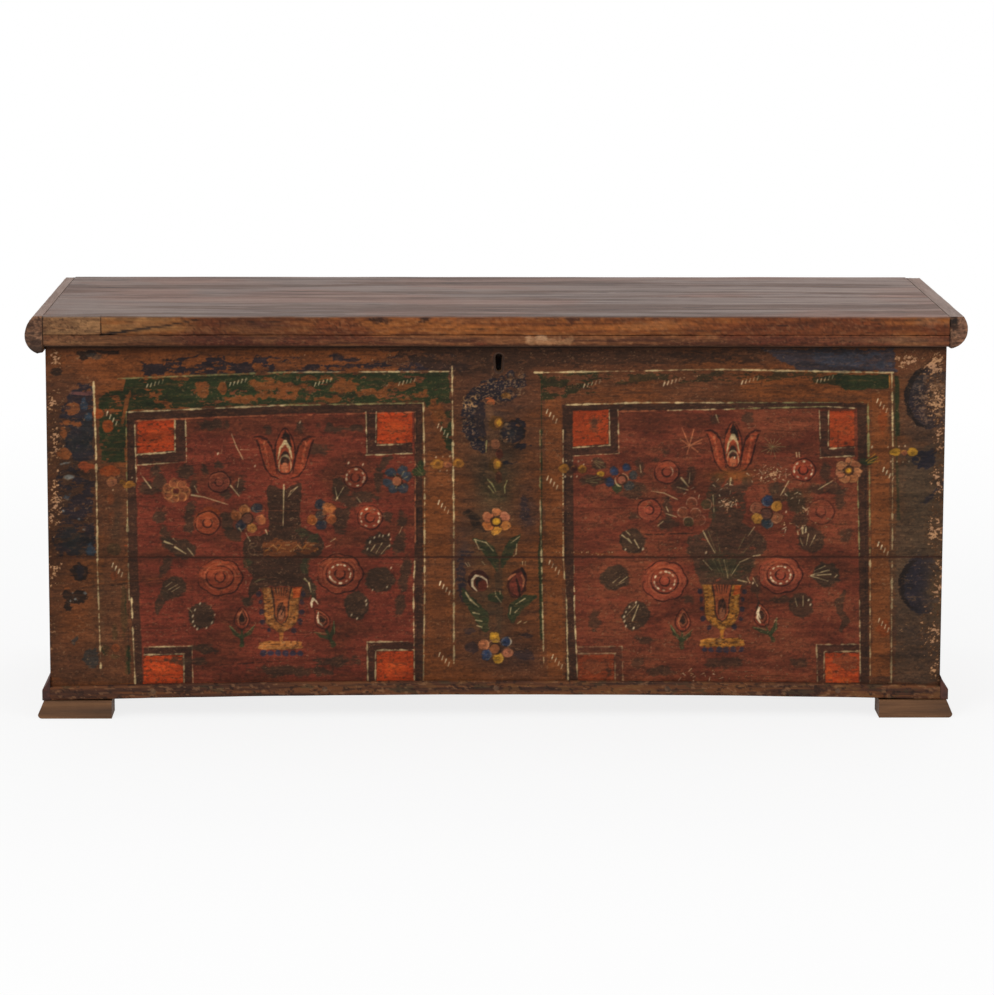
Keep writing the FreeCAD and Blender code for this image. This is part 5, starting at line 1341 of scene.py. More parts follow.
# Where the paint is lost down to the wood: centre, half widths and strength.
worn_places = (
    (56, 357, 8, 12, 1.2), (52, 405, 7, 18, 1.1), (54, 445, 8, 30, 1.1), (55, 500, 8, 44, 1.05),
    (54, 575, 9, 22, 0.9), (51, 640, 5, 30, 0.5), (55, 668, 10, 4, 0.6), (934, 366, 14, 18, 1.3),
    (937, 402, 11, 26, 1.15), (907, 361, 14, 9, 1.3), (940, 440, 7, 24, 1.0), (938, 480, 8, 26, 1.0),
    (936, 530, 10, 22, 1.15), (938, 585, 8, 34, 1.0), (932, 632, 13, 26, 0.95), (935, 668, 9, 16, 0.9),
    (285, 354, 60, 4, 0.4), (380, 357, 40, 5, 0.4), (400, 388, 16, 5, 0.3), (840, 356, 60, 6, 0.2),
    (700, 378, 130, 5, 0.25), (771, 475, 17, 9, 1.0), (729, 504, 12, 7, 0.95), (785, 526, 20, 10, 0.6),
    (805, 510, 4, 6, 0.9), (826, 527, 16, 12, 0.45), (700, 549, 70, 4, 0.3), (590, 553, 36, 3, 0.6),
    (760, 676, 60, 7, 0.35), (735, 684, 30, 3, 0.7), (470, 401, 12, 8, 0.4), (520, 385, 10, 10, 0.35),
    (505, 440, 18, 12, 0.3), (700, 672, 30, 6, 0.5), (905, 640, 16, 26, 0.3), (285, 548, 30, 5, 0.4),
    (500, 352, 8, 12, 0.3), (685, 683, 4, 1.5, 1.0),
)


# Scrapes (start, end, width and cover) and cuts (start and end).
scrapes = (
    ((65, 588.8), (97, 584), 1.8, 0.8), ((97, 584), (163, 578.3), 1.2, 0.6),
    ((858, 488), (868, 500), 0.8, 0.3), ((780, 552), (850, 549), 0.9, 0.4),
    ((575, 554), (640, 554), 2.0, 0.5), ((560, 618), (640, 622), 0.7, 0.3),
)
cuts = (
    ((64, 590.4), (163, 580)), ((130, 447), (150, 446)), ((600, 500), (668, 498)), ((220, 665), (300, 660)),
    ((640, 535), (700, 533)), ((180, 466), (230, 463)),
)
rim_pixel = 347


def darken_grain(sheet):
    """Uneven tone, dark grain lines, pale flecks and dirt."""
    brushed = layers(sheet.x / 26, sheet.y / 5, 450, 3)
    tone_change = (1 + 0.3 * (sheet.cloud - 0.5) + 0.3 * (brushed - 0.5) + 0.1 * (sheet.long - 0.5)
                   + 0.16 * (sheet.short - 0.5) + 0.2 * (sheet.fleck - 0.5))
    sheet.colour *= tone_change[..., None]
    sheet.height += 0.1 * (sheet.short - 0.5) + 0.1 * (sheet.fleck - 0.5)
    grooves = ramp(0.5 * sheet.long + 0.5 * layers(sheet.x / 16, sheet.y / 0.9, 400, 3), 0.64, 0.76)
    sheet.wash(dark_brown * 0.62, 0.26 * grooves * ramp(sheet.cloud, 0.4, 0.8))
    sheet.height -= 0.2 * grooves
    flecks = ramp(0.55 * sheet.fleck + 0.45 * layers(sheet.x / 5, sheet.y / 1.4, 410, 3), 0.68, 0.8)
    sheet.wash(tone(136, 92, 62), 0.2 * flecks)
    dirt = ramp(layers(sheet.x / 3.2, sheet.y / 2, 420, 3), 0.7, 0.84)
    sheet.wash(black, 0.26 * dirt)


def wear_away(sheet):
    """Chips down to the wood in the worn places, and a few everywhere."""
    chips = layers(sheet.x / 3.2, sheet.y / 2.1, 430, 4)
    crumbs = layers(sheet.x / 1.5, sheet.y / 1.1, 440, 3)
    for *place, strength in worn_places:
        at, near = sheet.near(*place)
        near = near * strength
        loose = 0.6 * chips[at] + 0.42 * crumbs[at] + 0.42 * near
        edge = ramp(near, 0.05, 0.35)
        reveal(sheet, at, 0.6 * ramp(loose, 0.76, 0.9) * edge, old_brown * 0.7, 0.12)
        tint = mix(bare_tan * 1.12, bare_pink, 0.6 * ramp(sheet.blotch[at], 0.4, 0.6))
        reveal(sheet, at, 0.88 * ramp(loose, 0.96, 1.06) * edge, tint, 0.35)
    scattered = ramp(0.5 * chips + 0.5 * crumbs, 0.75, 0.83) * 0.5 * ramp(sheet.cloud, 0.35, 0.7)
    reveal(sheet, ..., scattered, bare_tan * 0.8, 0.12)


def age(sheet):
    """Grain, chips, scrapes, cuts, the dark joint, the yellowed varnish and the shade under the lid."""
    darken_grain(sheet)
    wear_away(sheet)
    for start, end, width, cover in scrapes:
        sheet.rule(start, end, width, ochre_ground * 1.1, gaps=0.5, cover=cover)
    for start, end in cuts:
        sheet.rule(start, end, 0.9, black, gaps=0.4, cover=0.7, body=-0.4)
    off_seam = sheet.y - seam_pixel(sheet.x)
    sheet.wash(tone(50, 25, 19), np.exp(-(off_seam / 0.8) ** 2) * (0.35 + 0.5 * ramp(sheet.x, 100, 180)))
    sheet.wash(dark_brown * 0.7, 0.5 * np.exp(-(off_seam / 2.6) ** 2) * ramp(sheet.short, 0.4, 0.7))
    sheet.colour *= old_varnish
    sheet.wash(black, 0.7 * np.exp(-np.clip(sheet.y - rim_pixel, 0, 40) / 2.6))


# The front's part of the picture, and the seed of its noise.
front_view = (44, 330, 950, 706)
front_seed = 100


def paint_front():
    """The whole painted front, coat by coat."""
    sheet = Canvas(*front_view, front_seed)
    paint_ground(sheet)
    draw(sheet, (*rim_coats, *edge_coats, *band_coats))
    paint_fields(sheet)
    draw(sheet, corner_coats)
    paint_lines(sheet)
    draw(sheet, (*left_flowers, *right_flowers, *centre_coats, *knot_coats, *dash_rows))
    spatter(sheet)
    age(sheet)
    return sheet


# Materials. Each is a small tree of nodes, and its patterns follow the object's own place.
class Tree:
    """A material's nodes, added and joined in short calls."""

    def __init__(self, name):
        self.material = bpy.data.materials.new(name)
        self.material.use_nodes = True
        self.nodes = self.material.node_tree.nodes
        self.links = self.material.node_tree.links
        self.nodes.clear()
        self.shader = self.nodes.new("ShaderNodeBsdfPrincipled")
        output = self.nodes.new("ShaderNodeOutputMaterial")
        self.links.new(self.shader.outputs[0], output.inputs[0])

    def put(self, socket, value):
        """A link if the value is another node's socket, or else a plain number or colour."""
        if isinstance(value, bpy.types.NodeSocket):
            self.links.new(value, socket)
        else:
            socket.default_value = value

    def place(self, scale):
        """The point's own place in metres, scaled per axis."""
        source = self.nodes.new("ShaderNodeTexCoord")
        mapping = self.nodes.new("ShaderNodeMapping")
        mapping.inputs["Scale"].default_value = scale
        self.links.new(source.outputs["Object"], mapping.inputs["Vector"])
        return mapping.outputs[0]

    def noise(self, vector, scale, detail=4, rough=0.55, warp=0.0):
        node = self.nodes.new("ShaderNodeTexNoise")
        node.inputs["Scale"].default_value = scale
        node.inputs["Detail"].default_value = detail
        node.inputs["Roughness"].default_value = rough
        node.inputs["Distortion"].default_value = warp
        self.links.new(vector, node.inputs["Vector"])
        return node.outputs["Fac"]

    def cells(self, vector, scale, feature="DISTANCE_TO_EDGE"):
        node = self.nodes.new("ShaderNodeTexVoronoi")
        node.feature = feature
        node.inputs["Scale"].default_value = scale
        self.links.new(vector, node.inputs["Vector"])
        return node.outputs["Distance"]

    def ramp(self, value, stops):
        """Numbers or colours set along a value from 0 to 1."""
        node = self.nodes.new("ShaderNodeValToRGB")
        band = node.color_ramp
        while len(band.elements) < len(stops):
            band.elements.new(0.5)
        for element, (place, colour) in zip(band.elements, stops):
            element.position = place
            if isinstance(colour, (int, float)):
                element.color = (colour, colour, colour, 1)
            else:
                element.color = shader_tone(colour)
        self.put(node.inputs[0], value)
        return node.outputs[0]

    def math(self, kind, first, second=0.5, third=None):
        node = self.nodes.new("ShaderNodeMath")
        node.operation = kind
        self.put(node.inputs[0], first)
        self.put(node.inputs[1], second)
        if third is not None:
            self.put(node.inputs[2], third)
        return node.outputs[0]

    def blend(self, kind, share, first, second):
        node = self.nodes.new("ShaderNodeMix")
        node.data_type = "RGBA"
        node.blend_type = kind
        self.put(node.inputs["Factor"], share)
        self.put(node.inputs[6], first)
        self.put(node.inputs[7], second)
        return node.outputs[2]

    def attribute(self, name, output="Color"):
        node = self.nodes.new("ShaderNodeAttribute")
        node.attribute_name = name
        return node.outputs[output]

    def bump(self, height, strength, distance):
        node = self.nodes.new("ShaderNodeBump")
        node.inputs["Strength"].default_value = strength
        node.inputs["Distance"].default_value = distance
        self.links.new(height, node.inputs["Height"])
        return node.outputs[0]

    def finish(self, colour, roughness, normal, specular=0.35, coat=0.0, metallic=0.0):
        self.put(self.shader.inputs["Base Color"], colour)
        self.put(self.shader.inputs["Roughness"], roughness)
        self.links.new(normal, self.shader.inputs["Normal"])
        self.shader.inputs["Specular IOR Level"].default_value = specular
        self.shader.inputs["Metallic"].default_value = metallic
        self.shader.inputs["Coat Weight"].default_value = coat
        self.shader.inputs["Coat Roughness"].default_value = 0.35
        return self.material


def painted_material(name):
    """Old paint: the colour comes from the vertices, and fine grain and dirt lie over it."""
    t = Tree(name)
    fine = t.noise(t.place((34, 500, 620)), 1.0, detail=6, rough=0.65)
    grit = t.noise(t.place((1, 1, 1)), 850, detail=3)
    crazing = t.cells(t.place((1, 1, 2.4)), 260)
    tint = t.attribute("tint")
    worn = t.attribute("worn", "Fac")
    streaked = t.blend("MULTIPLY", 0.16, tint, t.ramp(fine, ((0.34, 0.45), (0.5, 0.9), (0.64, 1.0))))
    gritty = t.blend("MULTIPLY", 0.24, streaked, t.ramp(grit, ((0.36, 0.5), (0.52, 1.0))))
    cracked = t.blend("MULTIPLY", 0.2, gritty, t.ramp(crazing, ((0.0, 0.3), (0.06, 1.0))))
    rough = t.math("MULTIPLY_ADD", worn, 0.2, t.ramp(fine, ((0.3, 0.7), (0.7, 0.56))))
    relief = t.math("MULTIPLY_ADD", grit, 0.4, t.math("MULTIPLY_ADD", crazing, 0.3, fine))
    return t.finish(cracked, rough, t.bump(relief, 0.45, 0.0007), specular=0.12)


def stretched(along, across, long_axis):
    """Scales for a pattern that is drawn out along one axis."""
    return [along if axis == long_axis else across for axis in "xyz"]


def tinted_wood(name, long_axis):
    """Bare or stained old wood that takes its main colour from the vertices."""
    t = Tree(name)
    fine = t.noise(t.place(stretched(22, 420, long_axis)), 1.0, detail=6, rough=0.7, warp=0.4)
    pores = t.noise(t.place((1, 1, 1)), 900, detail=3)
    tint = t.attribute("tint")
    streaked = t.blend("MULTIPLY", 0.36, tint, t.ramp(fine, ((0.34, 0.42), (0.5, 0.9), (0.66, 1.0))))
    pored = t.blend("MULTIPLY", 0.3, streaked, t.ramp(pores, ((0.36, 0.45), (0.5, 0.98))))
    rough = t.ramp(fine, ((0.3, 0.78), (0.7, 0.6)))
    relief = t.math("MULTIPLY_ADD", fine, 0.7, t.math("MULTIPLY", pores, 0.5))
    return t.finish(pored, rough, t.bump(relief, 0.55, 0.0008), specular=0.16)


def plain_wood(name, long_axis, light, middle, dark, rough=0.7, knots=False):
    """Old boards with no colour of their own in the vertices: grain, stains and knots."""
    t = Tree(name)
    fine = t.noise(t.place(stretched(4, 220, long_axis)), 1.0, detail=6, rough=0.7, warp=0.5)
    bands = t.noise(t.place(stretched(1.3, 26, long_axis)), 1.0, detail=5, rough=0.6, warp=2.0)
    stain = t.noise(t.place((3, 3, 3)), 2.2, detail=5, rough=0.6)
    grain = t.ramp(bands, ((0.32, dark), (0.48, middle), (0.66, light)))
    streaked = t.blend("MULTIPLY", 0.6, grain, t.ramp(fine, ((0.3, 0.4), (0.5, 0.85), (0.68, 1.0))))
    dirty = t.blend("MULTIPLY", 0.5, streaked, t.ramp(stain, ((0.34, 0.35), (0.6, 1.0))))
    if knots:
        eyes = t.cells(t.place(stretched(2.0, 7, long_axis)), 1.0, "F1")
        dirty = t.blend("MULTIPLY", 0.8, dirty, t.ramp(eyes, ((0.03, 0.25), (0.075, 0.6), (0.11, 1.0))))
    relief = t.math("MULTIPLY_ADD", bands, 0.5, fine)
    roughness = t.ramp(fine, ((0.3, min(1.0, rough + 0.15)), (0.7, rough - 0.1)))
    return t.finish(dirty, roughness, t.bump(relief, 0.5, 0.0009), specular=0.3)


def side_material():
    """The ends: thin brown paint, rubbed through to the wood along edges and in streaks."""
    t = Tree("worn_side_paint")
    fine = t.noise(t.place((220, 4, 220)), 1.0, detail=6, rough=0.7, warp=0.5)
    bands = t.noise(t.place((24, 1.6, 24)), 1.0, detail=5, rough=0.6, warp=1.6)
    cloud = t.noise(t.place((4, 4, 4)), 1.6, detail=5, rough=0.6)
    chips = t.noise(t.place((46, 14, 46)), 1.0, detail=7, rough=0.72, warp=0.6)
    wood = t.ramp(bands, ((0.34, tone(92, 62, 42)), (0.5, tone(134, 94, 62)), (0.66, tone(160, 120, 82))))
    paint = t.ramp(cloud, ((0.3, tone(62, 42, 32)), (0.48, tone(98, 58, 36)), (0.62, tone(118, 68, 36)),
                           (0.75, tone(78, 62, 50))))
    streaked = t.blend("MULTIPLY", 0.55, paint, t.ramp(fine, ((0.3, 0.45), (0.5, 0.85), (0.68, 1.0))))
    geometry = t.nodes.new("ShaderNodeSeparateXYZ")
    t.links.new(t.place((1, 1, 1)), geometry.inputs[0])
    middle = float((front_y + back_y) / 2) * mm
    reach = float(back_y - front_y) / 2 * mm
    off = t.math("ABSOLUTE", t.math("SUBTRACT", geometry.outputs[1], middle))
    near_corner = t.math("MULTIPLY", t.math("SUBTRACT", off, reach - 0.05), 5.0)
    near_foot = t.math("MULTIPLY", t.math("SUBTRACT", 0.11, geometry.outputs[2]), 2.2)
    edge = t.math("MAXIMUM", t.math("MAXIMUM", near_corner, near_foot), 0.0)
    lost = t.ramp(t.math("ADD", t.math("MULTIPLY_ADD", edge, 0.55, chips), t.math("MULTIPLY", cloud, 0.25)),
                  ((0.7, 0.0), (0.78, 1.0)))
    bare = t.blend("MULTIPLY", 0.5, wood, t.ramp(fine, ((0.3, 0.5), (0.6, 1.0))))
    colour = t.blend("MIX", lost, streaked, bare)
    relief = t.math("MULTIPLY_ADD", lost, -0.6, t.math("MULTIPLY_ADD", bands, 0.3, fine))
    roughness = t.math("MULTIPLY_ADD", lost, 0.22, t.ramp(fine, ((0.3, 0.66), (0.7, 0.48))))
    return t.finish(colour, roughness, t.bump(relief, 0.5, 0.0009), specular=0.35, coat=0.04)


def iron_material():
    """Forged iron with a dark skin, hammer marks and rust in the hollows."""
    t = Tree("forged_iron")
    hammer = t.noise(t.place((1, 1, 1)), 70, detail=2, rough=0.4)
    fine = t.noise(t.place((1, 1, 1)), 420, detail=5, rough=0.7)
    rust = t.noise(t.place((1, 1, 1)), 38, detail=6, rough=0.7)
    skin = t.ramp(hammer, ((0.35, tone(44, 40, 38)), (0.6, tone(76, 70, 66))))
    colour = t.blend("MIX", t.ramp(rust, ((0.5, 0.0), (0.66, 0.85))), skin,
                     t.ramp(fine, ((0.35, tone(70, 36, 22)), (0.65, tone(128, 70, 38)))))
    roughness = t.ramp(rust, ((0.42, 0.42), (0.62, 0.85)))
    relief = t.math("MULTIPLY_ADD", hammer, 1.6, fine)
    return t.finish(colour, roughness, t.bump(relief, 0.6, 0.0006), specular=0.5, metallic=0.6)


# Meshes.
def add_piece(mesh, material, body, replaced=()):
    """A new piece from a mesh, riding on a body of the frame."""
    mesh.materials.append(material)
    piece = bpy.data.objects.new(mesh.name, mesh)
    bpy.context.scene.collection.objects.link(piece)
    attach(piece, body)
    if replaced:
        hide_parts(*replaced)
    return piece


def worn_piece(node, verts, faces, material, body):
    """The worn copy that stands in for a piece of the frame, from vertices in millimetres."""
    mesh = bpy.data.meshes.new(node + "_worn")
    mesh.from_pydata((np.asarray(verts) * mm).tolist(), [], faces)
    mesh.validate()
    piece = add_piece(mesh, material, body, [node])
    close_normals(piece)
    return piece


def set_colours(piece, colours, worn=None):
    """The vertices' paint, given as screen colours."""
    mesh = piece.data
    layer = mesh.color_attributes.new("tint", "FLOAT_COLOR", "POINT")
    values = np.ones((len(mesh.vertices), 4), np.float32)
    values[:, :3] = to_linear(colours)
    layer.data.foreach_set("color", values.ravel())
    if worn is not None:
        wear = mesh.attributes.new("worn", "FLOAT", "POINT")
        wear.data.foreach_set("value", np.asarray(worn, np.float32))


def smooth(piece, angle=38):
    piece.data.shade_smooth()
    piece.data.set_sharp_from_angle(angle=math.radians(angle))


def vertices_of(piece):
    values = np.zeros(len(piece.data.vertices) * 3)
    piece.data.vertices.foreach_get("co", values)
    return values.reshape(-1, 3) / mm


# How far round the lock's plate the keyhole's corners are looked for, how near two places count as one, and
# how far up the front's bowed lower edge is looked for.
hole_reach, hole_drop, rim_margin = 60, 20, 10
same_place = 0.1
bow_reach = 12


def keyhole_outline():
    """The keyhole's corners on the painted face, in order round its middle."""
    points = points_of("front_upper_board")
    plate_foot = box_of("lock_plate")[0][2]
    near = (np.abs(points[:, 1] - front_y) < same_place) & (np.abs(points[:, 0]) < hole_reach)
    near &= (points[:, 2] > plate_foot - hole_drop) & (points[:, 2] < rim_z - rim_margin)
    rim = points[near]
    cx, cz = rim[:, 0].mean(), (rim[:, 2].min() + rim[:, 2].max()) / 2
    order = np.argsort(np.arctan2(rim[:, 2] - cz, rim[:, 0] - cx))
    return [(float(rim[k, 0]), float(rim[k, 2])) for k in order]


def nearest_on_outline(px, pz, outline):
    """The place on an outline that is nearest to a point."""
    best, spot = 1e9, (px, pz)
    for (x0, z0), (x1, z1) in zip(outline, outline[1:] + outline[:1]):
        dx, dz = x1 - x0, z1 - z0
        t = min(1, max(0, ((px - x0) * dx + (pz - z0) * dz) / (dx * dx + dz * dz + 1e-9)))
        x, z = x0 + t * dx, z0 + t * dz
        gap = math.hypot(px - x, pz - z)
        if gap < best:
            best, spot = gap, (x, z)
    return spot


# The film's relief: how deep grain and swell go, how wide its edges are rounded, and what always stays.
film_grain, film_swell = 0.32, 0.35
film_round, film_round_width = 1.1, 2.2
film_least = 0.06


def film_grid(sheet, low_line, high_line):
    """The film's front face: its points, which follow the board's outline, and its quads."""
    columns = int(2 * half_width / paint_step)
    xs = np.linspace(-half_width, half_width, columns + 1)
    low, high = low_line(xs), high_line(xs)
    rows = int((high.max() - low.min()) / paint_step)
    share = np.linspace(0, 1, rows + 1)[:, None]
    z = low[None, :] * (1 - share) + high[None, :] * share
    x = np.broadcast_to(xs, z.shape)
    px, py = front_pixels(x.ravel(), z.ravel())
    height = sheet.sample(sheet.height, px, py).reshape(z.shape)
    grain = layers(px / 60, py / 1.6, 700, 4).reshape(z.shape)
    swell = layers(px / 120, py / 60, 710, 3).reshape(z.shape)
    edge_gap = np.minimum(np.minimum(half_width - x, half_width + x), np.minimum(z - low, high - z))
    rounding = film_round * np.clip(1 - edge_gap / film_round_width, 0, 1) ** 2
    sunk = film_grain * (1 - grain) + film_swell * swell - height + rounding
    y = front_y - paint_proud + np.clip(sunk, 0, paint_proud - film_least)
    front = np.stack([x.ravel(), y.ravel(), z.ravel()], axis=1)
    grid = np.arange(front.shape[0]).reshape(z.shape)
    quads = np.stack([grid[:-1, :-1], grid[:-1, 1:], grid[1:, 1:], grid[1:, :-1]], axis=-1).reshape(-1, 4)
    return front, quads


def cut_keyhole(front, quads):
    """The quads in the keyhole are left out, and the points round it move to its rim."""
    outline = keyhole_outline()
    inside = outline_distance(front[:, 0], front[:, 2], outline) < 0
    cut = inside[quads].any(axis=1)
    kept = quads[~cut]
    around = np.unique(quads[cut])
    for k in around[np.isin(around, kept)]:
        front[k, 0], front[k, 2] = nearest_on_outline(front[k, 0], front[k, 2], outline)
    used = np.unique(kept)
    renumber = np.full(front.shape[0], -1)
    renumber[used] = np.arange(len(used))
    return front[used], renumber[kept]


def close_film(mesh):
    """The film's open edges go back to a flat rear face."""
    build = bmesh.new()
    build.from_mesh(mesh)
    made = bmesh.ops.extrude_edge_only(build, edges=[e for e in build.edges if e.is_boundary])
    for v in made["geom"]:
        if isinstance(v, bmesh.types.BMVert):
            v.co.y = (front_y + paint_back) * mm
    new_edges = [e for e in made["geom"] if isinstance(e, bmesh.types.BMEdge)]
    bmesh.ops.triangle_fill(build, edges=new_edges, use_beauty=False)
    bmesh.ops.recalc_face_normals(build, faces=build.faces)
    build.to_mesh(mesh)
    build.free()


def paint_skin(name, sheet, low_line, high_line, material, with_keyhole=False):
    """The paint on one front board: a thin closed film that follows the board's outline."""
    front, quads = film_grid(sheet, low_line, high_line)
    if with_keyhole:
        front, quads = cut_keyhole(front, quads)
    mesh = bpy.data.meshes.new(name)
    mesh.from_pydata((front * mm).tolist(), [], quads.tolist())
    close_film(mesh)
    piece = add_piece(mesh, material, "carcass")
    points = vertices_of(piece)
    px, py = front_pixels(points[:, 0], points[:, 2])
    set_colours(piece, sheet.sample(sheet.colour, px, py), sheet.sample(sheet.worn, px, py))
    smooth(piece, 50)


def level(height):
    """A line at one height, for any places along it."""
    return lambda x: np.full(x.shape, height)


def bow_line(node):
    """The height of a board's lower front edge at any place along it, from its own corners."""
    points = points_of(node)
    near = (np.abs(points[:, 1] - front_y) < same_place) & (points[:, 2] < foot_z + bow_reach)
    corners = points[near]
    corners = corners[np.argsort(corners[:, 0])]
    return lambda x: np.interp(x, corners[:, 0], corners[:, 2])


def rounded_section(corners, step):
    """A closed outline with round corners. Each corner is its two places and its radius."""
    points = []
    count = len(corners)
    for k in range(count):
        (ax, ay, _), (bx, by, r), (cx, cy, _) = corners[k - 1], corners[k], corners[(k + 1) % count]
        first = np.array([ax - bx, ay - by], float)
        second = np.array([cx - bx, cy - by], float)
        first /= np.linalg.norm(first)
        second /= np.linalg.norm(second)
        half_angle = math.acos(max(-1, min(1, float(first @ second)))) / 2
        run = r / math.tan(half_angle)
        start, end = np.array([bx, by]) + first * run, np.array([bx, by]) + second * run
        middle = np.array([bx, by]) + (first + second) / np.linalg.norm(first + second) * (
            r / math.sin(half_angle))
        pieces = max(2, int(math.ceil(r * (math.pi - 2 * half_angle) / step)))
        for j in range(pieces + 1):
            t = j / pieces
            spoke = (start - middle) * (1 - t) + (end - middle) * t
            points.append(middle + spoke / np.linalg.norm(spoke) * r)
    dense = []
    for p, q in zip(points, points[1:] + points[:1]):
        parts = max(1, int(round(np.linalg.norm(q - p) / step)))
        dense += [p + (q - p) * j / parts for j in range(parts)]
    return np.array(dense)


def outward(section):
    """Unit normals of a closed outline, pointing out."""
    along = np.roll(section, -1, axis=0) - np.roll(section, 1, axis=0)
    normal = np.stack([along[:, 1], -along[:, 0]], axis=1)
    normal /= np.linalg.norm(normal, axis=1)[:, None] + 1e-9
    area = np.sum(section[:, 0] * np.roll(section[:, 1], -1) - np.roll(section[:, 0], -1) * section[:, 1])
    return normal if area > 0 else -normal


def swept(section, along, axis, relief, end_round=1.5, shape=None):
    """A board: its section carried along x or y, worn by relief, with eased ends.

    relief(a, u, v) gives how far each point sinks, where a is the place along the board.
    shape(a, points), if there is one, moves the section's points there."""
    normal = outward(section)
    start, end = along[0], along[-1]
    eased = np.unique(np.concatenate([along, [start + end_round * s for s in (0.3, 1.0)],
                                      [end - end_round * s for s in (0.3, 1.0)]]))
    rows = []
    for a in eased:
        from_end = min(a - start, end - a)
        ease = max(0.0, 1 - from_end / end_round)
        inset = end_round * (1 - math.sqrt(max(0.0, 1 - ease * ease)))
        sink = inset + relief(np.full(len(section), a), section[:, 0], section[:, 1])
        points = section - normal * sink[:, None]
        if shape:
            points = shape(a, points)
        place = np.full(len(points), a)
        columns = (place, points[:, 0], points[:, 1]) if axis == "x" else (points[:, 0], place, points[:, 1])
        rows.append(np.stack(columns, axis=1))
    verts = np.concatenate(rows)
    n, m = len(eased), len(section)
    faces = []
    for i in range(n - 1):
        base, above = i * m, (i + 1) * m
        for j in range(m):
            k = (j + 1) % m
            faces.append((base + j, base + k, above + k, above + j))
    faces.append(tuple(range(m)))
    faces.append(tuple(range((n - 1) * m, n * m)))
    return verts, faces


def close_normals(piece):
    """All faces look outwards."""
    build = bmesh.new()
    build.from_mesh(piece.data)
    bmesh.ops.recalc_face_normals(build, faces=build.faces)
    build.to_mesh(piece.data)
    build.free()


# The lid's front edge in the photograph.
lid_left_pixel, lid_right_pixel = 45.5, 948.8
lid_top_pixel, lip_foot_pixel = 316.5, 347.2
lip_line_pixel = 335.6
patch_right_pixel = 103.2


def edge_pixels(x, z):
    """Where a point of the lid's front edge lies in the photograph."""
    px = lid_left_pixel + (x - lid_low[0]) / (lid_high[0] - lid_low[0]) * (lid_right_pixel - lid_left_pixel)
    py = lid_top_pixel + (lid_high[2] - z) / (lid_high[2] - lip_low[2]) * (lip_foot_pixel - lid_top_pixel)
    return px, py


edge_light, edge_middle, edge_dark = tone(142, 82, 38), tone(116, 62, 28), tone(70, 37, 22)
edge_red, edge_tan = tone(96, 46, 26), tone(152, 106, 62)
lip_light, lip_dark, lip_red = tone(120, 74, 44), tone(78, 44, 28), tone(92, 40, 26)
patch_light, patch_dark = tone(158, 114, 74), tone(130, 90, 58)
cleat_light, cleat_dark, cleat_top = tone(152, 110, 82), tone(78, 55, 43), tone(162, 138, 126)


# The edge's part of the picture and the seed of its noise.
edge_view = (20, 308, 972, 360)
edge_seed = 300
edge_left, edge_top, edge_right, edge_foot = edge_view

# Clouds and stains on the edge: centre, half widths, colour and cover.
edge_clouds = (
    (70, 342, 36, 5, tone(142, 98, 62), 0.8), (150, 340, 40, 4, tone(116, 74, 46), 0.6),
    (140, 324, 34, 5, tone(152, 108, 66), 0.5), (885, 340, 56, 3.5, tone(132, 94, 64), 0.5),
)
edge_stains = (
    (382, 320.5, 8, 3, edge_dark * 0.6, 0.85), (425, 319.5, 4, 2.8, edge_dark * 0.5, 0.85),
    (570, 319, 10, 2.5, edge_dark * 0.8, 0.7), (553, 341, 25, 3.6, tone(168, 124, 86), 0.6),
    (538, 338, 9, 2.2, tone(190, 148, 112), 0.6), (600, 319, 60, 2, edge_dark, 0.5),
    (845, 326, 60, 5, edge_dark * 1.1, 0.35), (700, 342, 90, 3, edge_dark, 0.4),
    (150, 325, 44, 3, tone(150, 98, 58), 0.5), (250, 330, 60, 4, tone(136, 86, 50), 0.4),
    (62, 342, 16, 3, tone(140, 92, 58), 0.5), (930, 322, 14, 4, tone(130, 90, 66), 0.5),
    (660, 326, 40, 4, tone(140, 88, 52), 0.5), (480, 322, 30, 3, tone(146, 92, 54), 0.5),
)
edge_arc_count = 9
edge_split = ((103, 335.5), (130, 331), (165, 326.5), (199, 320))
edge_cracks = (
    ((440, 330), (520, 328)), ((640, 332), (720, 330.5)), ((760, 325), (830, 327)),
    ((870, 320), (940, 321)), ((220, 323), (300, 321)), ((540, 325), (620, 327)),
)


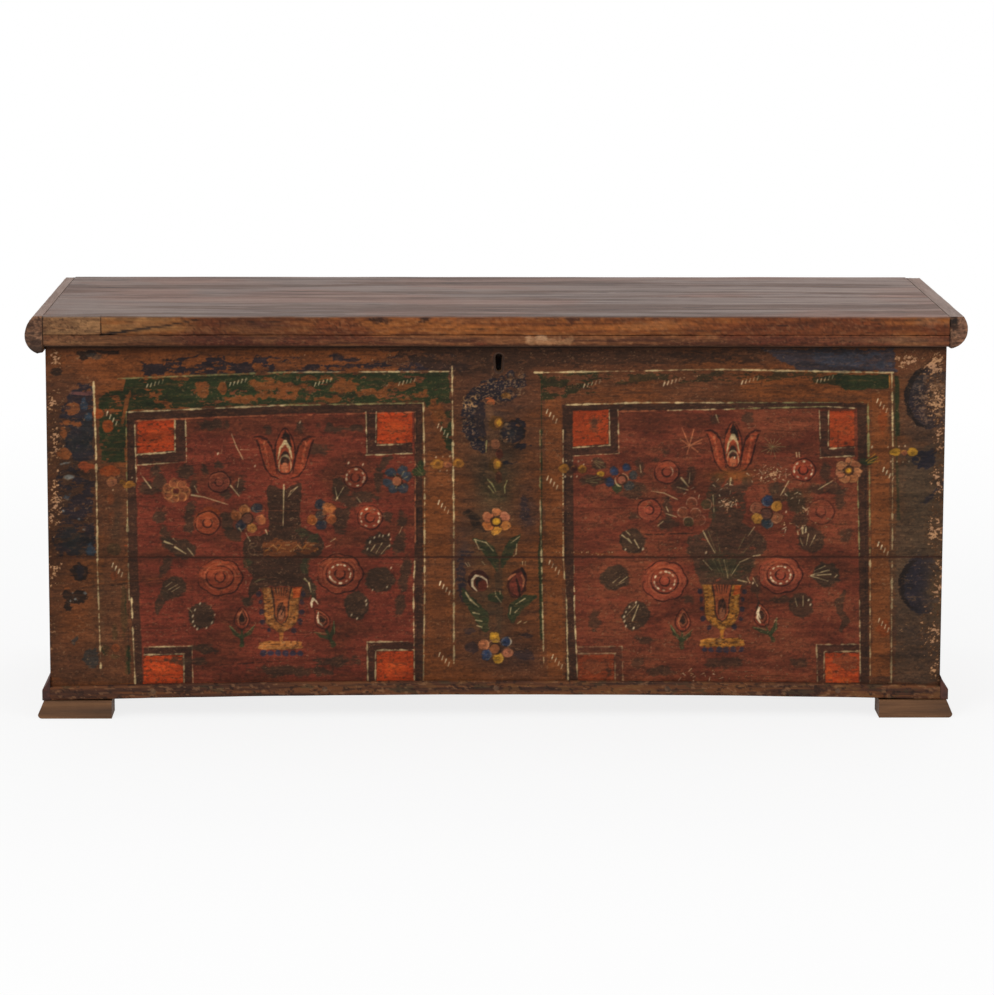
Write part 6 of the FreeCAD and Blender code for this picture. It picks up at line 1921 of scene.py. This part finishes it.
def edge_ground(sheet):
    """Swirling orange-brown grain above, a darker lip below, and the paler patch at the left."""
    bend = (3.0 * np.sin(sheet.x / 31) + 2.0 * np.sin(sheet.x / 13 + 1.7)) * ramp(
        -np.abs(sheet.x - 380), -120, -40)
    rings = layers(sheet.x / 70, (sheet.y + bend) / 2.4, 320, 4)
    sheet.colour[:] = mix(edge_light, edge_middle, ramp(rings, 0.25, 0.7))
    sheet.wash(edge_dark, 0.4 * ramp(rings, 0.6, 0.85))
    sheet.glow(262, 326, 46, 7, tone(80, 43, 28), 0.85)
    sheet.wash(edge_red, 0.6 * ramp(sheet.cloud, 0.5, 0.8))
    worn_left = ramp(-sheet.x, -215, -170) * ramp(-sheet.y - 0.06 * sheet.x, -344, -338)
    sheet.wash(mix(edge_tan, edge_light, ramp(rings, 0.3, 0.7)), 0.85 * worn_left)
    lip = ramp(sheet.y, lip_line_pixel - 3.5, lip_line_pixel + 3.5)
    lip_rings = layers(sheet.x / 46, sheet.y / 2.4, 330, 4)
    lip_tone = mix(lip_light, lip_dark, ramp(lip_rings, 0.25, 0.75))
    sheet.wash(mix(lip_tone, lip_red, 0.55 * ramp(sheet.cloud, 0.4, 0.75)), lip)
    at = sheet.view(edge_left, edge_top, patch_right_pixel - 4, edge_foot)
    patch_rings = layers(sheet.x[at] / 30, sheet.y[at] / 2.4, 335, 4)
    sheet.wash(mix(patch_light, patch_dark, ramp(patch_rings, 0.3, 0.75)), 1 - lip[at], at)


def edge_age(sheet):
    """Uneven tone, grooves, pits, pale flecks and the shade under the lip."""
    tone_change = 1 + 0.2 * (sheet.long - 0.5) + 0.24 * (sheet.short - 0.5) + 0.22 * (sheet.fleck - 0.5)
    sheet.colour *= tone_change[..., None]
    grooves = ramp(sheet.long, 0.66, 0.8)
    sheet.wash(edge_dark * 0.7, 0.35 * grooves)
    sheet.height -= 0.25 * grooves
    pits = ramp(layers(sheet.x / 2.2, sheet.y / 1.5, 340, 3), 0.68, 0.8)
    sheet.wash(edge_dark * 0.55, 0.42 * pits * ramp(sheet.cloud, 0.45, 0.7))
    sheet.height -= 0.25 * pits
    bright = ramp(layers(sheet.x / 3.5, sheet.y / 1.6, 350, 3), 0.72, 0.84)
    sheet.wash(tone(170, 122, 84), 0.28 * bright)
    sheet.wash(black, 0.5 * ramp(sheet.y, 344.5, 348))


def paint_lid_edge():
    """The lid's whole front edge: grain, stains, arcs of grain, the split, cracks and the cleats' ends."""
    sheet = Canvas(*edge_view, edge_seed)
    edge_ground(sheet)
    for place in edge_clouds:
        sheet.glow(*place)
    for *place, cover in edge_stains:
        sheet.blob(*place, cover=cover, rough=3.2, soft=2, dry=0.5)
    for k in range(edge_arc_count):
        x = 322 + 15 * k
        arc = arc_points((x, 335), (x + 34, 319), 2.0 - 0.5 * (k % 3))
        sheet.stroke(arc, (0.8, 1.4), edge_dark, cover=0.45, rough=0.8)
    sheet.stroke(edge_split, (2.2, 2.2, 1.6, 0.8), black, cover=0.95, rough=0.5, dry=0, body=-1.0)
    for start, end in edge_cracks:
        sheet.rule(start, end, 0.9, black, gaps=0.3, cover=0.55, body=-0.4)
    sheet.rule((patch_right_pixel, 317), (patch_right_pixel + 0.4, 336), 1.1, black, gaps=0.2, cover=0.8)
    end_grain(sheet)
    edge_age(sheet)
    return sheet


# The cleats' ends: the part of the picture (from, to) and how dark its grain is, then their coats in order.
cleat_ends = ((edge_left, 45.4, 1.0), (949, edge_right, 0.35))
cleat_coats = (
    (patch, [(38, 321), (45.8, 320.5), (45.8, 340), (38.5, 340)], cleat_light * 0.98, coat(0.9, 0.8)),
    (touches, [(39.5, 323 + 3.4 * k, 44, 323.6 + 3.4 * k, 1.1, 0.8) for k in range(5)], cleat_dark,
     coat(0.7)),
    (patch, [(28, 315), (45.5, 314.5), (45.5, 319), (29, 320)], cleat_light * 0.95, coat(0.75, 1.2)),
    (rule, (45.6, 316), (45.6, 352), 1.0, black, coat(0.8, gaps=0.2)),
    (patch, [(949, 316), (955.5, 317), (956, 328), (951, 331)], black, coat(0.85, 1.4)),
    (patch, [(958, 318), (966, 318), (966, 346), (957, 348)], tone(158, 112, 88), coat(0.5, 1.6)),
    (rule, (948.8, 316), (948.8, 350), 1.0, black, coat(0.8, gaps=0.2)),
)


def end_grain(sheet):
    """The cleats' ends: dark pitted end grain, a lighter tenon at the left and a hole at the right."""
    for x0, x1, share in cleat_ends:
        at = sheet.view(x0 + 4, edge_top, x1 - 4, edge_foot)
        rings = layers(sheet.x[at] / 6, sheet.y[at] / 2.0, 360, 3)
        end_tone = mix(cleat_light, cleat_dark, ramp(rings, 0.35, 0.7) * (0.3 + 0.7 * share))
        sheet.wash(mix(end_tone, cleat_dark, 0.5 * share), 1.0, at)
    draw(sheet, cleat_coats)
    pits = ramp(sheet.fleck, 0.6, 0.75) * np.maximum(ramp(-sheet.x, -45, -44), ramp(sheet.x, 949, 950))
    sheet.wash(cleat_dark * 0.6, 0.7 * pits)
    sheet.height -= 0.5 * pits


top_grey, top_pink = tone(124, 106, 98), tone(128, 98, 86)
top_brown, top_dark = tone(84, 58, 46), tone(58, 40, 34)


def top_colours(x, y, seed):
    """The lid's weathered top: grey-brown, with long broad streaks along the boards."""
    drift = 26 * layers(x / 420, y / 240, seed + 50, 2)
    broad = layers(x / 420, (y + drift) / 46, seed, 4)
    streak = layers(x / 190, (y + drift) / 15, seed + 7, 4)
    cloud = layers(x / 260, y / 150, seed + 14, 4)
    colour = mix(top_grey, top_pink, ramp(cloud, 0.3, 0.7))
    colour = mix(colour, top_brown, 0.7 * ramp(broad, 0.42, 0.75))
    colour = mix(colour, top_dark, 0.4 * ramp(streak, 0.6, 0.9))
    colour = mix(colour, tone(154, 138, 128), 0.3 * ramp(1 - streak, 0.62, 0.9))
    cracks = ramp(layers(x / 60, y / 3.5, seed + 21, 3), 0.76, 0.88) * ramp(broad, 0.3, 0.6)
    lighter_end = (1 + 0.08 * ramp(x, 200, 600))[:, None]
    return mix(colour, top_dark * 0.8, 0.5 * cracks) * lighter_end


def under_colours(x, y, seed):
    """The lid's inner face: warmer, cleaner pine."""
    rings = layers(x / 200, y / 7, seed + 3, 4)
    return mix(tone(150, 112, 76), tone(124, 90, 60), ramp(rings, 0.25, 0.8))


def wood_relief(seed, depth=0.28, length=110, width=2.2):
    """A function for worn grain: how far a point sinks below the sawn face."""
    def relief(a, u, v):
        ridges = layers(a / length, (u + 1.7 * v) / width, seed, 3)
        waves = layers(a / 90, (u + v) / 60, seed + 5, 2)
        return depth * ridges + 0.3 * waves
    return relief


def lid_edge_shade(x):
    """The painted edge is a little darker towards the left end."""
    return (1 - 0.12 * ramp(-x, 120, 420))[:, None]


def lid_colours(points, seed, sheet, shade=1.0):
    """Colours of a lid piece: the painted edge sheet in front, the inner face's pine lower down, darkened by
    shade as painted shade, and the weathered top elsewhere.
    """
    px, py = edge_pixels(points[:, 0], points[:, 2])
    front = sheet.sample(sheet.colour, px, py)
    top = top_colours(points[:, 0], points[:, 1], seed)
    below = under_colours(points[:, 0], points[:, 1], seed)
    face = ramp(lid_low[1] + 7 - points[:, 1], 0, 6) * ramp(lid_high[2] - points[:, 2], 0.2, 3.0)
    deep = ramp(lid_high[2] - points[:, 2], 3, 12) * (1 - face)
    # Below the top, a shade under 1 darkens the inner face's pine: painted shade on the faces under the edge.
    colour = mix(top, below * shade, deep)
    return mix(colour, front * lid_edge_shade(points[:, 0]), face)


def lid_relief(seed, low, high, sheet):
    """Worn grain everywhere, and the edge sheet's cuts and rubbed corner in front."""
    base = wood_relief(seed)

    def relief(a, u, v):
        px, py = edge_pixels(a, v)
        facing = ramp(low[1] + 3 - u, 0, 2)
        cuts = -np.minimum(0, sheet.sample(sheet.height, px, py)) * facing
        near_top = ramp(v - high[2] + 4, 0, 4)
        wear = 0.9 * ramp(layers(a / 24, v / 9, seed + 40, 3), 0.45, 0.8) * facing * near_top
        return base(a, u, v) + cuts + wear
    return relief


def steps(low, high, step):
    """Places from low to high, about a step apart."""
    return np.linspace(low, high, int((high - low) / step) + 1)


# How far in from the edge a board's skin takes up the patch's notch.
notch_blend = 30.0
notch_turn = 0.4


def notched(a, points):
    """The front board stops behind the patch."""
    if a > patch_high[0]:
        return points
    moved = points.copy()
    depth = patch_high[1] - lid_low[1]
    near = points[:, 0] < lid_low[1] + notch_blend
    moved[near, 0] = patch_high[1] + (points[near, 0] - lid_low[1]) * (1 - depth / notch_blend)
    return moved


def box_section(low, high, rounds, step):
    """A rectangle's outline from its lower front corner on, with a radius for each corner."""
    corners = [(low[1], low[2]), (high[1], low[2]), (high[1], high[2]), (low[1], high[2])]
    return rounded_section([(y, z, r) for (y, z), r in zip(corners, rounds)], step)


def make_lid_board(node, step, seed, sheet, material, nose, shape=None):
    """One of the lid's two long boards."""
    low, high = box_of(node)
    section = box_section(low, high, (board_round, board_round, board_round, nose), step)
    along = steps(low[0], high[0], step)
    if shape:
        along = np.sort(np.append(along, [patch_high[0] - notch_turn, patch_high[0] + notch_turn]))
    verts, faces = swept(section, along, "x", lid_relief(seed, low, high, sheet), shape=shape)
    piece = worn_piece(node, verts, faces, material, "lid")
    set_colours(piece, lid_colours(vertices_of(piece), seed, sheet))
    smooth(piece)


def make_edge_strip(node, step, seed, sheet, material, rounds):
    """The lip or the patch: a short section along the lid's front edge, with painted shade on its faces under
    the edge.
    """
    low, high = box_of(node)
    section = box_section(low, high, rounds, step)
    verts, faces = swept(section, steps(low[0], high[0], step), "x", lid_relief(seed, low, high, sheet),
                         end_round=edge_end_round)
    piece = worn_piece(node, verts, faces, material, "lid")
    # The lip's and the patch's faces under the front edge are darkened to 0.6 of their colour: painted shade.
    set_colours(piece, lid_colours(vertices_of(piece), seed, sheet, shade=0.6))
    smooth(piece)


def dense_outline(points, step):
    """A closed outline through these corners, with more points between them."""
    dense = []
    for p, q in zip(points, np.roll(points, -1, axis=0)):
        parts = max(1, int(round(np.linalg.norm(q - p) / step)))
        dense += [p + (q - p) * j / parts for j in range(parts)]
    return np.array(dense)


corner_round = 14.0


def make_cleat(node, step, seed, sheet, material):
    """A cleat: the outline of its front end, carried along the lid's end."""
    low, high = box_of(node)
    points = points_of(node)
    end = points[np.abs(points[:, 1] - low[1]) < same_place / 2][:, [0, 2]]
    end = np.unique(np.round(end, 3), axis=0)
    middle = (end.min(axis=0) + end.max(axis=0)) / 2
    order = np.argsort(np.arctan2(end[:, 1] - middle[1], end[:, 0] - middle[0]))
    section = dense_outline(end[order], step)
    relief = wood_relief(seed, depth=0.4)
    side = math.copysign(1, low[0])

    def rubbed(a, points):
        """The far end's outer corner has been rubbed round."""
        past = max(0, a - (high[1] - corner_round)) / corner_round
        inset = corner_round * (1 - math.sqrt(max(0, 1 - past * past)))
        outer = (side * points[:, 0] - lid_high[0]) / (high[0] - low[0])
        return points - np.stack([side * inset * outer, 0.3 * inset * (points[:, 1] > low[2] + 30)], axis=1)

    verts, faces = swept(section, steps(low[1], high[1], step), "y", lambda a, u, v: relief(a, v, u),
                         end_round=cleat_end_round, shape=rubbed)
    piece = worn_piece(node, verts, faces, material, "lid")
    fill_ends(piece, step)
    points = vertices_of(piece)
    px, py = edge_pixels(points[:, 0], points[:, 2])
    front = sheet.sample(sheet.colour, px, py)
    top = mix(top_colours(points[:, 1], points[:, 0] + points[:, 2], seed), cleat_top, 0.55)
    flank = mix(tone(120, 84, 58), tone(82, 58, 44),
                layers(points[:, 1] / 120, points[:, 2] / 4, seed + 9, 4))
    colour = mix(flank, top, ramp(points[:, 2] - high[2], -16, -5))
    face = ramp(low[1] + 3 - points[:, 1], 0, 2)
    set_colours(piece, mix(colour, front, face))
    smooth(piece)


def fill_ends(piece, step):
    """The two large end faces get points inside, so that their colour can change across them."""
    build = bmesh.new()
    build.from_mesh(piece.data)
    ends = [f for f in build.faces if len(f.verts) > 4]
    bmesh.ops.triangulate(build, faces=ends)
    for _ in range(5):
        inner = [e for e in build.edges if e.calc_length() > 1.6 * step * mm
                 and all(abs(f.normal.y) > 0.9 for f in e.link_faces)]
        if not inner:
            break
        bmesh.ops.subdivide_edges(build, edges=inner, cuts=1)
        bmesh.ops.triangulate(build, faces=[f for f in build.faces if len(f.verts) > 4])
    build.to_mesh(piece.data)
    build.free()


# The front strip's worn stain, from light to dark.
plinth_light, plinth_mid, plinth_dark = tone(104, 62, 36), tone(80, 48, 32), tone(50, 32, 26)


def plinth_colours(points):
    """Brown stain over ochre and green remains, with dark spots and pale flecks."""
    x, z = points[:, 0], points[:, 2]
    rings = layers(x / 90, z / 3.0, 900, 4)
    remains = layers(x / 26, z / 8, 910, 4)
    colour = mix(plinth_mid, plinth_light, ramp(rings, 0.4, 0.75))
    colour = mix(colour, plinth_dark, 0.6 * ramp(1 - rings, 0.55, 0.85))
    colour = mix(colour, tone(118, 80, 44), 0.5 * ramp(remains, 0.62, 0.8) * ramp(x, -400, 0))
    colour = mix(colour, tone(58, 56, 38), 0.4 * ramp(1 - remains, 0.7, 0.85))
    colour = mix(colour, plinth_dark * 0.7, 0.6 * ramp(layers(x / 7, z / 4, 920, 3), 0.7, 0.84))
    return mix(colour, tone(150, 108, 74), 0.5 * ramp(layers(x / 9, z / 3, 930, 3), 0.76, 0.86))


def make_front_strip(node, step, material):
    """The strip along the foot of the front, which follows the board's bowed edge."""
    low, high = box_of(node)
    points = points_of(node)
    rise = points[np.abs(points[:, 0]) < 5][:, 2].min() - low[2]
    radius = (high[0] ** 2 + rise ** 2) / (2 * rise)
    section = box_section(low, high - np.array([0, 0, rise]), strip_rounds, step)

    def bowed(a, points):
        """The section at a place along the bow."""
        return points + np.array([0, math.sqrt(radius ** 2 - a ** 2) - radius + rise])

    worn = wood_relief(940, depth=0.25, length=60)
    verts, faces = swept(section, steps(low[0], high[0], step), "x", worn, end_round=strip_end_round,
                         shape=bowed)
    piece = worn_piece(node, verts, faces, material, "carcass")
    set_colours(piece, plinth_colours(vertices_of(piece)))
    smooth(piece)


# Camera, light and floor.
def add_camera():
    """The camera that matches the photograph."""
    data = bpy.data.cameras.new("camera")
    data.lens = camera_lens
    data.sensor_width = sensor_width
    data.sensor_fit = "AUTO"
    data.clip_end = 60
    camera = bpy.data.objects.new("camera", data)
    camera.matrix_world = camera_matrix()
    bpy.context.scene.collection.objects.link(camera)
    bpy.context.scene.camera = camera


def add_light(name, place, aim, size, power):
    """A soft rectangular lamp that looks at a place."""
    data = bpy.data.lights.new(name, "AREA")
    data.shape = "RECTANGLE"
    data.size, data.size_y = size
    data.energy = power
    light = bpy.data.objects.new(name, data)
    light.location = place
    light.rotation_euler = (Vector(aim) - Vector(place)).to_track_quat("-Z", "Y").to_euler()
    bpy.context.scene.collection.objects.link(light)


def add_stage():
    """A floor that reads as white but keeps a faint shadow, soft lamps and a pale world."""
    mesh = bpy.data.meshes.new("floor")
    corners = [(-floor_reach, -floor_reach, 0), (floor_reach, -floor_reach, 0), (floor_reach, floor_reach, 0),
               (-floor_reach, floor_reach, 0)]
    mesh.from_pydata(corners, [], [(0, 1, 2, 3)])
    floor = bpy.data.objects.new("floor", mesh)
    mesh.materials.append(white_floor())
    bpy.context.scene.collection.objects.link(floor)
    world = bpy.data.worlds.new("studio")
    bpy.context.scene.world = world
    world.use_nodes = True
    tree = world.node_tree
    background = tree.nodes["Background"]
    strength = tree.nodes.new("ShaderNodeMix")
    strength.inputs["A"].default_value = world_light
    strength.inputs["B"].default_value = 1.0
    tree.links.new(seen_rays(tree), strength.inputs["Factor"])
    tree.links.new(strength.outputs["Result"], background.inputs["Strength"])
    background.inputs["Color"].default_value = (1, 1, 1, 1)
    for name, lamp in lamps.items():
        add_light(name, *lamp)
    bpy.context.scene.view_settings.view_transform = "Standard"


def seen_rays(tree):
    """1 for what the camera sees directly, in a reflection or through glass."""
    path = tree.nodes.new("ShaderNodeLightPath")
    seen = path.outputs["Is Camera Ray"]
    for name in ("Is Glossy Ray", "Is Transmission Ray"):
        either = tree.nodes.new("ShaderNodeMath")
        either.operation = "MAXIMUM"
        tree.links.new(seen, either.inputs[0])
        tree.links.new(path.outputs[name], either.inputs[1])
        seen = either.outputs[0]
    return seen


def white_floor():
    """White where it is seen, with part of the plain floor's shadow near the object."""
    material = bpy.data.materials.new("white_floor")
    material.use_nodes = True
    tree = material.node_tree
    tree.nodes.clear()
    plain = tree.nodes.new("ShaderNodeBsdfDiffuse")
    plain.inputs["Color"].default_value = (floor_tone, floor_tone, floor_tone, 1)
    white_light = tree.nodes.new("ShaderNodeEmission")
    white_light.inputs["Color"].default_value = (1, 1, 1, 1)
    place = tree.nodes.new("ShaderNodeTexCoord")
    away = tree.nodes.new("ShaderNodeVectorMath")
    away.operation = "LENGTH"
    tree.links.new(place.outputs["Object"], away.inputs[0])
    share = tree.nodes.new("ShaderNodeMapRange")
    share.inputs["From Min"].default_value = shadow_near
    share.inputs["From Max"].default_value = shadow_far
    share.inputs["To Min"].default_value = 1 - shadow_share
    share.inputs["To Max"].default_value = 1.0
    tree.links.new(away.outputs["Value"], share.inputs["Value"])
    whiteness = tree.nodes.new("ShaderNodeMath")
    whiteness.operation = "MULTIPLY"
    tree.links.new(share.outputs["Result"], whiteness.inputs[0])
    tree.links.new(seen_rays(tree), whiteness.inputs[1])
    both = tree.nodes.new("ShaderNodeMixShader")
    tree.links.new(whiteness.outputs[0], both.inputs[0])
    tree.links.new(plain.outputs[0], both.inputs[1])
    tree.links.new(white_light.outputs[0], both.inputs[2])
    output = tree.nodes.new("ShaderNodeOutputMaterial")
    tree.links.new(both.outputs[0], output.inputs[0])
    return material


def dress_node(node, materials, bevel=0.0, segments=2):
    """A piece of the frame keeps its shape and gets its finish, with eased edges."""
    piece = nodes[node]
    mesh = piece.data
    mesh.materials.clear()
    for material in materials:
        mesh.materials.append(material)
    if bevel:
        weld = piece.modifiers.new("weld", "WELD")
        weld.merge_threshold = same_corner
        ease = piece.modifiers.new("ease", "BEVEL")
        ease.width = bevel * mm
        ease.segments = segments
        ease.limit_method = "ANGLE"
        ease.angle_limit = math.radians(30)
        ease.harden_normals = False


def mark_outside(node, is_outside):
    """The outer faces of a board get its second finish, and the others keep the first."""
    for polygon in nodes[node].data.polygons:
        polygon.material_index = int(is_outside(polygon.center))


add_camera()
add_stage()

painted = painted_material("old_paint")
lid_wood = tinted_wood("lid_wood", "x")
cross_wood = tinted_wood("cleat_wood", "y")
strip_wood = tinted_wood("front_strip_wood", "x")
pine_x = plain_wood("aged_pine_long", "x", tone(160, 122, 84), tone(142, 104, 70), tone(118, 84, 57),
                    knots=True)
pine_y = plain_wood("aged_pine_cross", "y", tone(160, 122, 84), tone(142, 104, 70), tone(118, 84, 57))
back_pine = plain_wood("back_pine", "x", tone(138, 104, 74), tone(116, 84, 60), tone(92, 66, 48), knots=True)
plinth_cross = plain_wood("plinth_side_wood", "y", tone(92, 50, 38), tone(68, 38, 32), tone(46, 30, 27),
                          rough=0.6)
foot_wood = plain_wood("foot_wood", "x", tone(128, 88, 56), tone(102, 69, 44), tone(72, 50, 34), rough=0.65)
peg_wood = plain_wood("peg_wood", "y", tone(124, 88, 60), tone(96, 66, 46), tone(66, 46, 34))
dark_wood = plain_wood("dark_edge_wood", "x", tone(96, 70, 54), tone(74, 52, 40), tone(50, 36, 30),
                       rough=0.75)
side_paint = side_material()
iron = iron_material()

front_sheet = paint_front()
paint_skin("paint_upper", front_sheet, level(joint_z + joint_gap / 2), level(rim_z - rim_ease), painted, True)
paint_skin("paint_lower", front_sheet, bow_line("front_lower_board"), level(joint_z - joint_gap / 2), painted)

edge_sheet = paint_lid_edge()
make_lid_board("lid_front_board", lid_step, 800, edge_sheet, lid_wood, nose_round, shape=notched)
make_lid_board("lid_rear_board", rear_step, 850, edge_sheet, lid_wood, board_round)
make_edge_strip("lid_lip", edge_step, 860, edge_sheet, lid_wood, lip_rounds)
make_edge_strip("lid_edge_patch", edge_step, 870, edge_sheet, lid_wood, patch_rounds)
make_cleat("lid_cleat_left", cleat_step, 880, edge_sheet, cross_wood)
make_cleat("lid_cleat_right", cleat_step, 890, edge_sheet, cross_wood)
make_front_strip("plinth_front", strip_step, strip_wood)

for name in nodes:
    if name.startswith("front_"):
        dress_node(name, [pine_x, dark_wood], hidden_ease)
        mark_outside(name, lambda centre: centre.y / mm < front_y + outer_skin)
    elif name.startswith("floor_board"):
        dress_node(name, [pine_x], hidden_ease)
    elif name.startswith("back_"):
        dress_node(name, [pine_x, back_pine], board_ease)
        mark_outside(name, lambda centre: centre.y / mm > back_y - side_skin)
    elif "side" in name:
        dress_node(name, [pine_y, side_paint], board_ease)
        mark_outside(name, lambda centre: abs(centre.x) / mm > half_width - side_skin)
    elif name.startswith("plinth") and name != "plinth_pegs":
        dress_node(name, [plinth_cross], plinth_ease)
    elif name.startswith("foot_") and name != "foot_pegs":
        dress_node(name, [foot_wood], foot_ease, segments=4)
    elif name.startswith(("hinge", "lock", "staple", "bolt", "floor_nails")):
        dress_node(name, [iron], iron_ease)
    elif name.endswith(("pegs", "dowels")):
        dress_node(name, [peg_wood])
    elif name.startswith("ledger"):
        dress_node(name, [pine_x if name.endswith(("back", "front")) else pine_y], ledger_ease)
